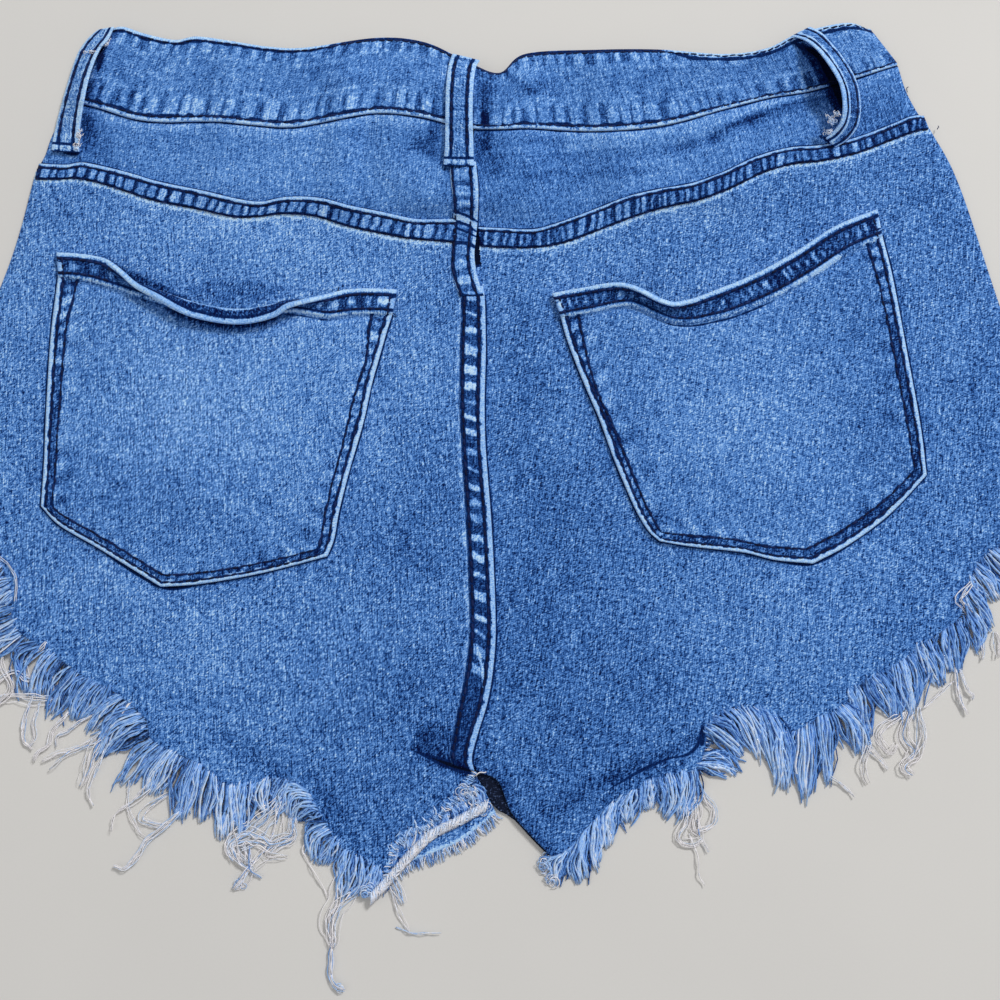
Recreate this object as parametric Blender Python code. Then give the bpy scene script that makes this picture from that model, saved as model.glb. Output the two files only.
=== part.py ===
"""Denim shorts, laid flat on their front with the back up.

The garment is two layers of cloth on the table: the front panels and the front
waistband below, the back panels, yokes, back waistband and patch pockets above.
Waist and leg openings are open between the layers. The belt loops lie on the
waistband, the right back one standing on its edge.

Sizes are in millimetres and are turned into metres at the end. +X is the
wearer's right (the garment lies on its front), +Y runs to the waist, +Z is up.
"""

import math

import bmesh
import bpy
import numpy as np

# ---------------------------------------------------------------- named sizes
CLOTH = 1.2  # one ply of stretch denim
BAND = 2.4  # folded waistband, two plies
LOOP = 1.8  # folded belt loop
LOOP_WIDTH = 11.5
GAP = 0.3  # between pieces at a seam, and between plies
POCKET_GAP = 0.5  # under a pocket, which lies on a panel with other facets
SIDE_INSET = 1.5  # the front layer stops this far inside the side fold
BUTTON_RADIUS = 7.5
BUTTON_HEIGHT = 1.8
FRONT_CENTRE = -12.0  # x of the centre front
LAP_OVER = 6.0  # the outer waistband end passes the centre front by this
LAP_UNDER = 34.0  # the inner one by this
# A lift keeps its height this far past what causes it, more for each layer up, so
# that the facets of two layers stay clear of each other.
SPREAD_OUTER = 5.0  # the front pieces that lie on the table
SPREAD_INNER = 10.0  # the inner waistband end and its panel
SPREAD_BACK = 15.0

SEAM_PARTS = 20  # facets along a yoke, and along each half of the waistband
CENTRE_PARTS = 11  # facets down the centre back seam below the yokes
CROTCH_PARTS = 4  # facets from the crotch to the corner of the hem
YOKE_ROWS = 5
PANEL_ROWS = CENTRE_PARTS + CROTCH_PARTS
FRONT_PARTS = 16  # facets across a front panel
FRONT_HEM_PARTS = 12  # those of them along the left leg's hem, the rest along its strip

# ---------------------------------------------------------------- tables
# Back waistband, one row for each station from the left side fold to the right.
#        x_top  y_top   x_seam  y_seam
BACK_BAND = [
    (-165.1, 201.6, -175.7, 167.8),
    (-149.0, 200.0, -154.0, 162.5),
    (-130.0, 198.0, -131.0, 159.9),
    (-103.0, 194.0, -102.0, 158.7),
    (-82.0, 195.5, -84.0, 157.5),
    (-52.0, 198.0, -54.0, 162.8),
    (-32.0, 196.0, -34.0, 161.5),
    (-15.0, 189.0, -15.0, 156.4),
    (0.0, 182.0, 0.0, 155.8),
    (10.7, 190.5, 12.0, 156.2),
    (40.0, 192.4, 38.0, 154.8),
    (67.0, 192.5, 67.0, 157.2),
    (94.0, 190.4, 94.0, 165.0),
    (112.0, 193.0, 113.0, 170.2),
    (126.0, 200.0, 129.0, 173.0),
    (146.0, 205.0, 148.0, 178.8),
    (155.5, 202.0, 166.5, 185.1),
]
BAND_SPLIT = 7  # the row at the centre back

# Front waistband, lower at the centre than the back one.
#        x_top  y_top   x_seam  y_seam
FRONT_BAND = [
    (-163.5, 200.0, -174.2, 167.0),
    (-130.0, 189.0, -133.0, 155.5),
    (-90.0, 180.0, -92.0, 146.0),
    (-50.0, 172.5, -52.0, 138.5),
    (-12.0, 168.0, -12.0, 133.0),
    (26.0, 171.0, 28.0, 136.5),
    (66.0, 177.0, 68.0, 143.5),
    (106.0, 186.0, 108.0, 153.0),
    (136.0, 194.0, 140.0, 165.0),
    (153.5, 200.5, 164.5, 184.0),
]

# Side folds from the waistband seam down to the hem; yoke_row marks the yoke seam.
#        x       y
SIDE_LEFT_YOKE = [(-175.7, 167.8), (-184.3, 154.5), (-187.2, 144.0), (-190.4, 137.0)]
SIDE_LEFT = [(-190.4, 137.0), (-196.2, 103.2), (-205.3, 68.3), (-210.0, 36.0), (-213.0, 2.0)]
SIDE_RIGHT_YOKE = [(166.5, 185.1), (169.0, 173.7), (173.0, 163.6), (176.5, 158.5)]
SIDE_RIGHT = [(176.5, 158.5), (187.1, 133.7), (197.5, 89.2), (204.1, 59.9), (210.0, 28.0), (213.0, -3.0)]

# Yoke seams, from the side to the centre back.
#        x       y
YOKE_SEAM_LEFT = [
    (-190.4, 137.0), (-175.0, 137.0), (-160.0, 134.2), (-145.0, 129.5), (-124.0, 124.3),
    (-98.0, 120.4), (-87.0, 121.6), (-74.0, 121.0), (-61.0, 116.8), (-35.0, 111.2), (-14.0, 109.0),
]
YOKE_SEAM_RIGHT = [
    (176.5, 158.5), (158.0, 152.6), (145.0, 147.3), (131.0, 144.6), (118.0, 144.0), (105.0, 139.0),
    (91.0, 132.0), (78.0, 126.8), (52.0, 120.7), (25.0, 109.5), (0.0, 107.2), (-14.0, 109.0),
]

# Centre back seam: the yoke's part, then down to the crotch.
#        x       y
CENTRE_YOKE = [(-15.0, 156.4), (-14.6, 138.0), (-14.0, 124.0), (-14.0, 109.0)]
CENTRE_SEAM = [
    (-14.0, 109.0), (-15.0, 96.0), (-11.2, 82.0), (-11.2, 40.0), (-10.0, 10.0), (-7.6, -22.0),
    (-6.9, -50.0), (-9.0, -76.0), (-13.5, -92.0), (-9.0, -102.8),
]

# Leg hems of the back panels with the reach of their fringe, side to inner corner.
#        x_hem   y_hem   x_tip   y_tip
HEM_BACK_LEFT = [
    (-213.0, 2.0, -222.0, -9.0),
    (-202.0, -11.0, -214.0, -26.0),
    (-190.0, -26.0, -203.0, -43.0),
    (-181.0, -45.0, -193.0, -63.0),
    (-165.0, -60.0, -175.0, -82.0),
    (-145.0, -75.0, -157.0, -98.0),
    (-129.0, -87.0, -139.0, -112.0),
    (-108.0, -101.0, -114.0, -127.0),
    (-88.0, -107.0, -91.0, -135.0),
    (-74.0, -108.5, -77.0, -141.0),
    (-64.0, -120.0, -66.0, -154.0),
    (-54.0, -132.0, -56.0, -167.0),
    (-41.0, -139.0, -39.0, -158.0),
]
HEM_BACK_RIGHT = [
    (213.0, -3.0, 221.0, -15.0),
    (200.0, -15.0, 209.0, -31.0),
    (188.0, -26.0, 199.0, -46.0),
    (177.0, -41.0, 189.0, -61.0),
    (160.0, -55.0, 171.0, -76.0),
    (143.0, -66.0, 151.0, -89.0),
    (128.0, -77.0, 134.0, -100.0),
    (111.0, -86.0, 114.0, -111.0),
    (94.0, -82.5, 98.0, -108.0),
    (78.0, -90.0, 82.0, -119.0),
    (63.0, -104.0, 68.0, -128.0),
    (46.0, -112.0, 49.0, -134.0),
    (33.0, -122.0, 34.0, -144.0),
    (20.0, -134.0, 20.0, -148.0),
]
# From the crotch to the inner corner of the hem.
#        x       y
CROTCH_BACK_LEFT = [(-9.0, -102.8), (-16.1, -112.5), (-25.9, -121.5), (-36.5, -127.5), (-41.0, -139.0)]
CROTCH_BACK_RIGHT = [(-9.0, -102.8), (-0.9, -106.0), (4.0, -117.0), (11.2, -125.3), (20.0, -134.0)]

# Front panels: the hem lies a few millimetres inside the back one, and shows
# beside it at the inner corner of the left leg.
#        x_hem   y_hem   x_tip   y_tip
HEM_FRONT_LEFT = [
    (-211.0, 3.0, -217.0, -5.0),
    (-192.0, -18.0, -200.0, -27.0),
    (-176.0, -40.0, -183.0, -50.0),
    (-155.0, -60.0, -161.0, -71.0),
    (-130.0, -79.0, -135.0, -91.0),
    (-106.0, -94.0, -109.0, -107.0),
    (-84.0, -99.0, -86.0, -112.0),
    (-70.0, -105.0, -74.0, -117.0),
    (-60.0, -119.0, -64.0, -131.0),
    (-50.0, -131.0, -53.0, -143.0),
    (-39.8, -139.0, -40.0, -149.0),
]
HEM_FRONT_RIGHT = [
    (211.0, -2.0, 216.0, -11.0),
    (190.0, -19.0, 197.0, -30.0),
    (172.0, -39.0, 179.0, -50.0),
    (143.0, -60.0, 148.0, -73.0),
    (120.0, -76.0, 123.0, -89.0),
    (96.0, -78.0, 99.0, -91.0),
    (76.0, -88.0, 80.0, -100.0),
    (60.0, -103.0, 64.0, -114.0),
    (45.0, -113.5, 47.0, -125.0),
    (32.0, -124.0, 33.0, -136.0),
    (19.0, -133.0, 19.0, -143.0),
]
STRIP_FRONT_LEFT = [(-39.8, -139.0), (-31.5, -134.2), (-22.0, -130.7), (-13.1, -126.6), (-5.8, -120.8), (-1.5, -117.4)]
FRONT_SEAM = [(-12.0, 133.0), (-12.0, 90.0), (-12.0, 30.0), (-9.5, -30.0), (-8.5, -70.0), (-9.0, -103.5)]
CROTCH_FRONT_LEFT = [(-9.0, -103.5), (-5.0, -110.5), (-1.5, -117.4)]
CROTCH_FRONT_RIGHT = [(-9.0, -103.5), (-1.5, -108.0), (3.5, -118.0), (10.5, -126.0), (19.0, -133.0)]

# Patch pockets: mouth (sagging), sides and pointed bottom.
#        x       y
POCKET_LEFT = {
    "mouth": [(-180.2, 102.4), (-163.5, 100.0), (-155.0, 92.6), (-136.5, 79.7), (-122.0, 73.2), (-103.0, 71.2), (-79.0, 79.2), (-60.0, 85.4), (-42.0, 84.4)],
    "left": [(-180.2, 102.4), (-181.2, 66.0), (-181.4, 30.0), (-178.5, -3.2)],
    "right": [(-42.0, 84.4), (-50.0, 55.0), (-60.0, 16.0), (-66.0, -22.3)],
    "bottom": [(-178.5, -3.2), (-164.0, -13.2), (-148.5, -22.0), (-129.5, -34.0), (-112.0, -32.6), (-90.0, -28.2), (-66.0, -22.3)],
}
POCKET_RIGHT = {
    "mouth": [(22.9, 84.4), (51.3, 86.2), (63.8, 78.6), (76.5, 79.7), (100.0, 88.6), (116.0, 98.9), (142.8, 115.0), (155.0, 120.0)],
    "left": [(22.9, 84.4), (36.0, 46.0), (49.0, 4.0), (61.5, -15.8)],
    "right": [(155.0, 120.0), (161.0, 85.0), (167.0, 40.0), (167.4, 8.6)],
    "bottom": [(61.5, -15.8), (80.0, -19.6), (100.0, -23.6), (121.0, -25.2), (147.0, -10.0), (167.4, 8.6)],
}

# Soft ridges of the back layer over the front one.
#        x0     y0     x1     y1     half_width  height
RIDGES = [
    (28.0, 128.0, 98.0, 156.0, 13.0, 0.9),
    (-120.0, 40.0, -70.0, 20.0, 34.0, 0.9),
    (70.0, 30.0, 130.0, 60.0, 36.0, 0.9),
    (-80.0, -70.0, -40.0, -50.0, 26.0, 0.7),
    (60.0, -60.0, 110.0, -40.0, 28.0, 0.7),
    (-70.0, 141.0, -40.0, 132.0, 12.0, 0.6),
]

# Belt loops: a row for each section from the top end down, with the strap's left
# and right edges; rise is how far its underside stands off the cloth below.
#        x_left  y_left  rise_left  x_right  y_right  rise_right
LOOP_CENTER = [
    (-20.2, 191.5, 0.5, -8.8, 188.6, 0.5),
    (-22.2, 182.0, 1.1, -10.8, 181.4, 1.1),
    (-22.7, 172.0, 1.0, -11.3, 171.6, 1.0),
    (-22.7, 160.0, 0.8, -11.3, 159.6, 0.8),
    (-22.7, 149.0, 1.4, -11.1, 149.0, 1.4),
    (-23.3, 139.6, 0.0, -10.5, 139.0, 0.0),
]
LOOP_LEFT = [
    (-172.5, 199.5, 0.0, -163.2, 202.5, 0.2),
    (-177.0, 191.0, -0.8, -167.3, 193.0, 2.4),
    (-181.0, 176.0, -1.6, -171.6, 178.0, 3.6),
    (-183.4, 162.0, -0.8, -173.8, 162.5, 4.2),
    (-184.8, 150.5, 0.4, -174.0, 150.0, 1.6),
    (-185.0, 146.6, 0.2, -173.6, 145.8, 0.3),
]
LOOP_RIGHT = [
    (125.2, 196.4, 0.2, 134.6, 201.6, 0.0),
    (131.0, 193.2, 5.4, 138.0, 195.5, 0.4),
    (135.2, 184.0, 9.4, 142.0, 186.4, 0.8),
    (139.4, 172.5, 10.4, 146.0, 174.0, 1.6),
    (141.0, 160.5, 8.4, 148.6, 160.0, 1.2),
    (137.2, 155.0, 4.4, 144.6, 149.6, 0.4),
]
# Front loops lie flat under the front waistband: centre line x, y of top and bottom.
#        x_top  y_top  x_bottom  y_bottom
FRONT_LOOPS = {
    "left": (-88.5, 178.5, -92.5, 137.0),
    "right": (68.5, 176.5, 72.5, 135.5),
}
BUTTON = (-20.5, 150.8)  # x, y of the waist button


# ---------------------------------------------------------------- curves
def smooth_curve(rows, steps=24):
    """Points of a Catmull-Rom curve through the rows, any number of columns."""
    p = np.array(rows, float)
    if len(p) == 2:
        return np.linspace(p[0], p[1], steps)
    ends = np.vstack([2 * p[0] - p[1], p, 2 * p[-1] - p[-2]])
    t = np.linspace(0, 1, steps, endpoint=False)[:, None]
    parts = []
    for a, b, c, d in zip(ends, ends[1:], ends[2:], ends[3:]):
        parts.append(0.5 * (2 * b + (c - a) * t + (2 * a - 5 * b + 4 * c - d) * t**2 + (3 * b - a - 3 * c + d) * t**3))
    return np.vstack(parts + [p[-1:]])


def along(rows, parts, closer=1.0):
    """parts + 1 points along the first two columns, evenly spaced by length.

    closer above 1 sets them closer together at the start.
    """
    c = smooth_curve(rows)
    run = np.concatenate([[0], np.cumsum(np.hypot(*np.diff(c[:, :2], axis=0).T))])
    at = run[-1] * np.linspace(0, 1, parts + 1) ** closer
    return np.column_stack([np.interp(at, run, c[:, k]) for k in range(c.shape[1])])


def joined(*curves):
    """One curve from curves that share their end points."""
    return np.vstack([curves[0]] + [c[1:] for c in curves[1:]])


def inward(edge, inside):
    """Unit normals of an edge, on the side of a point inside."""
    d = np.gradient(edge, axis=0)
    n = np.column_stack([-d[:, 1], d[:, 0]]) / np.hypot(d[:, 0], d[:, 1])[:, None]
    return n if np.sum((inside - edge[len(edge) // 2]) * n[len(edge) // 2]) > 0 else -n


def patch(top, bottom, left, right, inset=(0.5, 0.5, 0.5, 0.5)):
    """Grid of plan points between four edges (a Coons patch), rows from top to bottom.

    inset is how many half seam gaps each of top, bottom, left and right stands back.
    """
    top, bottom, left, right = (np.array(e, float)[:, :2] for e in (top, bottom, left, right))
    u = np.linspace(0, 1, len(top))[None, :, None]
    v = np.linspace(0, 1, len(left))[:, None, None]
    grid = (
        (1 - v) * top[None] + v * bottom[None] + (1 - u) * left[:, None] + u * right[:, None]
        - (1 - u) * (1 - v) * top[0] - u * (1 - v) * top[-1] - (1 - u) * v * bottom[0] - u * v * bottom[-1]
    )
    middle = grid[grid.shape[0] // 2, grid.shape[1] // 2].copy()
    moves = np.zeros_like(grid)
    for edge, where, much in zip((top, bottom, left, right), (np.s_[0], np.s_[-1], np.s_[:, 0], np.s_[:, -1]), inset):
        moves[where] += inward(edge, middle) * much * GAP
    return grid + moves


# ---------------------------------------------------------------- heights
def ease(t):
    t = np.clip(t, 0, 1)
    return t * t * (3 - 2 * t)


def plateau(d, half, fade):
    """1 within half of the middle, easing to 0 over fade."""
    return ease(1 - (np.abs(d) - half) / fade)


def front_line(x, columns):
    """y of the front waistband's top (columns 0, 1) or seam (2, 3) at x."""
    rows = smooth_curve(FRONT_BAND)
    return np.interp(x, rows[:, columns[0]], rows[:, columns[1]])


def front_rise(x, y, spread=0.0, inner=False):
    """How far what lies under the front layer lifts it off the table."""
    rise = np.zeros(np.broadcast(x, y).shape)
    spread_y = min(spread, 6.0)  # the facets are short this way
    for x_top, y_top, x_low, y_low in FRONT_LOOPS.values():
        middle = x_top + (x_low - x_top) * (y - y_top) / (y_low - y_top)
        over = plateau(x - middle, LOOP_WIDTH / 2 + 1.5 + spread, 16) * plateau(y - (y_top + y_low) / 2, (y_top - y_low) / 2 + 1.5 + spread_y, 14)
        rise = np.maximum(rise, (LOOP + GAP) * over)
    over = plateau(np.hypot(x - BUTTON[0], y - BUTTON[1]), BUTTON_RADIUS + 1.5 + spread, 14)
    rise = np.maximum(rise, (BUTTON_HEIGHT + GAP) * over)
    if inner:
        low, high = FRONT_CENTRE - LAP_UNDER, FRONT_CENTRE + LAP_OVER
        over = plateau(x - (low + high) / 2, (high - low) / 2 + 1.0 + spread, 16)
        over = over * plateau(y - 151, 20 + spread_y, 12)
        rise = rise + (BAND + GAP) * over
    return rise


def back_low(x, y):
    """Underside of the back layer: over the front layer, with the ridges."""
    band_top = front_line(x, (0, 1))
    band_seam = front_line(x, (2, 3))
    middle, half = (band_top + band_seam) / 2, (band_top - band_seam) / 2
    over_band = plateau(y - middle, half + 15, 22)
    low = CLOTH + GAP + (BAND - CLOTH) * over_band
    low = low + front_rise(x, y, SPREAD_BACK, inner=True)
    past_top = ease((y - band_top - 14) / 16)
    low = low - 0.6 * past_top * plateau(x + 10, 40, 60)
    for x0, y0, x1, y1, half_width, height in RIDGES:
        length = math.hypot(x1 - x0, y1 - y0)
        dx, dy = (x1 - x0) / length, (y1 - y0) / length
        run = (x - x0) * dx + (y - y0) * dy
        off = (x - x0) * -dy + (y - y0) * dx
        past = np.maximum(np.maximum(-run, run - length), 0)
        low = low + height * ease(1 - np.hypot(off, past) / (2 * half_width))
    return low


def back_top(x, y):
    """Upper side of the yokes and the back waistband, the band's edge rounded off."""
    rows = smooth_curve(BACK_BAND)
    seam = np.interp(x, rows[:, 2], rows[:, 3])
    return back_low(x, y) + CLOTH + (BAND - CLOTH) * ease((y - seam + 9) / 6)


# ---------------------------------------------------------------- solids
def new_material(name, color, roughness, metallic=0.0):
    mat = bpy.data.materials.new(name)
    mat.use_nodes = True
    shader = mat.node_tree.nodes["Principled BSDF"]
    shader.inputs["Base Color"].default_value = (*color, 1)
    shader.inputs["Roughness"].default_value = roughness
    shader.inputs["Metallic"].default_value = metallic
    mat.diffuse_color = (*color, 1)
    return mat


def add_piece(name, bm, material):
    bmesh.ops.recalc_face_normals(bm, faces=bm.faces)
    mesh = bpy.data.meshes.new(name)
    bm.to_mesh(mesh)
    bm.free()
    mesh.materials.append(material)
    mesh.shade_smooth()
    mesh.set_sharp_from_angle(angle=math.radians(40))
    piece = bpy.data.objects.new(name, mesh)
    bpy.context.scene.collection.objects.link(piece)
    return piece


def cloth(name, grid, low, thick, material):
    """A ply: the plan grid laid at its low height and extruded up by its thickness."""
    x, y = grid[..., 0], grid[..., 1]
    z = low(x, y) if callable(low) else np.broadcast_to(low, x.shape)
    t = np.broadcast_to(thick, x.shape)
    bm = bmesh.new()
    rows, cols = x.shape
    verts = [[bm.verts.new((x[i, j], y[i, j], z[i, j])) for j in range(cols)] for i in range(rows)]
    lift = {verts[i][j]: (verts[i][j].co.copy(), t[i, j]) for i in range(rows) for j in range(cols)}
    sheet = [bm.faces.new((verts[i][j], verts[i + 1][j], verts[i + 1][j + 1], verts[i][j + 1])) for i in range(rows - 1) for j in range(cols - 1)]
    heights = {tuple(round(c, 5) for c in co[:2]): up for co, up in lift.values()}
    made = bmesh.ops.extrude_face_region(bm, geom=sheet, use_keep_orig=True)
    for item in made["geom"]:
        if isinstance(item, bmesh.types.BMVert):
            item.co.z += heights[tuple(round(c, 5) for c in item.co[:2])]
    return add_piece(name, bm, material)


def strap(name, sections, thick, material, parts=12, lies_on=None):
    """A flat strap through its sections, each given by its two edges."""
    rows = along_strap(sections, parts)
    left, right = rows[:, :3], rows[:, 3:]
    if lies_on:
        for edge in (left, right):
            edge[:, 2] += lies_on(edge[:, 0], edge[:, 1]) + POCKET_GAP + thick / 2
    run = np.gradient((left + right) / 2, axis=0)
    across = right - left
    normal = np.cross(across, run)
    normal /= np.linalg.norm(normal, axis=1)[:, None]
    if normal[:, 2].mean() < 0:
        normal = -normal
    ribs = [left + normal * thick / 2, right + normal * thick / 2, right - normal * thick / 2, left - normal * thick / 2]
    bm = bmesh.new()
    rings = [[bm.verts.new(rib[i]) for rib in ribs] for i in range(len(rows))]
    for a, b in zip(rings, rings[1:]):
        for k in range(4):
            bm.faces.new((a[k], a[(k + 1) % 4], b[(k + 1) % 4], b[k]))
    bm.faces.new(rings[0])
    bm.faces.new(rings[-1])
    return add_piece(name, bm, material)


def along_strap(sections, parts):
    c = smooth_curve(sections, 12)
    middle = (c[:, :3] + c[:, 3:]) / 2
    run = np.concatenate([[0], np.cumsum(np.linalg.norm(np.diff(middle, axis=0), axis=1))])
    at = np.linspace(0, run[-1], parts + 1)
    return np.column_stack([np.interp(at, run, c[:, k]) for k in range(6)])


# ---------------------------------------------------------------- the garment
def waistband_back(denim):
    left, right = BACK_BAND[: BAND_SPLIT + 1], BACK_BAND[BAND_SPLIT:]
    seam = joined(along([r[2:] for r in left], SEAM_PARTS), along([r[2:] for r in right], SEAM_PARTS))
    top = joined(along([r[:2] for r in left], SEAM_PARTS), along([r[:2] for r in right], SEAM_PARTS))
    ends = [along([BACK_BAND[k][:2], BACK_BAND[k][2:]], 4) for k in (0, -1)]
    grid = patch(top, seam, *ends, inset=(0, 0.5, 0, 0))
    return cloth("waistband_back", grid, back_low, BAND, denim)


def waistband_front(name, x_from, x_to, inner, denim):
    rows = smooth_curve(FRONT_BAND)
    first, last = min(x_from, x_to), max(x_from, x_to)
    inside = rows[(rows[:, 0] >= first) & (rows[:, 0] <= last)]
    top, seam = (along(inside[:: max(1, len(inside) // 40)][:, k : k + 2], 26) for k in (0, 2))
    ends = [along([a, b], 3) for a, b in ((top[0], seam[0]), (top[-1], seam[-1]))]
    grid = patch(top, seam, *ends, inset=(0, 0.5, 0, 0))
    return cloth(name, grid, lambda x, y: front_rise(x, y, SPREAD_INNER if inner else SPREAD_OUTER, inner), BAND, denim)


def back_pieces(denim):
    for side, yoke_seam, side_yoke, side_low, hem, crotch, band_rows in (
        ("left", YOKE_SEAM_LEFT, SIDE_LEFT_YOKE, SIDE_LEFT, HEM_BACK_LEFT, CROTCH_BACK_LEFT, BACK_BAND[: BAND_SPLIT + 1]),
        ("right", YOKE_SEAM_RIGHT, SIDE_RIGHT_YOKE, SIDE_RIGHT, HEM_BACK_RIGHT, CROTCH_BACK_RIGHT, BACK_BAND[: BAND_SPLIT - 1 : -1]),
    ):
        top = along([r[2:] for r in band_rows], SEAM_PARTS)
        seam = along(yoke_seam, SEAM_PARTS)
        grid = patch(top, seam, along(side_yoke, YOKE_ROWS), along(CENTRE_YOKE, YOKE_ROWS), inset=(0.5, 0.5, 0, 0.5))
        cloth("yoke_" + side, grid, back_low, CLOTH, denim)
        inner = joined(along(CENTRE_SEAM, CENTRE_PARTS), along(crotch, CROTCH_PARTS))
        bottom = along([r[:2] for r in hem], SEAM_PARTS)
        grid = patch(seam, bottom, along(side_low, PANEL_ROWS), inner, inset=(0.5, 0, 0, 0.5))
        cloth("back_panel_" + side, grid, back_low, CLOTH, denim)


def front_pieces(denim):
    rows = smooth_curve(FRONT_BAND)[:, 2:]
    for side, side_all, hem, crotch, inner in (
        ("left", joined(SIDE_LEFT_YOKE, SIDE_LEFT), HEM_FRONT_LEFT, CROTCH_FRONT_LEFT, False),
        ("right", joined(SIDE_RIGHT_YOKE, SIDE_RIGHT), HEM_FRONT_RIGHT, CROTCH_FRONT_RIGHT, True),
    ):
        sign = -1 if side == "left" else 1
        half = rows[rows[:, 0] <= FRONT_CENTRE] if side == "left" else rows[rows[:, 0] >= FRONT_CENTRE][::-1]
        top = along(np.vstack([half[::12], [(FRONT_CENTRE, 133.0)]]), FRONT_PARTS)
        fold = np.array(side_all, float) + (-sign * SIDE_INSET, 0)
        fold[0], fold[-1] = top[0], hem[0][:2]
        seam = joined(along(FRONT_SEAM, 13, 1.4), along(crotch, 3))
        edge = [r[:2] for r in hem]
        strip = FRONT_PARTS - FRONT_HEM_PARTS
        bottom = joined(along(edge, FRONT_HEM_PARTS), along(STRIP_FRONT_LEFT, strip)) if side == "left" else along(edge, FRONT_PARTS)
        grid = patch(top, bottom, along(fold, 16, 1.4), seam, inset=(0.5, 0, 0, 0.5))

        def low(x, y, inner=inner):
            rise = front_rise(x, y, SPREAD_INNER if inner else SPREAD_OUTER)
            if inner:
                # The right panel climbs to the inner end of its waistband.
                rise = rise + (BAND + GAP) * plateau(x - FRONT_CENTRE, LAP_OVER + 1.0, 16) * plateau(y - 133, 2, 24)
            return rise

        cloth("front_panel_" + side, grid, low, CLOTH, denim)


def pockets(denim):
    for side, edges in (("left", POCKET_LEFT), ("right", POCKET_RIGHT)):
        mouth, bottom = along(edges["mouth"], 10), along(edges["bottom"], 10)
        grid = patch(mouth, bottom, along(edges["left"], 9), along(edges["right"], 9), inset=(0, 0, 0, 0))
        down = np.linspace(0, 1, grid.shape[0])[:, None]
        over = np.linspace(0, 1, grid.shape[1])[None, :]
        gape = 1.8 * np.clip(1 - down / 0.25, 0, 1) * np.sin(math.pi * over) ** 2
        x, y = grid[..., 0], grid[..., 1]
        height = back_low(x, y) + CLOTH + POCKET_GAP + gape
        cloth("pocket_back_" + side, grid, lambda a, b, height=height: height, CLOTH, denim)


def fringes(thread):
    for name, hem, parts, low, thick in (
        ("fringe_back_left", HEM_BACK_LEFT, SEAM_PARTS, (1.5, 1.1, 0.2), (1.6, 1.4, 0.9)),
        ("fringe_back_right", HEM_BACK_RIGHT, SEAM_PARTS, (1.5, 1.1, 0.2), (1.6, 1.4, 0.9)),
        ("fringe_front_left", HEM_FRONT_LEFT, FRONT_HEM_PARTS, (0.0, 0.0, 0.0), (0.8, 0.7, 0.6)),
        ("fringe_front_right", HEM_FRONT_RIGHT, FRONT_PARTS, (0.0, 0.0, 0.0), (0.8, 0.7, 0.6)),
    ):
        rows = along(hem, parts)
        edge, tip = rows[:, :2], rows[:, 2:]
        out = inward(edge, tip[len(tip) // 2])
        share = np.array([0.0, 0.5, 1.0])[:, None, None]
        start = edge + out * GAP * 1.5
        grid = (1 - share) * start[None] + share * tip[None]
        z = np.repeat(np.array(low)[:, None], len(edge), axis=1)
        t = np.repeat(np.array(thick)[:, None], len(edge), axis=1)
        cloth(name, grid, lambda a, b, z=z: z, t, thread)


def loops(denim):
    strap("belt_loop_back_center", LOOP_CENTER, LOOP, denim, lies_on=back_top)
    strap("belt_loop_back_left", LOOP_LEFT, LOOP, denim, lies_on=back_top)
    strap("belt_loop_back_right", LOOP_RIGHT, LOOP, denim, 14, lies_on=back_top)
    for side, (x_top, y_top, x_low, y_low) in FRONT_LOOPS.items():
        half, middle = LOOP_WIDTH / 2, LOOP / 2
        sections = [
            (x - half, y, middle, x + half, y, middle)
            for x, y in ((x_top + (x_low - x_top) * k / 3, y_top + (y_low - y_top) * k / 3) for k in range(4))
        ]
        strap("belt_loop_front_" + side, sections, LOOP, denim, 3)


def waist_button(metal):
    """A pressed metal cap, face down: a flat disc with a rounded rim."""
    profile = [(0.0, 0.0), (0.80, 0.0), (0.93, 0.25), (1.0, 0.6), (1.0, 1.0), (0.0, 1.0)]
    bm = bmesh.new()
    line = [bm.verts.new((r * BUTTON_RADIUS, 0, h * BUTTON_HEIGHT)) for r, h in profile]
    edges = [bm.edges.new(pair) for pair in zip(line, line[1:])]
    bmesh.ops.spin(bm, geom=line + edges, cent=(0, 0, 0), axis=(0, 0, 1), angle=2 * math.pi, steps=24, use_merge=True)
    bmesh.ops.remove_doubles(bm, verts=bm.verts, dist=1e-4)
    bmesh.ops.translate(bm, verts=bm.verts, vec=(BUTTON[0], BUTTON[1], 0))
    return add_piece("button", bm, metal)


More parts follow.
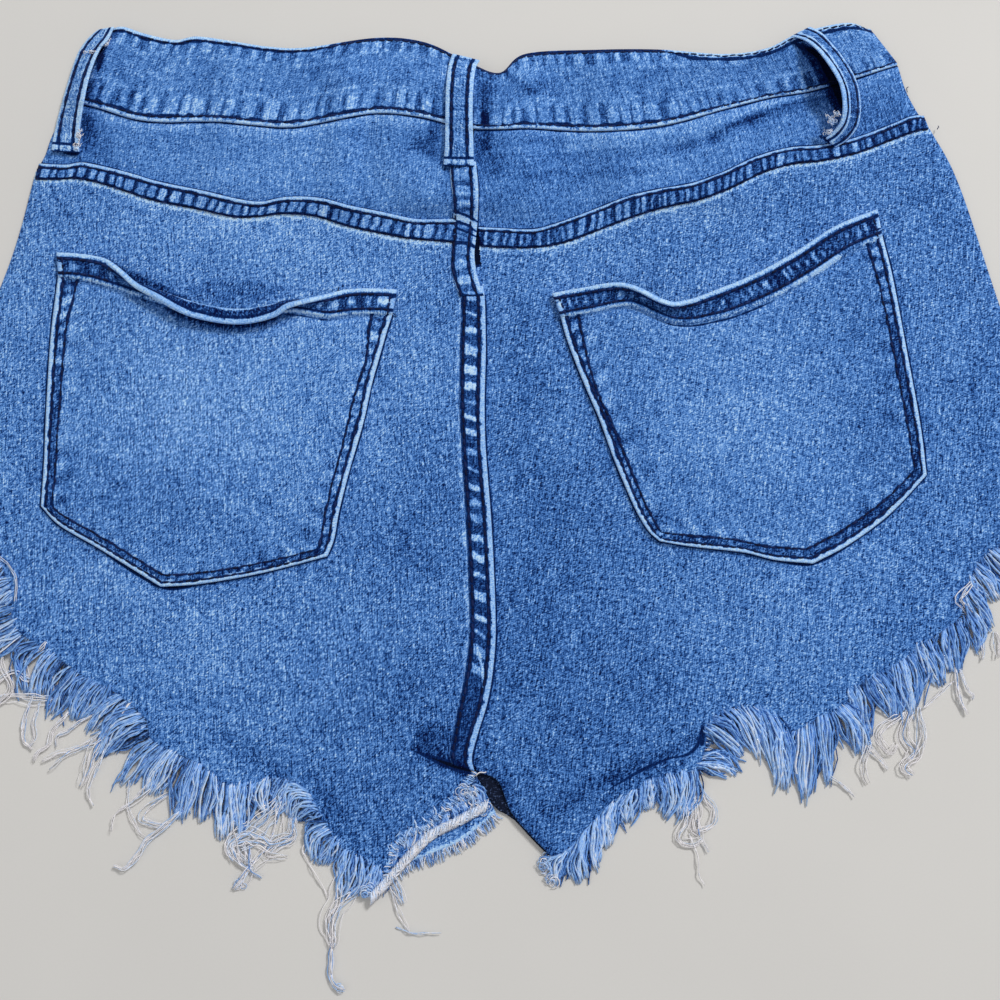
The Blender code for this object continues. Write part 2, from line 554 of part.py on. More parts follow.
def main():
    for old in list(bpy.data.objects):
        bpy.data.objects.remove(old)
    denim = new_material("denim", (0.062, 0.165, 0.42), 0.85)
    denim_worn = new_material("denim_worn", (0.13, 0.32, 0.66), 0.85)
    thread = new_material("frayed_thread", (0.24, 0.46, 0.78), 0.9)
    metal = new_material("button_metal", (0.45, 0.44, 0.42), 0.35, 1.0)

    waistband_back(denim)
    waistband_front("waistband_front_left", FRONT_BAND[0][0], FRONT_CENTRE + LAP_OVER, False, denim)
    waistband_front("waistband_front_right", FRONT_CENTRE - LAP_UNDER, FRONT_BAND[-1][0], True, denim)
    back_pieces(denim)
    front_pieces(denim)
    pockets(denim_worn)
    loops(denim_worn)
    fringes(thread)
    waist_button(metal)

    # The origin is the middle of the garment's box, on the table.
    pieces = [o for o in bpy.data.objects if o.type == "MESH"]
    corners = np.array([v.co[:] for o in pieces for v in o.data.vertices])
    low, high = corners.min(axis=0), corners.max(axis=0)
    middle = ((low[0] + high[0]) / 2, (low[1] + high[1]) / 2, low[2])
    holder = bpy.data.objects.new("denim_shorts", None)
    bpy.context.scene.collection.objects.link(holder)
    for piece in pieces:
        for vert in piece.data.vertices:
            vert.co = [(c - m) / 1000 for c, m in zip(vert.co, middle)]
        piece.parent = holder
    print("layout origin", [round(float(m), 3) for m in middle], "size", (high - low).round(2))


main()
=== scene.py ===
"""Looks of the denim shorts, laid flat with the back up.

Every length below is in millimetres in the layout frame of the CAD model, whose
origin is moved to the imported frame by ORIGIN; meshes are turned into metres when
they are made. Each ply is a closed thin shell on the form of its CAD solid.
"""

import math

import bpy
import numpy as np
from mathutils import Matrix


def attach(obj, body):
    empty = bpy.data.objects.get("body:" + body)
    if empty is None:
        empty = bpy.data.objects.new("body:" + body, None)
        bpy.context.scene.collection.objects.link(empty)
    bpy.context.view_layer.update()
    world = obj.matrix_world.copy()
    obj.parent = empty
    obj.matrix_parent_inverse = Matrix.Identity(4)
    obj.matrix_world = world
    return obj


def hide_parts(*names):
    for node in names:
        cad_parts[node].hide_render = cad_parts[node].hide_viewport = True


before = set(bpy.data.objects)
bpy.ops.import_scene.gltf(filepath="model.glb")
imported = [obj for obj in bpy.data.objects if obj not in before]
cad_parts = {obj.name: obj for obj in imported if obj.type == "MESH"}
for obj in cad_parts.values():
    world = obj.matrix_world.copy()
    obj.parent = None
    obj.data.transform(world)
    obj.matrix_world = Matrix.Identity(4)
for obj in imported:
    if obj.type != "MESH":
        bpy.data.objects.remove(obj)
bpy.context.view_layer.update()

# ---------------------------------------------------------------- named sizes
ORIGIN = (-0.5, 19.275)  # middle of the garment's box in the layout frame
CLOTH = 1.2
BAND = 2.4
GAP = 0.3
BUTTON_RADIUS = 7.5
BUTTON_HEIGHT = 1.8
FRONT_CENTRE = -12.0
LAP_OVER = 6.0
LAP_UNDER = 34.0
LOOP_WIDTH = 11.5
LOOP = 1.8
HEM_DEPTH = 10.6  # turned hem at a pocket's mouth
FOLD_RADIUS = 5.5  # roundness of the side folds
STITCH_PITCH = 3.0
STITCH_GAP = 0.55
THREAD_RADIUS = 0.36  # sewing thread
YARN_RADIUS = 0.29  # frayed yarn
PLAN_HEIGHT = 4.0  # the height at which the plan was measured
EYE = (0.0, -84.104, 420.675)  # where the garment was measured from, over the plan
TILT = math.radians(11.306)

# ---------------------------------------------------------------- tables
#        x_top  y_top   x_seam  y_seam
BACK_BAND = [
    (-165.1, 201.4, -175.7, 167.8),
    (-159.6, 203.2, -165.6, 164.9),
    (-149.6, 199.8, -152.0, 160.4),
    (-137.0, 197.0, -139.8, 158.9),
    (-128.0, 198.6, -128.2, 159.2),
    (-113.8, 196.6, -115.6, 159.1),
    (-98.0, 193.9, -102.0, 157.6),
    (-82.0, 193.4, -84.0, 156.9),
    (-52.0, 198.0, -54.0, 162.8),
    (-32.0, 196.0, -34.0, 161.5),
    (-15.0, 187.6, -15.0, 156.4),
    (-0.6, 181.6, 0.0, 155.8),
    (10.7, 190.5, 12.0, 156.2),
    (40.0, 192.4, 38.0, 154.8),
    (67.0, 192.5, 67.0, 157.2),
    (94.0, 190.4, 94.0, 165.0),
    (112.0, 193.0, 113.0, 170.2),
    (126.0, 200.0, 129.0, 173.0),
    (146.0, 205.0, 148.0, 178.8),
    (155.5, 202.0, 166.5, 185.1),
]
#        x_top  y_top   x_seam  y_seam
FRONT_BAND = [
    (-163.5, 200.0, -174.2, 167.0),
    (-130.0, 189.0, -133.0, 155.5),
    (-90.0, 180.0, -92.0, 146.0),
    (-50.0, 172.5, -52.0, 138.5),
    (-12.0, 168.0, -12.0, 133.0),
    (26.0, 171.0, 28.0, 136.5),
    (66.0, 177.0, 68.0, 143.5),
    (106.0, 186.0, 108.0, 153.0),
    (136.0, 194.0, 140.0, 165.0),
    (153.5, 200.5, 164.5, 184.0),
]
#        x       y
SIDE_LEFT_YOKE = [(-175.7, 167.8), (-184.3, 154.5), (-187.2, 144.0), (-190.4, 137.0)]
SIDE_LEFT = [(-190.4, 137.0), (-196.2, 103.2), (-205.3, 68.3), (-210.0, 36.0), (-213.0, 2.0)]
SIDE_RIGHT_YOKE = [(166.5, 185.1), (169.0, 173.7), (173.0, 163.6), (176.5, 158.5)]
SIDE_RIGHT = [(176.5, 158.5), (187.1, 133.7), (197.5, 89.2), (204.1, 59.9), (210.0, 28.0), (213.0, -3.0)]
YOKE_SEAM_LEFT = [
    (-190.4, 137.0), (-175.0, 137.0), (-160.0, 134.2), (-145.0, 129.5), (-124.0, 124.3),
    (-98.0, 120.4), (-87.0, 121.6), (-74.0, 121.0), (-61.0, 116.8), (-35.0, 111.2), (-14.0, 109.0),
]
YOKE_SEAM_RIGHT = [
    (176.5, 158.5), (158.0, 152.6), (145.0, 147.3), (131.0, 144.6), (118.0, 144.0), (105.0, 139.0),
    (91.0, 132.0), (78.0, 126.8), (52.0, 120.7), (25.0, 109.5), (0.0, 107.2), (-14.0, 109.0),
]
CENTRE_YOKE = [(-15.0, 156.4), (-14.6, 138.0), (-14.0, 124.0), (-14.0, 109.0)]
CENTRE_SEAM = [
    (-14.0, 109.0), (-15.0, 96.0), (-11.2, 82.0), (-11.2, 40.0), (-10.0, 10.0), (-7.6, -22.0),
    (-6.9, -50.0), (-9.0, -76.0), (-13.5, -92.0), (-9.0, -102.8),
]
#        x_hem   y_hem   x_tip   y_tip
HEM_BACK_LEFT = [
    (-213.0, 2.0, -222.0, -9.0),
    (-202.0, -11.0, -214.0, -26.0),
    (-190.0, -26.0, -203.0, -43.0),
    (-181.0, -45.0, -193.0, -63.0),
    (-165.0, -60.0, -175.0, -82.0),
    (-145.0, -75.0, -157.0, -98.0),
    (-129.0, -87.0, -139.0, -112.0),
    (-108.0, -101.0, -114.0, -127.0),
    (-88.0, -107.0, -91.0, -135.0),
    (-74.0, -108.5, -77.0, -141.0),
    (-64.0, -120.0, -66.0, -154.0),
    (-54.0, -132.0, -56.0, -167.0),
    (-41.0, -139.0, -39.0, -158.0),
]
HEM_BACK_RIGHT = [
    (213.0, -3.0, 221.0, -15.0),
    (200.0, -15.0, 209.0, -31.0),
    (188.0, -26.0, 199.0, -46.0),
    (177.0, -41.0, 189.0, -61.0),
    (160.0, -55.0, 171.0, -76.0),
    (143.0, -66.0, 151.0, -89.0),
    (128.0, -77.0, 134.0, -100.0),
    (111.0, -86.0, 114.0, -111.0),
    (94.0, -82.5, 98.0, -108.0),
    (78.0, -90.0, 82.0, -119.0),
    (63.0, -104.0, 68.0, -128.0),
    (46.0, -112.0, 49.0, -134.0),
    (33.0, -122.0, 34.0, -144.0),
    (20.0, -134.0, 20.0, -148.0),
]
#        x       y
CROTCH_BACK_LEFT = [(-9.0, -102.8), (-16.1, -112.5), (-25.9, -121.5), (-36.5, -127.5), (-41.0, -139.0)]
CROTCH_BACK_RIGHT = [(-9.0, -102.8), (-0.9, -106.0), (4.0, -117.0), (11.2, -125.3), (20.0, -134.0)]
#        x_hem   y_hem   x_tip   y_tip
HEM_FRONT_LEFT = [
    (-211.0, 3.0, -217.0, -5.0),
    (-192.0, -18.0, -200.0, -27.0),
    (-176.0, -40.0, -183.0, -50.0),
    (-155.0, -60.0, -161.0, -71.0),
    (-130.0, -79.0, -135.0, -91.0),
    (-106.0, -94.0, -109.0, -107.0),
    (-84.0, -99.0, -86.0, -112.0),
    (-70.0, -105.0, -74.0, -117.0),
    (-60.0, -119.0, -64.0, -131.0),
    (-50.0, -131.0, -53.0, -143.0),
    (-39.8, -139.0, -40.0, -149.0),
]
HEM_FRONT_RIGHT = [
    (211.0, -2.0, 216.0, -11.0),
    (190.0, -19.0, 197.0, -30.0),
    (172.0, -39.0, 179.0, -50.0),
    (143.0, -60.0, 148.0, -73.0),
    (120.0, -76.0, 123.0, -89.0),
    (96.0, -78.0, 99.0, -91.0),
    (76.0, -88.0, 80.0, -100.0),
    (60.0, -103.0, 64.0, -114.0),
    (45.0, -113.5, 47.0, -125.0),
    (32.0, -124.0, 33.0, -136.0),
    (19.0, -133.0, 19.0, -143.0),
]
#        x       y
STRIP_FRONT_LEFT = [(-39.8, -139.0), (-31.5, -134.2), (-22.0, -130.7), (-13.1, -126.6), (-5.8, -120.8), (-1.5, -117.4)]
FRONT_SEAM = [(-12.0, 133.0), (-12.0, 90.0), (-12.0, 30.0), (-9.5, -30.0), (-8.5, -70.0), (-9.0, -103.5)]
CROTCH_FRONT_LEFT = [(-9.0, -103.5), (-5.0, -110.5), (-1.5, -117.4)]
CROTCH_FRONT_RIGHT = [(-9.0, -103.5), (-5.5, -110.0), (-1.4, -116.0), (4.6, -119.4), (11.4, -126.4), (19.4, -134.2)]

# Felled seams, by the upper and the lower row of their edges.
#        x_up    y_up    x_low   y_low
FELL_YOKE_LEFT = [
    (-189.7, 140.4, -191.1, 133.0),
    (-179.1, 139.9, -181.3, 133.0),
    (-172.4, 140.9, -174.9, 133.4),
    (-166.0, 139.8, -167.5, 132.2),
    (-157.9, 137.8, -159.7, 129.9),
    (-149.9, 135.5, -151.8, 127.1),
    (-139.4, 132.2, -140.9, 123.5),
    (-121.1, 128.2, -122.3, 119.6),
    (-106.7, 124.6, -107.9, 116.3),
    (-97.4, 123.6, -98.2, 116.6),
    (-87.1, 125.6, -87.6, 117.8),
    (-74.0, 125.2, -74.9, 116.6),
    (-60.9, 121.7, -62.2, 112.4),
    (-47.8, 118.9, -48.7, 109.3),
    (-34.8, 116.0, -36.1, 106.9),
    (-24.0, 115.8, -25.0, 105.9),
    (-15.6, 115.8, -16.4, 104.9),
    (-11.0, 113.2, -12.2, 103.4),
]
FELL_YOKE_RIGHT = [
    (-9.0, 112.4, -8.4, 103.7),
    (0.0, 111.9, 0.8, 103.1),
    (13.0, 111.4, 13.8, 103.1),
    (23.2, 114.1, 25.8, 105.2),
    (39.0, 120.3, 41.0, 111.0),
    (52.2, 125.8, 54.2, 116.4),
    (65.3, 129.1, 66.9, 120.5),
    (78.3, 131.6, 80.4, 123.6),
    (91.6, 136.6, 94.6, 129.1),
    (105.1, 143.3, 108.0, 135.9),
    (118.5, 147.4, 120.6, 139.8),
    (131.7, 148.6, 132.5, 141.2),
    (145.0, 151.4, 147.2, 144.7),
    (158.5, 156.4, 160.7, 150.0),
    (170.5, 161.6, 172.6, 154.6),
    (176.0, 162.0, 178.0, 155.2),
]
#        x_left  y_left  x_right y_right
FELL_CENTRE_YOKE = [
    (-20.7, 141.4, -9.9, 141.4),
    (-20.6, 137.9, -9.6, 137.9),
    (-20.2, 132.0, -9.0, 132.0),
    (-19.4, 126.1, -8.8, 126.1),
    (-19.0, 116.3, -9.1, 115.3),
    (-19.3, 106.7, -9.8, 106.5),
    (-19.9, 98.9, -10.3, 100.0),
    (-19.5, 92.9, -9.5, 93.1),
    (-17.9, 87.3, -8.0, 87.3),
    (-16.2, 82.4, -6.2, 82.4),
]
FELL_CENTRE = [
    (-15.9, 87.0, -6.6, 87.0),
    (-15.9, 80.0, -6.0, 80.0),
    (-16.3, 59.5, -5.6, 59.5),
    (-16.4, 39.9, -6.0, 39.9),
    (-15.5, 20.7, -5.6, 20.7),
    (-13.7, -6.6, -3.5, -6.6),
    (-12.5, -28.8, -2.3, -28.0),
    (-12.0, -50.6, -1.6, -50.6),
    (-13.2, -64.9, -2.5, -64.9),
    (-15.9, -79.0, -4.6, -77.6),
    (-18.0, -90.2, -8.0, -88.6),
    (-18.9, -96.5, -10.3, -97.5),
    (-17.5, -100.5, -9.4, -102.6),
]

# Patch pockets. axis is where the mouth's hem is stitched, rim its folded edge where
# it lies flat, bend how far (degrees) the hem is rolled outwards at that place.
#        x_axis  y_axis  bend
MOUTH_LEFT = [
    (-178.0, 91.0, 0.0),
    (-169.4, 90.1, 2.0),
    (-163.0, 88.8, 8.0),
    (-158.0, 87.2, 44.0),
    (-153.0, 85.6, 74.0),
    (-147.0, 83.6, 104.0),
    (-137.1, 80.4, 128.0),
    (-125.7, 76.8, 162.0),
    (-116.3, 74.6, 172.0),
    (-107.5, 73.4, 174.0),
    (-99.9, 73.6, 172.0),
    (-91.0, 75.2, 158.0),
    (-85.5, 76.2, 122.0),
    (-80.0, 76.0, 96.0),
    (-74.0, 74.8, 62.0),
    (-68.0, 74.0, 30.0),
    (-60.4, 75.0, 5.0),
    (-53.2, 75.4, 0.0),
    (-42.9, 75.0, 0.0),
]
MOUTH_RIGHT = [
    (24.2, 73.9, 0.0),
    (36.8, 76.2, 8.0),
    (46.0, 78.4, 26.0),
    (51.9, 78.9, 52.0),
    (56.8, 77.4, 67.0),
    (62.0, 74.7, 69.0),
    (68.6, 72.0, 57.0),
    (76.0, 71.5, 34.0),
    (84.0, 72.9, 22.0),
    (94.4, 75.7, 14.0),
    (110.4, 82.7, 8.0),
    (126.7, 92.2, 8.0),
    (141.0, 101.7, 3.0),
    (155.2, 108.4, 0.0),
]
#        x       y
POCKET_LEFT_SIDES = {
    "left": [(-178.0, 91.0), (-178.9, 66.0), (-178.3, 36.0), (-177.4, 14.0), (-177.2, -3.2)],
    "right": [(-42.9, 75.0), (-44.9, 68.3), (-48.4, 54.5), (-50.6, 45.5), (-53.2, 31.5), (-55.8, 21.0), (-57.9, 13.0), (-60.3, 2.8), (-62.2, -6.4), (-63.6, -16.0), (-66.0, -22.8)],
    "bottom": [(-177.2, -3.2), (-169.2, -10.9), (-153.2, -20.0), (-129.0, -34.5), (-114.2, -33.4), (-91.5, -29.4), (-66.0, -22.8)],
    "tip": 3,
}
POCKET_RIGHT_SIDES = {
    "left": [(24.2, 73.9), (26.2, 65.6), (30.3, 53.6), (34.8, 41.8), (39.2, 30.8), (43.4, 18.0), (47.8, 6.3), (52.6, -5.3), (57.0, -12.9), (61.2, -16.9)],
    "right": [(155.2, 108.4), (158.2, 90.0), (161.5, 60.0), (164.6, 30.0), (165.6, 9.0)],
    "bottom": [(61.2, -16.9), (68.8, -18.3), (76.6, -19.4), (93.8, -21.4), (105.1, -24.2), (119.6, -25.6), (134.1, -18.0), (150.2, -6.4), (165.6, 9.0)],
    "tip": 5,
}

# Soft ridges of the back layer over the front one.
#        x0     y0     x1     y1     half_width  height
RIDGES = [
    (28.0, 128.0, 98.0, 156.0, 13.0, 0.9),
    (-120.0, 40.0, -70.0, 20.0, 34.0, 0.9),
    (70.0, 30.0, 130.0, 60.0, 36.0, 0.9),
    (-80.0, -70.0, -40.0, -50.0, 26.0, 0.7),
    (60.0, -60.0, 110.0, -40.0, 28.0, 0.7),
    (-70.0, 141.0, -40.0, 132.0, 12.0, 0.6),
]
# Creases: troughs (negative) and ridges, with how much painted shade darkens them or painted light lightens them.
#        x0     y0      x1     y1      width  height  tone
CREASES = [
    (52.0, 144.0, 76.0, 147.0, 3.4, -0.45, -0.10),
    (74.0, 147.4, 89.0, 152.0, 3.0, -0.60, -0.17),
    (88.0, 152.6, 106.0, 160.4, 3.0, -0.60, -0.15),
    (104.0, 159.8, 131.0, 167.6, 3.4, -0.45, -0.11),
    (20.0, 146.0, 50.0, 141.0, 7.0, -0.35, -0.07),
    (30.0, 150.5, 92.0, 158.0, 5.0, 0.45, 0.06),
    (-60.0, 154.0, -34.0, 147.0, 6.0, -0.35, -0.08),
    (-34.0, 148.0, -22.0, 137.0, 6.0, -0.5, -0.12),
    (-8.0, 150.0, -2.0, 138.0, 6.0, -0.5, -0.14),
    (0.0, 146.0, 24.0, 150.0, 5.0, -0.3, -0.07),
    (-172.0, 158.0, -162.0, 140.0, 5.0, -0.4, -0.10),
    (-31.6, -95.2, -20.0, -99.6, 1.8, -0.8, -0.22),
    (-21.0, -99.4, -9.5, -103.4, 2.4, -1.0, -0.36),
    (-32.0, -95.0, -26.0, -80.0, 2.6, -0.35, -0.10),
    (-40.0, -84.0, -33.0, -72.0, 2.2, -0.30, -0.08),
    (75.4, -88.5, 60.0, -97.6, 2.6, -0.6, -0.18),
    (61.0, -97.0, 40.0, -105.2, 2.6, -0.5, -0.15),
    (42.0, -104.6, 18.0, -117.6, 3.0, -0.4, -0.12),
    (70.0, -94.5, 30.0, -114.0, 3.4, 0.45, 0.0),
    (-104.0, -90.0, -80.0, -104.0, 4.0, -0.5, -0.12),
    (-70.0, -104.0, -58.0, -118.0, 3.0, -0.5, -0.16),
    (-200.0, 20.0, -150.0, -30.0, 7.0, -0.2, 0.03),
    (-150.0, -28.0, -110.0, -55.0, 6.0, 0.3, 0.04),
    (-186.0, 100.0, -150.0, 112.0, 8.0, 0.3, 0.03),
    (172.0, 100.0, 186.0, 60.0, 8.0, 0.3, 0.02),
    (20.0, 60.0, 30.0, 0.0, 10.0, 0.3, 0.02),
    (-30.0, 60.0, -36.0, 0.0, 9.0, 0.35, 0.03),
    (10.0, -40.0, 30.0, -90.0, 9.0, 0.3, -0.02),
    (100.0, -40.0, 160.0, -20.0, 9.0, 0.3, 0.02),
]
# Where washing has left the dye lighter (positive) or kept it, and where painted shade darkens it: beside the belt
# loops, in the waistband's small creases and in the pockets' puckers.
#        x       y      reach_x reach_y turn  tone
WASH_AND_SHADE = [
    (-115.0, 140.0, 46.0, 20.0, -8.0, 0.045),
    (-60.0, 140.0, 34.0, 18.0, -10.0, 0.05),
    (-178.0, 152.0, 14.0, 22.0, 0.0, -0.03),
    (62.0, 140.0, 30.0, 12.0, 18.0, 0.06),
    (14.0, 134.0, 26.0, 22.0, 0.0, -0.05),
    (160.0, 166.0, 20.0, 18.0, 0.0, -0.06),
    (-95.0, 104.0, 60.0, 16.0, -6.0, 0.085),
    (-196.0, 80.0, 14.0, 40.0, -8.0, 0.06),
    (-205.0, 34.0, 12.0, 26.0, 0.0, -0.05),
    (-110.0, 45.0, 48.0, 36.0, -10.0, 0.10),
    (-75.0, 58.0, 26.0, 18.0, 0.0, 0.03),
    (-128.0, -12.0, 40.0, 18.0, -10.0, -0.02),
    (-36.0, 62.0, 14.0, 44.0, 4.0, 0.05),
    (-34.0, -2.0, 16.0, 26.0, 0.0, -0.05),
    (24.0, 92.0, 34.0, 14.0, 14.0, 0.02),
    (12.0, 40.0, 18.0, 46.0, 0.0, -0.085),
    (18.0, -40.0, 26.0, 50.0, -8.0, -0.10),
    (95.0, 42.0, 44.0, 36.0, 14.0, 0.065),
    (140.0, 62.0, 18.0, 40.0, 0.0, -0.05),
    (182.0, 76.0, 14.0, 50.0, -10.0, -0.03),
    (190.0, 20.0, 18.0, 40.0, 0.0, -0.03),
    (118.0, -46.0, 46.0, 18.0, 14.0, 0.02),
    (60.0, -78.0, 34.0, 20.0, 24.0, -0.06),
    (28.0, -112.0, 24.0, 18.0, 30.0, -0.10),
    (-100.0, -62.0, 56.0, 20.0, -16.0, 0.03),
    (-140.0, -50.0, 34.0, 16.0, -24.0, 0.04),
    (-36.0, -80.0, 30.0, 26.0, 10.0, -0.09),
    (-58.0, -118.0, 24.0, 18.0, -20.0, -0.09),
    (-18.0, -96.0, 12.0, 9.0, -10.0, -0.10),
    (174.0, 118.0, 18.0, 16.0, 0.0, -0.04),
    (120.0, 118.0, 26.0, 10.0, 24.0, -0.02),
    (66.0, 100.0, 20.0, 12.0, 10.0, -0.04),
    (-120.0, 100.0, 24.0, 9.0, -16.0, -0.05),
    # Painted shade beside and under the belt loops and in small creases of the waistband.
    (-170.5, 163.0, 3.4, 15.0, 0.0, -0.24),
    (-7.6, 163.0, 3.2, 17.0, 0.0, -0.24),
    (-27.6, 155.0, 4.0, 11.0, 0.0, -0.15),
    (70.0, 172.0, 6.0, 2.0, 10.0, -0.11),
    (-74.0, 183.6, 13.0, 1.6, 3.0, -0.09),
    (-63.0, 177.4, 12.0, 1.6, 8.0, -0.08),
    (-150.0, 176.4, 9.0, 1.3, -22.0, -0.08),
    (139.5, 174.5, 4.4, 15.0, 30.0, -0.42),
    (6.0, 172.0, 9.0, 2.2, 14.0, -0.13),
    (19.0, 176.6, 8.0, 2.0, 18.0, -0.10),
    (172.0, 150.0, 12.0, 18.0, 0.0, -0.05),
    (196.0, 60.0, 12.0, 50.0, -8.0, -0.06),
    (165.0, -30.0, 30.0, 26.0, 30.0, -0.04),
    (40.0, -20.0, 26.0, 80.0, 8.0, -0.03),
    (150.0, 40.0, 16.0, 60.0, 0.0, -0.04),
    (-30.0, 20.0, 18.0, 70.0, 2.0, -0.02),
    (100.0, 186.0, 20.0, 5.0, 12.0, -0.07),
    (118.0, 192.0, 9.0, 4.0, 30.0, -0.12),
    (-48.0, 22.0, 7.0, 17.0, 14.0, 0.10),
    (18.0, 25.0, 12.0, 14.0, 0.0, 0.06),
    (-42.0, -20.0, 15.0, 11.0, 0.0, -0.06),
    (86.0, 118.0, 13.0, 5.0, 20.0, 0.11),
    (8.0, 104.0, 6.0, 5.0, 0.0, -0.12),
    (-108.0, 112.0, 20.0, 8.0, 0.0, 0.05),
    # Painted shade in the puckers inside the pockets' corners and sides.
    (-172.6, 88.6, 3.2, 2.6, 0.0, -0.22),
    (-167.8, 10.7, 3.0, 3.4, 0.0, -0.20),
    (-169.6, -0.8, 3.0, 3.0, 0.0, -0.20),
    (-66.4, 11.9, 3.4, 2.4, 0.0, -0.24),
    (-72.6, -13.3, 4.0, 3.0, 0.0, -0.24),
    (-92.9, -23.0, 5.0, 2.0, 0.0, -0.16),
    (32.7, 72.1, 3.4, 3.0, 0.0, -0.22),
    (56.7, 10.7, 3.6, 3.0, 0.0, -0.20),
    (63.1, -9.0, 3.6, 3.0, 0.0, -0.22),
    (154.0, 70.4, 2.6, 2.6, 0.0, -0.22),
    (154.0, 59.1, 2.6, 2.4, 0.0, -0.18),
    (153.5, 45.9, 2.6, 2.6, 0.0, -0.20),
    (153.8, 32.8, 2.6, 2.6, 0.0, -0.22),
    (158.7, 14.3, 3.0, 2.6, 0.0, -0.20),
    (140.3, -5.1, 5.0, 3.0, 0.0, -0.20),
]

# The cut edges of the legs as they show, with their notches, from the side inwards.
#        x       y
EDGE_LEFT = [
    (-213.0, 2.0), (-202.0, -11.0), (-192.0, -24.0), (-186.0, -36.0), (-184.0, -49.0), (-175.0, -56.0),
    (-163.0, -63.5), (-155.0, -69.0), (-145.0, -73.5), (-138.0, -78.5), (-131.5, -84.5), (-129.5, -91.0),
    (-124.0, -94.5), (-117.0, -97.5), (-109.5, -101.0), (-104.0, -106.0), (-97.0, -108.3), (-90.0, -107.3),
    (-82.0, -105.4), (-75.0, -107.0), (-69.0, -115.0), (-62.5, -124.0), (-56.0, -131.0), (-49.0, -134.0), (-41.0, -139.0),
]
EDGE_RIGHT = [
    (213.0, -3.0), (201.0, -14.0), (191.0, -19.5), (184.0, -24.0), (180.0, -31.0), (176.0, -38.0), (174.0, -46.0),
    (166.0, -52.0), (158.0, -57.0), (152.0, -62.0), (146.0, -66.0), (137.0, -70.0), (131.0, -75.0), (127.0, -80.5),
    (119.0, -83.0), (112.0, -87.5), (105.0, -88.0), (99.0, -83.0), (91.0, -80.5), (82.0, -82.5), (77.0, -89.0),
    (75.5, -96.0), (72.0, -102.0), (65.0, -104.0), (57.0, -106.5), (48.0, -110.5), (41.0, -114.5), (34.0, -121.0),
    (27.0, -128.5), (20.0, -134.0),
]

# Tufts of the fringe: where the threads leave the weave, where they end, how far
# they bow sideways and how high they puff.
#    root_x0 root_y0 root_x1 root_y1 tip_x0  tip_y0 tip_x1 tip_y1 bow  puff
TUFTS_LEFT = [
    (-213, 2, -205, -7, -222, -8, -216, -18, 1.0, 1.8),
    (-205, -7, -197, -17, -216, -18, -209, -27, 1.0, 1.6),
    (-196, -18, -189, -28, -208, -27, -203, -35, 1.0, 1.8),
    (-188, -30, -185, -39, -202, -36, -200, -45, 1.0, 1.4),
    (-185, -40, -184, -50, -200, -46, -199, -55, 1.0, 1.4),
    (-184, -50, -180, -55, -197, -58, -193, -65, 0.0, 1.2),
    (-174, -56, -163, -63, -181, -73, -168, -77, -3.0, 1.8),
    (-162, -65, -156, -69, -171, -80, -163, -83, -1.0, 1.4),
    (-156, -69, -145, -73, -162, -83, -153, -85, -1.0, 1.8),
    (-144, -75, -138, -79, -154, -86, -148, -89, -1.0, 1.4),
    (-137, -80, -130, -90, -152, -98, -142, -97, -3.0, 2.2),
    (-130, -92, -124, -95, -142, -107, -134, -108, -1.0, 1.6),
    (-124, -95, -117, -98, -132, -109, -123, -112, -1.0, 1.8),
    (-117, -98, -109, -101, -122, -116, -113, -121, -1.0, 1.8),
    (-109, -102, -104, -106, -112, -121, -105, -119, 0.0, 2.0),
    (-103, -107, -97, -109, -104, -127, -98, -125, 0.0, 1.3),
    (-97, -108, -90, -107, -97, -125, -91, -125, 0.0, 1.8),
    (-90, -107, -82, -105, -89, -118, -83, -117, -1.0, 1.6),
    (-82, -105, -74, -108, -84, -114, -77, -119, -1.0, 1.6),
    (-73, -109, -65, -121, -81, -116, -70, -123, -3.0, 2.6),
    (-65, -121, -58, -129, -72, -131, -62, -138, -2.0, 2.2),
    (-57, -131, -49, -134, -60, -145, -52, -147, 1.0, 1.8),
    (-49, -134, -42, -138, -53, -146, -46, -146, 0.0, 1.4),
]
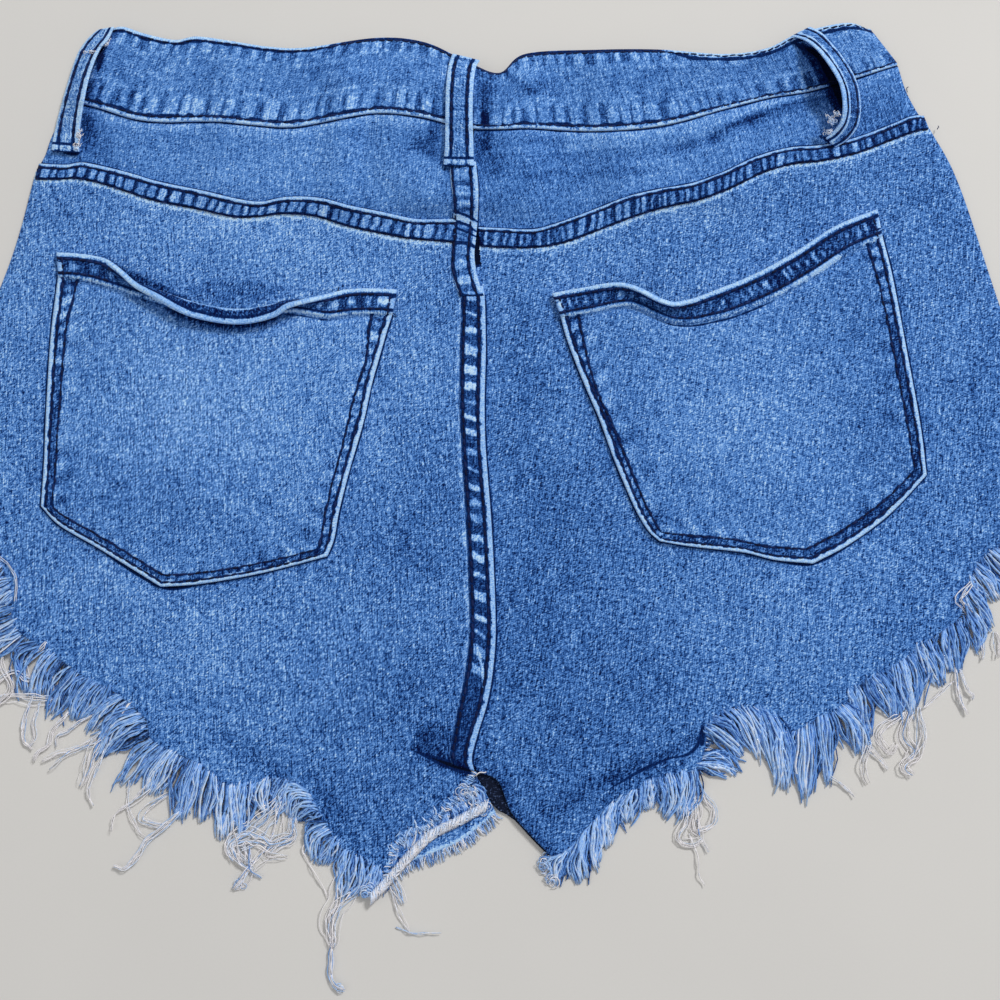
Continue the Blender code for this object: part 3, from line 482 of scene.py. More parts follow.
TUFTS_RIGHT = [
    (213, -3, 203, -12, 221, -15, 214, -25, 1.0, 1.8),
    (203, -12, 193, -19, 213, -25, 204, -32, 1.0, 2.0),
    (192, -19, 184, -24, 203, -33, 194, -37, 1.0, 2.4),
    (184, -25, 179, -32, 192, -37, 185, -41, 1.0, 2.4),
    (179, -33, 175, -39, 187, -48, 181, -54, 1.0, 2.2),
    (181, -46, 174, -48, 183, -58, 176, -58, 1.0, 1.2),
    (174, -48, 165, -53, 175, -65, 167, -67, 0.0, 2.2),
    (163, -54, 156, -58, 168, -71, 160, -71, 0.0, 2.4),
    (157, -59, 146, -66, 158, -77, 150, -84, 1.0, 3.0),
    (146, -66, 136, -70, 151, -84, 142, -82, 2.0, 2.8),
    (136, -71, 130, -74, 139, -92, 133, -86, 1.0, 2.2),
    (130, -78, 123, -82, 139, -94, 129, -97, 2.0, 2.4),
    (123, -82, 118, -83, 123, -104, 118, -109, 1.0, 2.2),
    (117, -86, 109, -89, 116, -112, 107, -110, 0.0, 2.4),
    (107, -89, 101, -87, 107, -110, 99, -106, 1.0, 2.0),
    (103, -82, 95, -80, 109, -104, 100, -107, 2.0, 2.6),
    (95, -80, 89, -80, 104, -97, 97, -99, 2.0, 2.4),
    (89, -80, 82, -82, 97, -98, 92, -96, 2.0, 2.6),
    (81, -83, 76, -89, 91, -93, 88, -99, 2.0, 3.0),
    (77, -97, 73, -102, 89, -101, 84, -106, 2.0, 0.9),
    (73, -102, 65, -104, 69, -119, 63, -119, 2.0, 2.0),
    (65, -104, 57, -106, 63, -119, 58, -118, 2.0, 2.0),
    (57, -106, 52, -108, 57, -115, 52, -117, 0.0, 1.4),
    (52, -109, 44, -113, 49, -120, 44, -121, -1.0, 1.8),
    (44, -113, 38, -117, 42, -128, 37, -130, -1.0, 1.6),
    (38, -118, 33, -122, 37, -135, 33, -137, -1.0, 1.8),
    (33, -123, 28, -128, 33, -140, 25, -142, -2.0, 1.8),
    (28, -129, 21, -134, 23, -143, 17, -140, -2.0, 1.6),
]
# Long loose yarns: how many, how far they spread and the way they lie.
LONG_YARNS = [
    (7, 0.8, [(-186, -57), (-187, -63), (-182, -72), (-186, -78), (-193, -79)]),
    (5, 0.8, [(-173, -58), (-178, -64), (-176, -70), (-183, -67), (-192, -75)]),
    (6, 1.0, [(-166, -67), (-166, -76), (-173, -77), (-182, -76), (-194, -78)]),
    (6, 0.5, [(-175, -77), (-177, -84), (-177, -91), (-173, -95)]),
    (4, 0.5, [(-172, -81), (-173, -85), (-172, -90), (-174, -94)]),
    (6, 0.5, [(-162, -83), (-166, -88), (-167, -93), (-171, -96), (-172, -99)]),
    (5, 0.5, [(-153, -83), (-160, -88), (-164, -90), (-164, -94)]),
    (4, 0.4, [(-149, -89), (-156, -94), (-163, -96), (-169, -99)]),
    (3, 0.4, [(-151, -93), (-159, -96), (-166, -102)]),
    (8, 1.0, [(-145, -87), (-151, -96), (-152, -102), (-154, -108)]),
    (4, 0.4, [(-146, -95), (-149, -103), (-151, -110), (-149, -115)]),
    (4, 0.4, [(-127, -104), (-135, -113), (-141, -118), (-142, -124)]),
    (4, 0.5, [(-128, -109), (-135, -114), (-139, -116)]),
    (3, 0.4, [(-136, -108), (-136, -115), (-132, -123), (-129, -126)]),
    (5, 0.8, [(-124, -112), (-129, -115), (-131, -120), (-124, -122), (-120, -121)]),
    (8, 0.5, [(-118, -118), (-123, -123), (-128, -127), (-131, -132), (-136, -137), (-140, -136)]),
    (4, 0.5, [(-99, -118), (-98, -124), (-96, -130), (-94, -135)]),
    (14, 1.9, [(-80, -112), (-83, -117), (-88, -122), (-91, -125), (-97, -128), (-94, -134), (-90, -137)]),
    (10, 1.9, [(-75, -120), (-76, -126), (-83, -129), (-88, -127), (-93, -126), (-98, -129), (-96, -134)]),
    (7, 1.3, [(-81, -116), (-82, -124), (-85, -130), (-90, -136), (-93, -141), (-96, -144)]),
    (4, 1.0, [(-76, -122), (-75, -126), (-80, -127), (-85, -132), (-81, -133), (-77, -133)]),
    (4, 0.5, [(-91, -132), (-90, -138), (-86, -140)]),
    (9, 0.5, [(-91, -137), (-93, -140), (-96, -144)]),
    (2, 0.2, [(-70, -127), (-72, -130), (-70, -134), (-66, -140), (-63, -145), (-62, -147)]),
    (8, 1.4, [(-59, -141), (-60, -148), (-63, -153), (-63, -158), (-60, -164)]),
    (8, 1.4, [(-54, -147), (-58, -150), (-59, -156), (-59, -161), (-60, -164)]),
    (9, 0.4, [(-60, -164), (-60, -168), (-60, -174), (-58, -177), (-55, -178)]),
    (8, 1.1, [(-38, -141), (-36, -145), (-35, -149)]),
    (3, 0.4, [(-39, -144), (-37, -150), (-34, -156), (-32, -159)]),
    (2, 0.2, [(-34, -158), (-31, -159), (-25, -159), (-21, -159)]),
    (9, 1.1, [(71, -111), (72, -116), (71, -122), (73, -125)]),
    (5, 0.8, [(75, -111), (78, -116), (78, -121), (72, -124)]),
    (6, 1.0, [(69, -113), (69, -120), (66, -126), (70, -128), (73, -126)]),
    (3, 0.4, [(73, -123), (74, -127), (76, -131)]),
    (2, 0.1, [(70, -128), (72, -134), (72, -139), (74, -143)]),
    (5, 0.8, [(107, -92), (109, -98), (113, -99), (117, -93)]),
    (3, 0.4, [(122, -105), (126, -108), (130, -112)]),
    (4, 0.5, [(136, -94), (134, -99), (134, -103), (135, -107)]),
    (4, 0.4, [(137, -95), (140, -98), (143, -102)]),
    (6, 1.1, [(148, -83), (143, -86), (140, -90), (144, -96), (147, -93)]),
    (7, 1.3, [(152, -83), (150, -90), (153, -96), (149, -101), (152, -104)]),
    (6, 1.0, [(156, -83), (156, -90), (154, -96), (150, -99)]),
    (3, 0.4, [(167, -72), (162, -76), (157, -80)]),
    (5, 0.4, [(171, -67), (171, -74), (173, -80), (174, -82)]),
    (5, 0.4, [(173, -67), (175, -73), (177, -75), (176, -77)]),
    (4, 0.4, [(182, -57), (182, -60), (181, -62)]),
    (5, 0.5, [(187, -55), (187, -58), (187, -61)]),
    (6, 0.8, [(178, -34), (174, -39), (176, -42), (179, -47)]),
    (3, 0.2, [(-193, -22), (-187, -27), (-184, -33), (-184, -40)]),
]

# Belt loops: sections from the top end down; rise is over the cloth below.
#        x_left  y_left  rise_left  x_right  y_right  rise_right
LOOP_BACK_CENTER = [
    (-20.0, 190.6, 0.3, -8.4, 187.4, 0.3),
    (-21.4, 186.0, 0.6, -9.9, 184.6, 0.7),
    (-22.2, 180.0, 0.9, -10.8, 179.4, 1.0),
    (-22.7, 171.0, 0.9, -11.3, 170.6, 1.1),
    (-22.7, 160.0, 0.8, -11.3, 159.6, 1.0),
    (-22.7, 150.0, 1.2, -11.0, 150.0, 1.5),
    (-23.1, 143.0, 0.5, -10.8, 142.8, 0.5),
    (-23.3, 139.4, 0.1, -10.5, 138.9, 0.1),
]
LOOP_BACK_LEFT = [
    (-169.6, 201.8, -0.4, -163.0, 203.2, 0.6),
    (-173.6, 197.8, -0.6, -165.0, 197.4, 1.2),
    (-177.6, 190.4, -0.9, -168.6, 191.6, 3.0),
    (-180.4, 178.0, -1.4, -172.0, 179.4, 4.0),
    (-183.0, 164.0, -0.9, -173.6, 165.0, 4.2),
    (-184.4, 154.0, 0.0, -174.0, 153.8, 2.8),
    (-185.0, 148.6, 0.1, -173.6, 147.8, 0.9),
    (-185.0, 145.8, 0.0, -173.4, 145.2, 0.2),
]
LOOP_BACK_RIGHT = [
    (122.6, 198.6, 0.4, 131.0, 203.2, 0.2),
    (127.8, 197.0, 2.6, 135.4, 200.6, 0.3),
    (133.0, 192.8, 6.4, 139.4, 195.6, 0.4),
    (138.2, 185.0, 9.2, 144.6, 187.6, 0.8),
    (142.0, 176.2, 10.2, 148.8, 178.2, 1.3),
    (142.8, 166.8, 9.8, 150.0, 167.8, 1.6),
    (141.4, 159.6, 7.4, 148.4, 157.8, 1.4),
    (137.8, 154.4, 4.2, 143.6, 151.2, 0.6),
    (134.6, 151.8, 2.2, 138.4, 147.6, 0.2),
]
FRONT_LOOPS = {
    "left": (-88.5, 178.5, -92.5, 137.0),
    "right": (68.5, 176.5, 72.5, 135.5),
}
BUTTON = (-20.5, 150.8)


# ---------------------------------------------------------------- curves and noise
def smooth_curve(rows, steps=24):
    """Points of a Catmull-Rom curve through the rows, any number of columns."""
    p = np.array(rows, float)
    if len(p) == 2:
        return np.linspace(p[0], p[1], steps)
    ends = np.vstack([2 * p[0] - p[1], p, 2 * p[-1] - p[-2]])
    t = np.linspace(0, 1, steps, endpoint=False)[:, None]
    parts = []
    for a, b, c, d in zip(ends, ends[1:], ends[2:], ends[3:]):
        parts.append(0.5 * (2 * b + (c - a) * t + (2 * a - 5 * b + 4 * c - d) * t**2 + (3 * b - a - 3 * c + d) * t**3))
    return np.vstack(parts + [p[-1:]])


def ease(t):
    t = np.clip(t, 0, 1)
    return t * t * (3 - 2 * t)


def plateau(d, half, fade):
    return ease(1 - (np.abs(d) - half) / fade)


def quarter(d, radius):
    """Rise of a quarter circle: 0 at an edge, 1 from radius inwards."""
    return np.sqrt(np.clip(1 - (1 - np.clip(d / radius, 0, 1)) ** 2, 0, 1))


class Line:
    """A plan curve read by its share of length."""

    def __init__(self, rows, steps=16, smooth=True):
        p = smooth_curve(rows, steps) if smooth else np.array(rows, float)
        keep = np.concatenate([[True], np.hypot(*np.diff(p[:, :2], axis=0).T) > 1e-6])
        self.rows = p[keep]
        self.p = self.rows[:, :2]
        self.len = np.hypot(*np.diff(self.p, axis=0).T)
        self.run = np.concatenate([[0], np.cumsum(self.len)])
        self.total = self.run[-1]

    def at(self, share, columns=(0, 1)):
        s = np.asarray(share) * self.total
        return np.stack([np.interp(s, self.run, self.rows[:, k]) for k in columns], -1)

    def left(self, share):
        """Unit normal to the left of the running direction."""
        e = 0.6 / self.total
        d = self.at(np.clip(np.asarray(share) + e, 0, 1)) - self.at(np.clip(np.asarray(share) - e, 0, 1))
        d = d / np.maximum(np.linalg.norm(d, axis=-1, keepdims=True), 1e-9)
        return np.stack([-d[..., 1], d[..., 0]], -1)

    def near(self, x, y):
        """Signed distance, positive to the left, and the run of the nearest point."""
        shape = np.broadcast(x, y).shape
        q = np.stack([np.broadcast_to(x, shape).ravel(), np.broadcast_to(y, shape).ravel()], -1)
        best, run, side = np.full(len(q), 1e9), np.zeros(len(q)), np.ones(len(q))
        for k, (a, b) in enumerate(zip(self.p, self.p[1:])):
            d, w = b - a, q - a
            t = np.clip((w @ d) / (d @ d), 0, 1)
            off = np.hypot(w[:, 0] - t * d[0], w[:, 1] - t * d[1])
            hit = off < best
            best[hit] = off[hit]
            run[hit] = self.run[k] + t[hit] * self.len[k]
            side[hit] = np.where(d[0] * w[hit, 1] - d[1] * w[hit, 0] < 0, -1.0, 1.0)
        return (best * side).reshape(shape), run.reshape(shape)


def chained(*parts):
    """One Line from curves that share their end points."""
    curves = [smooth_curve(p, 16) for p in parts]
    return Line(np.vstack([curves[0]] + [c[1:] for c in curves[1:]]), smooth=False)


def graded(length, coarse, start=0.3, end=0.3, growth=1.5, fine=0.55, margins=(0.0, 0.0)):
    """Shares of a length, closer together at its two ends and fine within the margins (mm) there."""

    def ramp(step, margin):
        out = [0.0]
        while step < coarse or out[-1] < margin:
            out.append(out[-1] + step)
            step = min(step * growth, fine) if out[-1] < margin else step * growth
        return np.array(out)

    a, b = ramp(start, margins[0]), ramp(end, margins[1])
    n = max(1, int(round((length - a[-1] - b[-1]) / coarse)))
    m = np.linspace(a[-1], length - b[-1], n + 1)
    return np.concatenate([a, m[1:-1], (length - b)[::-1]]) / length


def coons(top, bottom, left, right, u, v):
    """Plan grid between four Lines: top and bottom run from left to right, the others down."""
    t, b, l, r = top.at(u), bottom.at(u), left.at(v), right.at(v)
    u, v = u[None, :, None], v[:, None, None]
    return (
        (1 - v) * t[None] + v * b[None] + (1 - u) * l[:, None] + u * r[:, None]
        - (1 - u) * (1 - v) * t[0] - u * (1 - v) * t[-1] - (1 - u) * v * b[0] - u * v * b[-1]
    )


def wobble(s, pitch, seed):
    """Smooth irregular curve between -1 and 1, its values pitch apart."""
    r = np.random.default_rng(seed).uniform(-1, 1, 997)
    k = np.asarray(s, float) / pitch + 500
    i = np.floor(k).astype(int)
    f = ease(k - i)
    return r[i % 997] * (1 - f) + r[(i + 1) % 997] * f


def mottle(x, y, pitch, seed):
    """The same over the plan."""
    r = np.random.default_rng(seed).uniform(-1, 1, (199, 199))
    kx, ky = x / pitch + 400, y / pitch + 400
    i, j = np.floor(kx).astype(int), np.floor(ky).astype(int)
    fx, fy = ease(kx - i), ease(ky - j)
    i0, i1, j0, j1 = i % 199, (i + 1) % 199, j % 199, (j + 1) % 199
    return (r[i0, j0] * (1 - fx) + r[i1, j0] * fx) * (1 - fy) + (r[i0, j1] * (1 - fx) + r[i1, j1] * fx) * fy


def bars(s, light, dark, seed, level=(0.35, 1.0)):
    """Uneven bars along a seam: positive on the worn ones, negative between.

    light and dark are (shortest, longest) in mm.
    """
    rng = np.random.default_rng(seed)
    at, value, run = [0.0], [-1.0], 0.0
    while run < 420:
        w = rng.uniform(*dark)
        value += [-rng.uniform(0.6, 1.0)] * 2
        at += [run + 0.25, run + w - 0.25]
        run += w
        w = rng.uniform(*light)
        value += [rng.uniform(*level)] * 2
        at += [run + 0.25, run + w - 0.25]
        run += w
    return np.interp(s, at, value)


# ---------------------------------------------------------------- heights
def front_line(x, columns):
    rows = smooth_curve(FRONT_BAND)
    return np.interp(x, rows[:, columns[0]], rows[:, columns[1]])


def front_rise(x, y, spread=0.0, inner=False):
    """How far what lies under the front layer lifts it."""
    rise = np.zeros(np.broadcast(x, y).shape)
    spread_y = min(spread, 6.0)
    for x_top, y_top, x_low, y_low in FRONT_LOOPS.values():
        middle = x_top + (x_low - x_top) * (y - y_top) / (y_low - y_top)
        over = plateau(x - middle, LOOP_WIDTH / 2 + 1.5 + spread, 16) * plateau(y - (y_top + y_low) / 2, (y_top - y_low) / 2 + 1.5 + spread_y, 14)
        rise = np.maximum(rise, (LOOP + GAP) * over)
    over = plateau(np.hypot(x - BUTTON[0], y - BUTTON[1]), BUTTON_RADIUS + 1.5 + spread, 14)
    rise = np.maximum(rise, (BUTTON_HEIGHT + GAP) * over)
    if inner:
        low, high = FRONT_CENTRE - LAP_UNDER, FRONT_CENTRE + LAP_OVER
        over = plateau(x - (low + high) / 2, (high - low) / 2 + 1.0 + spread, 16) * plateau(y - 151, 20 + spread_y, 12)
        rise = rise + (BAND + GAP) * over
    return rise


def back_low(x, y):
    """Underside of the back layer over the front one."""
    band_top, band_seam = front_line(x, (0, 1)), front_line(x, (2, 3))
    middle, half = (band_top + band_seam) / 2, (band_top - band_seam) / 2
    low = CLOTH + GAP + (BAND - CLOTH) * plateau(y - middle, half + 15, 22)
    low = low + front_rise(x, y, 15.0, inner=True)
    low = low - 0.6 * ease((y - band_top - 14) / 16) * plateau(x + 10, 40, 60)
    for x0, y0, x1, y1, half_width, height in RIDGES:
        low = low + height * ease(1 - off_line(x, y, x0, y0, x1, y1)[0] / (2 * half_width))
    return low


def off_line(x, y, x0, y0, x1, y1):
    """Distance from a straight stretch, with round ends, and the run along it."""
    length = math.hypot(x1 - x0, y1 - y0)
    dx, dy = (x1 - x0) / length, (y1 - y0) / length
    run = (x - x0) * dx + (y - y0) * dy
    off = (x - x0) * -dy + (y - y0) * dx
    past = np.maximum(np.maximum(-run, run - length), 0)
    return np.hypot(off, past), run


FOLD_LEFT = np.vstack([smooth_curve([BACK_BAND[0][:2], BACK_BAND[0][2:]]), smooth_curve(SIDE_LEFT_YOKE)[1:], smooth_curve(SIDE_LEFT)[1:], [(-214.6, -24.0)]])
FOLD_RIGHT = np.vstack([smooth_curve([BACK_BAND[-1][:2], BACK_BAND[-1][2:]]), smooth_curve(SIDE_RIGHT_YOKE)[1:], smooth_curve(SIDE_RIGHT)[1:], [(215.0, -28.0)]])


def inside_folds(x, y):
    """Distance inside the nearer side fold."""
    left = np.interp(y, FOLD_LEFT[::-1, 1], FOLD_LEFT[::-1, 0])
    right = np.interp(y, FOLD_RIGHT[::-1, 1], FOLD_RIGHT[::-1, 0])
    return 0.97 * np.minimum(x - left, right - x)


def crease_height(x, y):
    z = np.zeros(np.broadcast(x, y).shape)
    for x0, y0, x1, y1, width, height, _ in CREASES:
        off, _run = off_line(x, y, x0, y0, x1, y1)
        z = z + height * ease(1 - off / (1.6 * width))
    return z


def rolled(x, y, z, edge_z):
    """Brings a height down to edge_z round the side folds."""
    f = quarter(inside_folds(x, y), FOLD_RADIUS)
    return edge_z + (z - edge_z) * f


def surface(x, y):
    """Upper side of the yokes and the back panels."""
    x, y = np.asarray(x, float), np.asarray(y, float)
    z = back_low(x, y) + CLOTH + crease_height(x, y)
    z = z + 0.30 * mottle(x, y, 34, 11) + 0.14 * mottle(x, y, 13, 12) + 0.05 * mottle(x, y, 5.5, 13)
    return rolled(x, y, np.maximum(z, 2.35), 1.4)


def wash_and_shade(x, y):
    """Large light and dark areas: washed-out dye and painted shade, with the painted shade and painted light of the
    creases.
    """
    t = 0.028 * mottle(x, y, 26, 21) + 0.026 * mottle(x, y, 9, 22) + 0.014 * mottle(x, y, 4, 23)
    for cx, cy, rx, ry, turn, tone in WASH_AND_SHADE:
        a = math.radians(turn)
        u = ((x - cx) * math.cos(a) + (y - cy) * math.sin(a)) / rx
        v = (-(x - cx) * math.sin(a) + (y - cy) * math.cos(a)) / ry
        t = t + tone * np.exp(-(u * u + v * v))
    for x0, y0, x1, y1, width, _, tone in CREASES:
        off, _run = off_line(x, y, x0, y0, x1, y1)
        t = t + tone * ease(1 - off / (1.25 * width))
    return t


def lean(p):
    """Moves points of other heights so that each lies where the plan was measured."""
    eye = np.array(EYE)
    k = (eye[2] - p[..., 2]) / (eye[2] - PLAN_HEIGHT)
    out = p.copy()
    out[..., 0] = eye[0] + (p[..., 0] - eye[0]) * k
    out[..., 1] = eye[1] + (p[..., 1] - eye[1]) * k
    return out


def add_mesh(name, points, faces, material, replaces=(), slot="denim", quads=True, **attrs):
    """A piece from points in mm and an array of faces; attrs are one value a point."""
    p = lean(np.asarray(points, float))
    p = (p - (ORIGIN[0], ORIGIN[1], 0.0)) / 1000.0
    mesh = bpy.data.meshes.new(name)
    size = faces.shape[1]
    mesh.vertices.add(len(p))
    mesh.vertices.foreach_set("co", p.astype(np.float32).ravel())
    mesh.loops.add(faces.size)
    mesh.loops.foreach_set("vertex_index", faces.astype(np.int32).ravel())
    mesh.polygons.add(len(faces))
    mesh.polygons.foreach_set("loop_start", np.arange(0, faces.size, size, dtype=np.int32))
    mesh.update(calc_edges=True)
    mesh.validate()
    mesh.shade_smooth()
    for key, values in attrs.items():
        values = np.asarray(values, np.float32)
        if values.ndim == 2:
            mesh.attributes.new(key, "FLOAT_VECTOR", "POINT").data.foreach_set("vector", values.ravel())
        else:
            mesh.attributes.new(key, "FLOAT", "POINT").data.foreach_set("value", values.ravel())
    mesh.materials.append(material)
    piece = bpy.data.objects.new(name, mesh)
    bpy.context.scene.collection.objects.link(piece)
    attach(piece, "root")
    if replaces:
        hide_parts(*replaces)
    return piece


def normals_of(mid):
    """Unit normals of a grid of points, pointing to the side where its middle looks up."""
    n = np.cross(np.gradient(mid, axis=1), np.gradient(mid, axis=0))
    n /= np.maximum(np.linalg.norm(n, axis=2, keepdims=True), 1e-9)
    sign = 1.0 if np.median(n[..., 2]) > 0 else -1.0
    return n * sign, sign


def border_runs(mid):
    """Distances of each grid point from the four borders, along the grid."""
    du = np.linalg.norm(np.diff(mid, axis=1), axis=2)
    dv = np.linalg.norm(np.diff(mid, axis=0), axis=2)
    left = np.concatenate([np.zeros((mid.shape[0], 1)), np.cumsum(du, axis=1)], axis=1)
    top = np.concatenate([np.zeros((1, mid.shape[1])), np.cumsum(dv, axis=0)], axis=0)
    return {"left": left, "right": left[:, -1:] - left, "top": top, "bottom": top[-1:] - top}


def shell(name, mid, thick, material, replaces=(), slot="denim", rounding=0.6, low=None, flip=False, **attrs):
    """A closed ply round a grid of mid points. attrs are grids, and low those of the lower side where it differs."""
    rows, cols = mid.shape[:2]
    normal, sign = normals_of(mid)
    if flip:
        normal, sign = -normal, -sign
    runs = border_runs(mid)
    edge = np.minimum.reduce(list(runs.values()))
    half = np.broadcast_to(thick, (rows, cols)) / 2 * quarter(edge, rounding)
    upper, lower = mid + normal * half[..., None], mid - normal * half[..., None]
    index = np.arange(rows * cols).reshape(rows, cols)
    under = index.copy()
    under[1:-1, 1:-1] = rows * cols + np.arange((rows - 2) * (cols - 2)).reshape(rows - 2, cols - 2)

    def quads(g, up):
        f = np.stack([g[:-1, :-1], g[:-1, 1:], g[1:, 1:], g[1:, :-1]], -1).reshape(-1, 4)
        return f if up else f[:, ::-1]

    faces = np.vstack([quads(index, sign > 0), quads(under, sign < 0)])
    points = np.vstack([upper.reshape(-1, 3), lower[1:-1, 1:-1].reshape(-1, 3)])
    attrs.setdefault("inner", np.zeros((rows, cols)))
    low = {"inner": np.ones((rows, cols)), **(low or {})}
    both = {}
    for key, grid in attrs.items():
        top = np.asarray(grid, float).reshape(rows * cols, -1)
        bottom = np.asarray(low.get(key, grid), float).reshape(rows, cols, -1)[1:-1, 1:-1].reshape(-1, top.shape[1])
        both[key] = np.vstack([top, bottom])
        if top.shape[1] == 1:
            both[key] = both[key][:, 0]
    add_mesh(name, points, faces, material, replaces, slot, **both)
    return upper, lower, runs, normal


def tubes(paths, radius, sides, phase=0.0):
    """Points, faces and (path, share) of thin tubes along paths (N, K, 3)."""
    n, k = paths.shape[:2]
    radius = np.broadcast_to(radius, (n, k))
    run = np.gradient(paths, axis=1)
    run /= np.maximum(np.linalg.norm(run, axis=2, keepdims=True), 1e-9)
    side = np.cross(run, np.array([0.0, 0.0, 1.0]))
    weak = np.linalg.norm(side, axis=2) < 0.05
    side[weak] = np.array([1.0, 0.0, 0.0])
    side /= np.linalg.norm(side, axis=2, keepdims=True)
    up = np.cross(side, run)
    a = phase + np.linspace(0, 2 * math.pi, sides, endpoint=False)
    ring = side[:, :, None] * np.cos(a)[:, None] + up[:, :, None] * np.sin(a)[:, None]
    points = (paths[:, :, None] + ring * radius[:, :, None, None]).reshape(-1, 3)
    base = (np.arange(n)[:, None, None] * k + np.arange(k - 1)[None, :, None]) * sides
    j = np.arange(sides)[None, None]
    j1 = (j + 1) % sides
    faces = np.stack([base + j, base + sides + j, base + sides + j1, base + j1], -1).reshape(-1, 4)
    return points, faces, np.repeat(np.arange(n), k * sides), np.tile(np.repeat(np.linspace(0, 1, k), sides), n)


# ---------------------------------------------------------------- finishes
def srgb(r, g, b):
    return tuple(c / 255 / 12.92 if c / 255 <= 0.04045 else ((c / 255 + 0.055) / 1.055) ** 2.4 for c in (r, g, b)) + (1.0,)


class Finish:
    """A node material while it is put together."""

    def __init__(self, name, roughness, sheen=0.0, specular=0.3, metallic=0.0):
        self.mat = bpy.data.materials.new(name)
        self.mat.use_nodes = True
        self.tree = self.mat.node_tree
        self.shader = self.tree.nodes["Principled BSDF"]
        self.shader.inputs["Roughness"].default_value = roughness
        self.shader.inputs["Sheen Weight"].default_value = sheen
        self.shader.inputs["Sheen Roughness"].default_value = 0.5
        self.shader.inputs["Specular IOR Level"].default_value = specular
        self.shader.inputs["Metallic"].default_value = metallic

    def node(self, kind, **settings):
        made = self.tree.nodes.new(kind)
        for key, value in settings.items():
            setattr(made, key, value)
        return made

    def wire(self, value, socket):
        if isinstance(value, bpy.types.NodeSocket):
            self.tree.links.new(value, socket)
        else:
            socket.default_value = value

    def math(self, operation, *values, clamp=False):
        n = self.node("ShaderNodeMath", operation=operation, use_clamp=clamp)
        for value, socket in zip(values, n.inputs):
            self.wire(value, socket)
        return n.outputs[0]

    def vector(self, operation, *values):
        n = self.node("ShaderNodeVectorMath", operation=operation)
        for value, socket in zip(values, n.inputs):
            self.wire(value, socket)
        return n.outputs[0]

    def attribute(self, name):
        return self.node("ShaderNodeAttribute", attribute_name=name)

    def split(self, vector):
        n = self.node("ShaderNodeSeparateXYZ")
        self.wire(vector, n.inputs[0])
        return n.outputs

    def turned(self, vector, degrees):
        n = self.node("ShaderNodeVectorRotate", rotation_type="Z_AXIS")
        self.wire(vector, n.inputs["Vector"])
        n.inputs["Angle"].default_value = math.radians(degrees)
        return n.outputs[0]

    def noise(self, where, size, seed, detail=2.0, rough=0.5):
        """Noise about 0 whose features are size (mm) long each way."""
        scaled = self.vector("MULTIPLY_ADD", where, (1 / size[0], 1 / size[1], 0.0), (17.31 * seed, 5.77 * seed, 0.0))
        n = self.node("ShaderNodeTexNoise", noise_dimensions="2D")
        self.wire(scaled, n.inputs["Vector"])
        n.inputs["Scale"].default_value = 1.0
        n.inputs["Detail"].default_value = detail
        n.inputs["Roughness"].default_value = rough
        return self.math("SUBTRACT", n.outputs[0], 0.5)

    def total(self, start, *terms):
        """start plus each value times its weight."""
        out = start
        for value, weight in terms:
            out = self.math("MULTIPLY_ADD", value, weight, out)
        return out

    def step(self, value, low, high):
        n = self.node("ShaderNodeMapRange", interpolation_type="SMOOTHSTEP")
        self.wire(value, n.inputs["Value"])
        n.inputs["From Min"].default_value = low
        n.inputs["From Max"].default_value = high
        return n.outputs["Result"]

    def mixed(self, share, a, b):
        n = self.node("ShaderNodeMix", data_type="FLOAT")
        for value, socket in zip((share, a, b), (n.inputs[0], n.inputs[2], n.inputs[3])):
            self.wire(value, socket)
        return n.outputs[0]

    def mixed_colours(self, share, a, b):
        n = self.node("ShaderNodeMix", data_type="RGBA")
        for value, socket in zip((share, a, b), (n.inputs[0], n.inputs[6], n.inputs[7])):
            self.wire(value, socket)
        return n.outputs[2]

    def ramp(self, value, stops):
        n = self.node("ShaderNodeValToRGB")
        self.wire(value, n.inputs[0])
        band = n.color_ramp
        while len(band.elements) < len(stops):
            band.elements.new(0.5)
        for element, (place, colour) in zip(band.elements, stops):
            element.position = place
            element.color = srgb(*colour)
        return n.outputs[0]

    def bump(self, height, strength, distance):
        n = self.node("ShaderNodeBump")
        n.inputs["Strength"].default_value = strength
        n.inputs["Distance"].default_value = distance
        self.wire(height, n.inputs["Height"])
        self.wire(n.outputs[0], self.shader.inputs["Normal"])


DYE = [
    (0.0, (2, 13, 60)), (0.16, (9, 42, 98)), (0.34, (39, 83, 151)), (0.52, (72, 124, 197)),
    (0.70, (106, 158, 228)), (0.86, (152, 197, 252)), (1.0, (196, 228, 255)),
]
SHADE = [(0.0, (4, 9, 26)), (1.0, (14, 24, 54))]
REVERSE = [(0.0, (20, 27, 46)), (0.12, (50, 66, 102)), (0.45, (128, 148, 184)), (0.75, (176, 191, 216)), (1.0, (222, 228, 238))]


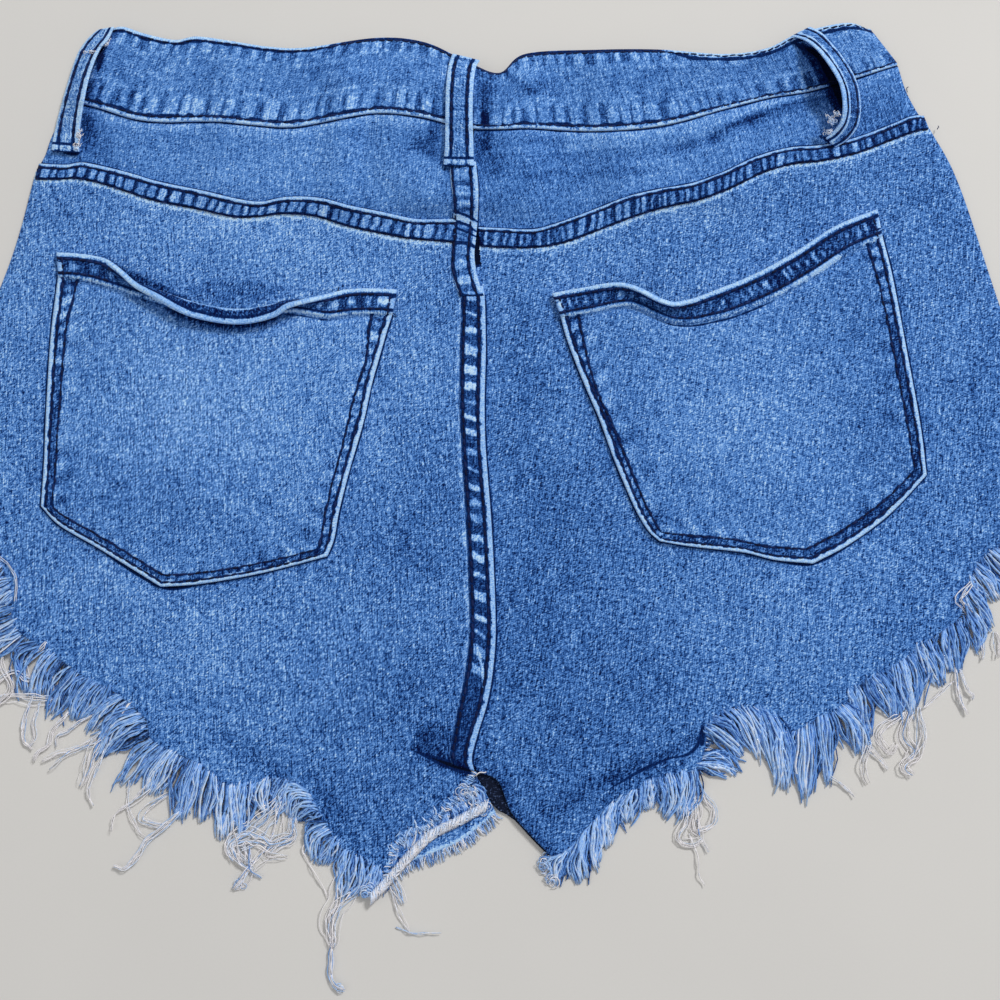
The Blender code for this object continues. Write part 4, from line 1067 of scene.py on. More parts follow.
def denim(name, seed, shift=0.0, weave=1.0):
    """Washed stretch denim: twill with slubs; worn rims, dark stitched rows and painted shadow lines by the marks."""
    f = Finish(name, 0.9, sheen=0.015, specular=0.05)
    grain = f.attribute("grain").outputs["Vector"]
    tone, rim, dark_rows_and_shadow = f.split(f.attribute("marks").outputs["Vector"])[:3]
    inner = f.attribute("inner").outputs["Fac"]
    warp = f.noise(grain, (0.50, 2.2), seed)
    weft = f.noise(grain, (1.45, 0.52), seed + 1)
    twill = f.noise(f.turned(grain, 52), (0.47, 2.0), seed + 2)
    grit = f.noise(grain, (0.60, 0.60), seed + 3, 3.0, 0.6)
    slub = f.noise(grain, (0.75, 11.0), seed + 4)
    pick = f.noise(grain, (9.0, 0.9), seed + 5)
    cloud = f.noise(grain, (5.0, 5.0), seed + 6, 3.0)
    speck = f.math("ADD", f.step(grit, 0.10, 0.26), f.math("MULTIPLY", f.step(grit, -0.10, -0.26), -1.0))
    level = f.total(
        f.math("ADD", tone, 0.523 + shift),
        (warp, 0.80 * weave), (weft, 0.50 * weave), (twill, 0.88 * weave), (grit, 0.56 * weave),
        (slub, 0.50 * weave), (pick, 0.24 * weave), (cloud, 0.16), (speck, 0.13 * weave),
    )
    worn = f.step(f.total(rim, (grit, 1.3), (warp, 0.7)), -0.32, 0.30)
    level = f.mixed(worn, level, f.total(0.91, (grit, 0.50), (weft, 0.40), (warp, 0.20), (tone, 0.25)))
    # Painted shadows along folds and slits darken the cloth like the dark rows.
    aside, half = f.split(f.attribute("slit").outputs["Vector"])[:2]
    dark_rows_and_shadow = f.math("MAXIMUM", dark_rows_and_shadow, f.math("SUBTRACT", f.math("SUBTRACT", half, f.math("ABSOLUTE", aside)), 0.9))
    dark = f.math("MULTIPLY", f.step(f.total(dark_rows_and_shadow, (grit, 0.8)), -0.30, 0.08), 0.93)
    level = f.mixed(dark, level, f.total(0.075, (grit, 0.40), (warp, 0.26)))
    # The middle of a wide painted fold shadow or slit is painted in deep shade.
    deep = f.math("MULTIPLY", f.step(dark_rows_and_shadow, 0.60, 1.0), 0.9)
    face = f.mixed_colours(deep, f.ramp(level, DYE), f.ramp(grit, SHADE))
    back = f.ramp(f.total(0.55, (weft, 0.9), (warp, 0.5), (grit, 0.8), (tone, 0.8)), REVERSE)
    f.wire(f.mixed_colours(inner, face, back), f.shader.inputs["Base Color"])
    f.wire(f.total(0.90, (level, -0.12)), f.shader.inputs["Roughness"])
    f.bump(f.total(0.5, (warp, 0.8), (weft, 0.8), (twill, 0.9), (grit, 1.1), (slub, 0.5)), 0.75, 0.00028)
    return f.mat


def yarn(name, stops, seed, roughness=0.85):
    """Spun yarn; strand is (its own tone with painted shade, place along it, how bleached)."""
    f = Finish(name, roughness, sheen=0.05, specular=0.12)
    strand = f.attribute("strand").outputs["Vector"]
    own_and_shade, along, bleached = f.split(strand)[:3]
    place = f.vector("MULTIPLY", strand, (90.0, 12.0, 0.0))
    fuzz = f.noise(place, (1.0, 1.0), seed, 3.0)
    # Darker towards each strand's start: painted shade at the fringe's roots.
    level = f.total(0.02, (own_and_shade, 0.60), (along, 0.17), (bleached, 0.60), (fuzz, 0.60))
    f.wire(f.ramp(level, stops), f.shader.inputs["Base Color"])
    f.bump(f.noise(place, (0.35, 0.2), seed + 1), 0.5, 0.00010)
    return f.mat


def metal(name):
    f = Finish(name, 0.36, specular=0.5, metallic=1.0)
    place = f.attribute("grain").outputs["Vector"]
    brushed = f.noise(place, (0.12, 2.2), 3, 3.0)
    worn = f.noise(place, (2.2, 2.2), 5, 4.0)
    f.wire(f.ramp(f.total(0.5, (brushed, 0.5), (worn, 0.9)), [(0.0, (92, 84, 74)), (0.5, (150, 146, 138)), (1.0, (196, 194, 188))]), f.shader.inputs["Base Color"])
    f.wire(f.total(0.36, (worn, 0.35)), f.shader.inputs["Roughness"])
    f.bump(f.total(0.5, (brushed, 0.6), (worn, 0.7)), 0.4, 0.00008)
    return f.mat


DENIM = denim("denim", 1, weave=1.12)
DENIM_PATCH = denim("denim_patches", 31, weave=1.06)
DENIM_SEAM = denim("denim_seams", 61, weave=0.85)
DENIM_BAND = denim("denim_band", 151, weave=0.88)
FRINGE = yarn("frayed_yarn", [(0.0, (4, 18, 52)), (0.14, (36, 76, 140)), (0.30, (90, 140, 210)), (0.48, (136, 183, 244)), (0.66, (180, 213, 255)), (0.82, (218, 233, 255)), (1.0, (250, 247, 250))], 91)
TOPSTITCH = yarn("topstitch_thread", [(0.0, (3, 9, 34)), (0.35, (10, 20, 62)), (0.7, (22, 40, 92)), (1.0, (44, 68, 128))], 97, 0.75)
METAL = metal("button_metal")


# ---------------------------------------------------------------- parts of the sewing
def marks_of(tone, rim=-9.0, dark_rows_and_shadow=-9.0):
    shape = np.broadcast_shapes(np.shape(tone), np.shape(rim), np.shape(dark_rows_and_shadow))
    return np.stack([np.broadcast_to(a, shape) for a in (tone, rim, dark_rows_and_shadow)], -1)


def grain_of(x, y, degrees, shift=(0.0, 0.0)):
    """Cloth coordinates (mm) with the warp turned by degrees, drifting a little as worn cloth does."""
    a = math.radians(degrees)
    wx = x + 0.9 * mottle(x, y, 30, 71)
    wy = y + 0.9 * mottle(x, y, 30, 72)
    u, v = wx * math.cos(a) + wy * math.sin(a), -wx * math.sin(a) + wy * math.cos(a)
    return np.stack([u + shift[0], v + shift[1], np.zeros_like(u)], -1)


def ripple(s, shortest, longest, seed):
    """Irregular waves between -1 and 1, each shortest to longest (mm) long."""
    rng = np.random.default_rng(seed)
    edges = np.concatenate([[-60.0], -60.0 + np.cumsum(rng.uniform(shortest, longest, 400))])
    phase = np.interp(s, edges, np.arange(401.0))
    size = np.interp(s, edges, rng.uniform(0.25, 1.0, 401))
    return size * np.sin(2 * math.pi * phase)


def cloth_grid(top, bottom, left, right, pitch_u, pitch_v, beside=(0.0, 0.0), above=(0.0, 0.0)):
    """Grid of a panel; beside and above are the fine margins at left and right, top and bottom."""
    u = graded(max(top.total, bottom.total), pitch_u, margins=beside)
    v = graded(max(left.total, right.total), pitch_v, margins=above)
    plan = coons(top, bottom, left, right, u, v)
    return plan[..., 0], plan[..., 1]


def iso(points, field, value):
    """Where the field reaches value down each column of the grid (it grows down the rows)."""
    out = np.empty((points.shape[1], points.shape[2]))
    rows = np.arange(points.shape[0], dtype=float)
    for j in range(points.shape[1]):
        k = np.interp(value, field[:, j], rows)
        i = min(int(k), points.shape[0] - 2)
        out[j] = points[i, j] * (1 - k + i) + points[i + 1, j] * (k - i)
    return out


SEWN = {}


def sew(group, path, normal=None, pitch=STITCH_PITCH, gap=STITCH_GAP, radius=THREAD_RADIUS, seed=0, sink=0.42, lift=0.10, start=0.6):
    """Lockstitches along a path of points on the cloth."""
    step = np.linalg.norm(np.diff(path, axis=0), axis=1)
    run = np.concatenate([[0], np.cumsum(step)])
    count = int((run[-1] - 2 * start) / pitch)
    if count < 1:
        return
    if normal is None:
        normal = np.broadcast_to((0.0, 0.0, 1.0), path.shape)
    rng = np.random.default_rng(5000 + seed)
    a = start + pitch * np.arange(count) + gap / 2 + rng.uniform(-0.12, 0.12, count)
    b = a + (pitch - gap) * rng.uniform(0.93, 1.05, count)
    t = np.array([0.0, 0.16, 0.5, 0.84, 1.0])
    s = a[:, None] + (b - a)[:, None] * t
    p = np.stack([np.interp(s, run, path[:, k]) for k in range(3)], -1)
    n = np.stack([np.interp(s, run, normal[:, k]) for k in range(3)], -1)
    n /= np.maximum(np.linalg.norm(n, axis=-1, keepdims=True), 1e-9)
    rise = np.array([-sink, lift * 0.7, lift + 0.06, lift * 0.7, -sink])
    p = p + n * (rise[None, :, None] + rng.uniform(-0.04, 0.05, (count, 1, 1)))
    along = (p[:, -1] - p[:, 0]) / np.linalg.norm(p[:, -1] - p[:, 0], axis=1, keepdims=True)
    aside = np.cross(n[:, 2], along)
    p = p + aside[:, None] * rng.uniform(-0.10, 0.10, (count, 1, 1)) + aside[:, None] * (np.array([-1, -0.7, 0, 0.7, 1]) * 0.10)[None, :, None]
    thick = radius * np.array([0.75, 1.0, 1.08, 1.0, 0.75])[None] * rng.uniform(0.9, 1.12, (count, 1))
    SEWN.setdefault(group, []).append((p, thick, rng.random(count)))


def add_stitches(group, slot):
    sides = 6
    paths = np.concatenate([p for p, _, _ in SEWN[group]])
    thick = np.concatenate([t for _, t, _ in SEWN[group]])
    own_and_shade = np.concatenate([o for _, _, o in SEWN[group]])
    paths[..., 2] = np.maximum(paths[..., 2], thick + 0.01)
    points, faces, index, share = tubes(paths, thick, sides)
    n, k = paths.shape[:2]
    first = np.arange(n)[:, None] * k * sides
    last = first + (k - 1) * sides
    caps = [first + np.array(q) for q in ([0, 1, 2, 3], [0, 3, 4, 5])] + [last + np.array(q) for q in ([3, 2, 1, 0], [5, 4, 3, 0])]
    strand = np.stack([own_and_shade[index], share, np.zeros(len(index))], -1)
    return add_mesh(group, points, np.vstack([faces] + caps), TOPSTITCH, slot=slot, strand=strand)


def add_yarns(name, groups, replaces=(), slot="frayed_thread", sides=3):
    """One mesh of yarns. groups are (paths (N, K, 3), radius, own tone with painted shade (N), bleached (N))."""
    points, faces, strands, base = [], [], [], 0
    for paths, radius, own_and_shade, bleached in groups:
        n, k = paths.shape[:2]
        paths = paths.copy()
        paths[..., 2] = np.maximum(paths[..., 2], np.reshape(radius, (-1, 1)) + 0.04)
        taper = np.interp(np.linspace(0, 1, k), [0, 0.06, 0.85, 1.0], [0.8, 1.0, 1.0, 0.6])
        p, f, index, share = tubes(paths, np.asarray(radius).reshape(-1, 1) * taper, sides)
        tri = np.vstack([f[:, [0, 1, 2]], f[:, [0, 2, 3]]])
        first = np.arange(n)[:, None] * k * sides
        last = first + (k - 1) * sides
        caps = [first + np.array([0, 1, 2]), last + np.array([2, 1, 0])]
        if sides == 4:
            caps += [first + np.array([0, 2, 3]), last + np.array([3, 2, 0])]
        points.append(p)
        faces.append(np.vstack([tri] + caps) + base)
        strands.append(np.stack([np.asarray(own_and_shade)[index], share, np.asarray(bleached)[index]], -1))
        base += len(p)
    return add_mesh(name, np.vstack(points), np.vstack(faces), FRINGE, replaces, slot, strand=np.vstack(strands))


# ---------------------------------------------------------------- body of the garment
POCKET_OUTLINES = {
    "left": chained(
        [r[:2] for r in MOUTH_LEFT], POCKET_LEFT_SIDES["right"],
        POCKET_LEFT_SIDES["bottom"][::-1], POCKET_LEFT_SIDES["left"][::-1],
    ),
    "right": chained(
        [r[:2] for r in MOUTH_RIGHT], POCKET_RIGHT_SIDES["right"],
        POCKET_RIGHT_SIDES["bottom"][::-1], POCKET_RIGHT_SIDES["left"][::-1],
    ),
}


EDGES = {"left": chained(EDGE_LEFT), "right": chained(EDGE_RIGHT)}


def fell_lines(rows):
    return Line([r[:2] for r in rows]), Line([r[2:] for r in rows])


def band_height(x, y):
    """Upper side of the back waistband."""
    z = back_low(x, y) + BAND + 0.22 * mottle(x, y, 30, 41) + 0.10 * mottle(x, y, 11, 42)
    z = z + 1.3 * plateau(x - 116, 26, 22) * ease((y - 178) / 16)
    return rolled(x, y, z, 2.6)


def over(x, y):
    """Upper side of what a belt loop lies on: the waistband, then the yoke."""
    rows = smooth_curve(BACK_BAND)
    seam = np.interp(x, rows[:, 2], rows[:, 3])
    share = ease((y - seam + 1.5) / 3)
    return surface(x, y) * (1 - share) + band_height(x, y) * share


def contact_shadow(off, run, seed, width=0.44):
    """Painted shadow line in the cloth just outside an edge that lies on it, off being the distance beyond it."""
    return width + 0.16 * wobble(run, 4.5, seed) - off


def pocket_outline(x, y, side):
    """Signed distance outside a pocket, its run and the painted shade round it."""
    line = POCKET_OUTLINES[side]
    off, run = line.near(x, y)
    within = np.zeros(np.shape(off), bool)
    for a, b in zip(line.p, line.p[1:]):
        if a[1] != b[1]:
            within ^= ((a[1] > y) != (b[1] > y)) & (x < a[0] + (y - a[1]) * (b[0] - a[0]) / (b[1] - a[1]))
    off = np.where(within, -1.0, 1.0) * np.abs(off)
    return off, run, -0.03 * ease(1 - off / 2.5) - 0.02 * ease(1 - off / 8.0)


# Painted shadows of thin folds, hollows and slits in the cloth.
#   x      y      half_width
FOLD_SHADOWS = {
    "left": [
        [(-33.0, -94.9, -0.20), (-28.5, -96.6, 0.50), (-22.1, -99.0, 1.20), (-16.0, -101.0, 1.55), (-9.0, -102.9, 1.20)],
    ],
    "right": [
        [(34.0, -112.0, -0.6), (37.8, -110.4, -0.1), (44.8, -106.4, 0.25), (51.9, -102.4, 0.45), (58.0, -99.8, 0.40), (63.0, -98.0, 0.20), (67.4, -97.3, 0.30)],
        [(67.4, -97.3, 0.30), (70.2, -96.0, 0.45), (73.2, -93.1, 0.55), (74.9, -88.0, 0.50)],
        [(75.2, -94.4, -0.6), (75.1, -91.4, 0.8), (75.1, -87.5, 0.7), (75.6, -84.2, -0.6)],
        [(112.0, -86.2, -0.6), (115.5, -84.1, 0.05), (119.5, -82.2, -0.6)],
        [(131.4, -77.2, -0.6), (134.3, -75.0, 0.10), (137.0, -73.2, -0.6)],
    ],
}

# Shaded hollows: where the left pocket's mouth stands open, and below the fold at the right hem.
#   x      y      half_width, with how much the cloth darkens
HOLLOWS = {
    "left": [
        (-0.40, [(-160.6, 99.6, 0.1), (-155.4, 95.9, 1.2), (-150.8, 92.0, 2.2), (-144.8, 89.0, 2.8), (-139.4, 86.5, 3.0), (-132.4, 82.7, 2.8), (-125.0, 79.3, 2.2), (-118.0, 75.9, 1.2)]),
        (-0.14, [(-33.0, -94.9, 0.4), (-29.0, -92.6, 3.6), (-26.0, -91.0, 6.0), (-20.0, -92.4, 7.0), (-13.0, -95.4, 5.5), (-9.0, -97.8, 4.5)]),
        (0.12, [(-31.6, -93.4, 0.3), (-29.8, -89.0, 0.8), (-27.0, -83.4, 0.9), (-22.4, -76.8, 0.4)]),
        (-0.13, [(-128.0, 86.0, 1.0), (-118.0, 84.5, 5.0), (-104.0, 83.5, 6.0), (-92.0, 84.5, 4.0), (-84.0, 86.0, 1.0)]),
    ],
    "right": [
        (-0.10, [(34.0, -115.0, 0.5), (44.0, -110.0, 3.0), (56.0, -104.0, 3.5), (66.0, -100.0, 2.5), (72.0, -96.0, 1.0)]),
    ],
}


# Painted shade beside the belt loops and in the creases under the waistband, and painted light on the ridges beside
# them.
LOOP_SHADE = [
    (-0.60, [(-167.1, 199.6, 0.8), (-167.4, 193.2, 1.8), (-167.6, 187.6, 2.0), (-168.2, 182.4, 0.8)]),
    (-0.17, [(-5.6, 187.0, 2.4), (-5.6, 176.0, 2.8), (-5.4, 164.6, 2.8), (-5.2, 153.2, 2.4), (-5.4, 145.5, 1.2)]),
    (-0.14, [(-26.4, 176.0, 1.6), (-27.2, 166.0, 2.6), (-27.6, 154.0, 2.6), (-27.7, 147.3, 1.4)]),
    (-0.16, [(-7.1, 184.8, 1.0), (2.1, 181.1, 2.0), (12.5, 173.7, 1.6), (18.8, 171.4, 0.6)]),
    (0.12, [(-5.0, 188.6, 0.6), (4.0, 184.4, 1.4), (13.0, 178.0, 0.8)]),
    (-0.20, [(90.0, 155.0, 0.4), (95.3, 157.3, 1.6), (109.7, 162.9, 1.8), (120.0, 167.0, 1.6), (127.9, 169.3, 1.8), (135.4, 170.0, 1.6)]),
    (0.14, [(88.0, 158.0, 0.6), (95.5, 160.9, 1.2), (109.8, 166.6, 1.2), (118.0, 169.4, 0.8)]),
    (-0.30, [(124.0, 196.4, 0.8), (128.0, 193.0, 2.6), (132.0, 188.6, 3.2), (134.6, 182.4, 3.4), (137.0, 175.2, 3.4), (139.4, 168.4, 2.8), (140.0, 163.0, 1.6)]),
]
LOOP_SHADE += [
    (0.12, [(-4.9, 145.5, 1.4), (6.2, 146.8, 2.4), (16.5, 147.4, 2.6), (28.9, 147.4, 2.6), (44.2, 148.2, 1.6), (60.0, 149.0, 0.6)]),
    (-0.09, [(4.0, 134.0, 0.8), (11.5, 134.8, 2.4), (24.6, 135.7, 2.8), (41.1, 135.9, 2.8), (57.5, 137.0, 2.6), (68.0, 139.0, 0.8)]),
    (0.15, [(-40.0, 147.2, 0.8), (-31.0, 142.4, 2.2), (-25.5, 137.6, 2.4), (-21.6, 133.4, 1.4)]),
]
# Painted black shadows in the gaps beside and below the belt loops.
LOOP_SHADOW_GAPS = [
    (1, [(124.4, 194.8, 0.5), (129.6, 192.6, 1.5), (134.2, 189.0, 2.2), (137.2, 183.0, 2.8), (140.2, 176.0, 2.9), (142.0, 169.1, 2.2), (142.4, 165.0, 0.9)]),
    (1, [(130.6, 153.6, -0.4), (133.6, 152.0, 0.8), (138.0, 150.4, 1.1), (142.6, 151.2, 0.8), (146.0, 153.4, -0.4)]),
    (1, [(-182.0, 146.0, -0.4), (-179.0, 145.2, 0.6), (-175.0, 144.8, 0.7), (-171.8, 145.6, -0.3)]),
    (1, [(-167.3, 196.4, -0.5), (-167.4, 192.0, 0.5), (-167.7, 187.0, 0.6), (-168.2, 184.0, -0.5)]),
]


def loop_gap_shadow(x, y):
    """Painted black shadow in the gaps beside and below the belt loops."""
    dark_rows_and_shadow = 0 * x - 9.0
    for _, row in LOOP_SHADOW_GAPS:
        line = Line(row)
        off, run = line.near(x, y)
        dark_rows_and_shadow = np.maximum(dark_rows_and_shadow, np.interp(run, line.run, line.rows[:, 2]) + 0.2 * wobble(run, 2.0, 95) - np.abs(off))
    return dark_rows_and_shadow


def hollow(x, y, rows):
    """How much painted shade darkens the cloth in its hollows, and painted light lightens the ridges beside them."""
    tone = 0 * x
    for amount, row in rows:
        line = Line(row)
        off, run = line.near(x, y)
        tone = tone + amount * ease((np.interp(run, line.run, line.rows[:, 2]) - np.abs(off)) / 1.2)
    return tone


def slit_of(x, y, rows):
    """For the cloth's finish: the distance aside of the nearest painted fold shadow, and how wide that is there."""
    aside, half = 0 * x + 50.0, 0 * x
    for row in rows:
        line = Line(row)
        off, run = line.near(x, y)
        wide = np.interp(run, line.run, line.rows[:, 2])
        nearer = wide - np.abs(off) > half - 0.9 - np.abs(aside)
        aside, half = np.where(nearer, off, aside), np.where(nearer, wide + 0.9, half)
    return np.stack([aside, half, 0 * x], -1)


def back_panels():
    for side, seam, fold, edge, crotch, fell, degrees in (
        ("left", YOKE_SEAM_LEFT, SIDE_LEFT, EDGE_LEFT, CROTCH_BACK_LEFT, FELL_YOKE_LEFT, 3.0),
        ("right", YOKE_SEAM_RIGHT, SIDE_RIGHT, EDGE_RIGHT, CROTCH_BACK_RIGHT, FELL_YOKE_RIGHT, -9.0),
    ):
        x, y = cloth_grid(Line(seam), Line(edge), Line(fold), chained(CENTRE_SEAM, crotch), 2.2, 2.2, beside=(0.0, 10.0), above=(9.0, 1.5))
        mid = np.stack([x, y, surface(x, y) - CLOTH / 2], -1)
        # Painted shade round the pockets and in the hollows, and a painted shadow line just outside the pockets' edges.
        off, run, shade = pocket_outline(x, y, side)
        tone = wash_and_shade(x, y) + shade + hollow(x, y, HOLLOWS[side])
        dark_rows_and_shadow = contact_shadow(off, run, 84)
        # The light line below the yoke's seam, scalloped by its stitches.
        _, low = fell_lines(fell)
        below, at = low.near(x, y)
        below = -below
        scallop = 0.55 + 0.45 * wobble(at, 2.6, 81)
        tone = tone + 0.34 * (0.7 + 0.3 * scallop) * ease(1 - (below - 0.35 - 1.0 * scallop) / 1.1) + 0.05 * ease(1 - below / 7)
        right_edge, blend_line = fell_lines(FELL_CENTRE)[1], fell_lines(FELL_CENTRE)[0]
        lower_half = ease((86 - y) / 4)
        if side == "left":
            away, at = blend_line.near(x, y)
            away = -away
            scallop = 0.5 + 0.5 * wobble(at, 3.0, 82)
            tone = tone + 0.30 * scallop * ease(1 - (away - 0.2 - 0.5 * scallop) / 1.1) * lower_half * ease((y + 88) / 14)
        else:
            # Painted shadow line and painted shade beside the centre seam's folded edge.
            away, at = right_edge.near(x, y)
            dark_rows_and_shadow = np.maximum(dark_rows_and_shadow, contact_shadow(away, at, 86, 0.52) - 9 * (1 - lower_half))
            tone = tone - 0.07 * ease(1 - away / 3.5) * lower_half
        # The crossing of the seams, and painted shade at the roots of the fringe.
        cut = np.abs(EDGES[side].near(x, y)[0])
        tone = tone - 0.13 * ease(1 - cut / 2.6) * (0.6 + 0.5 * mottle(x, y, 4.0, 87))
        rim = np.full(x.shape, -9.0)
        # A worn frayed rim on the left crotch edge; painted shade along both crotch edges.
        torn = np.abs(chained(crotch).near(x, y)[0])
        if side == "left":
            rim = np.maximum(rim, 0.9 + 0.6 * wobble(y, 2.5, 83) - torn)
            tone = tone - 0.10 * ease(1 - torn / 9)
        else:
            tone = tone - 0.16 * ease(1 - torn / 7)
        shell(
            "back_panel_" + side, mid, CLOTH, DENIM, ("back_panel_" + side,),
            grain=grain_of(x, y, degrees), marks=marks_of(tone, rim, dark_rows_and_shadow), slit=slit_of(x, y, FOLD_SHADOWS[side]),
        )


def yokes():
    for side, seam, fold, degrees, shift in (
        ("left", YOKE_SEAM_LEFT, SIDE_LEFT_YOKE, -4.0, (300.0, 40.0)),
        ("right", YOKE_SEAM_RIGHT, SIDE_RIGHT_YOKE, 12.0, (500.0, 80.0)),
    ):
        band = [r[2:] for r in BACK_BAND]
        middle = band.index((-15.0, 156.4))
        top = band[: middle + 1] if side == "left" else band[: middle - 1 : -1]
        beside = (0.0, 8.0)
        x, y = cloth_grid(Line(top), Line(seam), Line(fold), Line(CENTRE_YOKE), 1.7, 1.4, beside=beside, above=(3.0, 7.0))
        mid = np.stack([x, y, surface(x, y) - CLOTH / 2], -1)
        under, run = Line(band).near(x, y)
        under = -under
        above, at = fell_lines(FELL_YOKE_LEFT if side == "left" else FELL_YOKE_RIGHT)[0].near(x, y)
        left_line, right_line = fell_lines(FELL_CENTRE_YOKE)
        streak = mottle(x / 0.8, y / 5.0, 1.0, 88)
        tone = wash_and_shade(x, y) + ((0.15 if side == "left" else 0.10) + 0.06 * streak) * ease(1 - (under - 1.0) / 5.5)
        # Painted shade above the yoke seam's fold, then painted shade and painted light round the belt loops.
        tone = tone - 0.05 * ease(1 - (above - 0.4) / 2.5)
        tone = tone + hollow(x, y, LOOP_SHADE)
        # Painted shadow lines under the waistband's edge and above the yoke seam, and painted black shadows by the belt
        # loops.
        dark_rows_and_shadow = np.maximum(np.maximum(contact_shadow(under, run, 89, 0.58), contact_shadow(above, at, 90, 0.32)), loop_gap_shadow(x, y))
        # Beside the centre yoke seam: a painted shadow line on the right, painted shade on the left.
        if side == "right":
            away, at = right_line.near(x, y)
            dark_rows_and_shadow = np.maximum(dark_rows_and_shadow, contact_shadow(away, at, 91, 0.36) - 9 * ease((y - 139.5) / 2))
        else:
            away, at = left_line.near(x, y)
            tone = tone - 0.03 * ease(1 + away / 3)
        shell("yoke_" + side, mid, CLOTH, DENIM_BAND, ("yoke_" + side,), grain=grain_of(x, y, degrees, shift), marks=marks_of(tone, -9.0, dark_rows_and_shadow))


def felled(
    name, fold, blend, light, dark, seed, group, rows, halves, base=-0.10, gain=0.2, loss=0.2, size=0.95, slant=0.0,
    rim_width=1.25, level=(0.45, 1.0), fine=0.0, tooth=0.3, edge_light=0.0, lift=0.0, fade_ends=(0.0, 0.0), plain_after=None, details=(),
):
    """A flat-felled seam: a folded edge, two stitched rows and what is gathered between them.

    details are single lines of (x, y, half width) that cross it, worn (rim), dark (ink) or shaded.

    rows are the middles of the stitched rows from the fold and from the other edge, halves
    their half widths. gain and loss are the tones of the worn bars and of those between.
    """
    length = fold.total
    u = np.linspace(0, 1, int(length / 0.60) + 1)
    w = np.array([0, 0.03, 0.07, 0.11, 0.15, 0.19, 0.23, 0.27, 0.31, 0.36, 0.42, 0.48, 0.54, 0.60, 0.65, 0.70, 0.74, 0.78, 0.82, 0.86, 0.90, 0.935, 0.965, 0.985, 1.0])
    a, b = fold.at(u), blend.at(u)
    plan = a[None] * (1 - w[:, None, None]) + b[None] * w[:, None, None]
    x, y = plan[..., 0], plan[..., 1]
    width = np.linalg.norm(b - a, axis=-1)[None]
    run = (u * length)[None] + 0 * x
    near, far = w[:, None] * width, (1 - w[:, None]) * width
    ragged = 0.5 * wobble(run, 2.1, seed + 8)
    tips = 0.5 * wobble(run, 2.7, seed + 9)
    between = ease((near - rows[0] - halves[0] * 0.7 + 0.2 - 0.4 * ragged) / 0.5) * ease((far - rows[1] - halves[1] * 0.7 + 0.2 - 0.4 * tips) / 0.5)
    lean_here = slant * (0.7 + 0.6 * wobble(run, 11.0, seed + 2))
    p = bars(run + lean_here * (near - width / 2) + 0.45 * wobble(near + run * 0.3, 1.4, seed + 4), light, dark, seed, level)
    if plain_after is not None:
        p = p * (1 - 0.85 * ease((run - plain_after) / 6)) - 0.3 * ease((run - plain_after) / 6)
    h = size * (0.42 + 0.58 * quarter(near + 0.1, 0.8)) * ease((far - 0.05) / 1.2)
    h = h - 0.36 * ease(1 - np.abs(near - rows[0]) / (halves[0] + 0.3)) - 0.36 * ease(1 - np.abs(far - rows[1]) / (halves[1] + 0.3))
    h = h + 0.22 * p * between + 0.10 * wobble(run, 3.1, seed + 5)
    h = np.maximum(h, 0.07) + lift
    mid = np.stack([x, y, surface(x, y) + h / 2 - 0.125], -1)
    tone = wash_and_shade(x, y) + base * ease((far + 0.2) / 0.6) + (gain * np.maximum(p, 0) - loss * np.maximum(-p, 0)) * between
    tone = tone + fine * wobble(run + 0.2 * near, 0.75, seed + 12) * between
    tone = tone + edge_light * (0.7 + 0.3 * wobble(run, 3.0, seed + 13)) * ease(1 - far / 0.9)
    ends = np.ones_like(run)
    if fade_ends[0]:
        ends = ends * ease(run / fade_ends[0])
    if fade_ends[1]:
        ends = ends * ease((length - run) / fade_ends[1])
    teeth = tooth * wobble(run, 2.3, seed + 6) + 0.5 * tooth * wobble(run, 1.0, seed + 7)
    rim = (rim_width + teeth - near) * ends - 2.0 * (1 - ends)
    dark_rows_and_shadow = np.maximum(
        halves[0] + 0.22 * wobble(run, 1.6, seed + 14) - np.abs(near - rows[0] - 0.12 * wobble(run, 2.9, seed + 15)),
        halves[1] + 0.22 * wobble(run, 1.6, seed + 16) - np.abs(far - rows[1] - 0.12 * wobble(run, 2.9, seed + 17)),
    )
    for kind, size_of, points in details:
        line = Line(points)
        off, at = line.near(x, y)
        inside = np.interp(at, line.run, line.rows[:, 2]) + 0.12 * wobble(at, 1.6, seed + 21) - np.abs(off)
        if kind == "rim":
            rim, dark_rows_and_shadow = np.maximum(rim, inside), np.where(inside > -0.2, np.minimum(dark_rows_and_shadow, -inside), dark_rows_and_shadow)
        elif kind == "dark_rows_and_shadow":
            dark_rows_and_shadow = np.maximum(dark_rows_and_shadow, inside)
        else:
            tone = tone + size_of * ease(inside / 0.8)
    upper, _, _, normal = shell(name, mid, h + 0.25, DENIM_SEAM, grain=np.stack([x, y, 0 * x], -1), marks=marks_of(tone, rim, dark_rows_and_shadow), rounding=0.5)
    for k, (field, value) in enumerate(((near, rows[0]), (-far, -rows[1]))):
        both = iso(np.concatenate([upper, normal], -1), field + 0 * x, value)
        sew(group, both[:, :3], both[:, 3:], seed=seed + 10 + k, gap=0.4)
    return upper


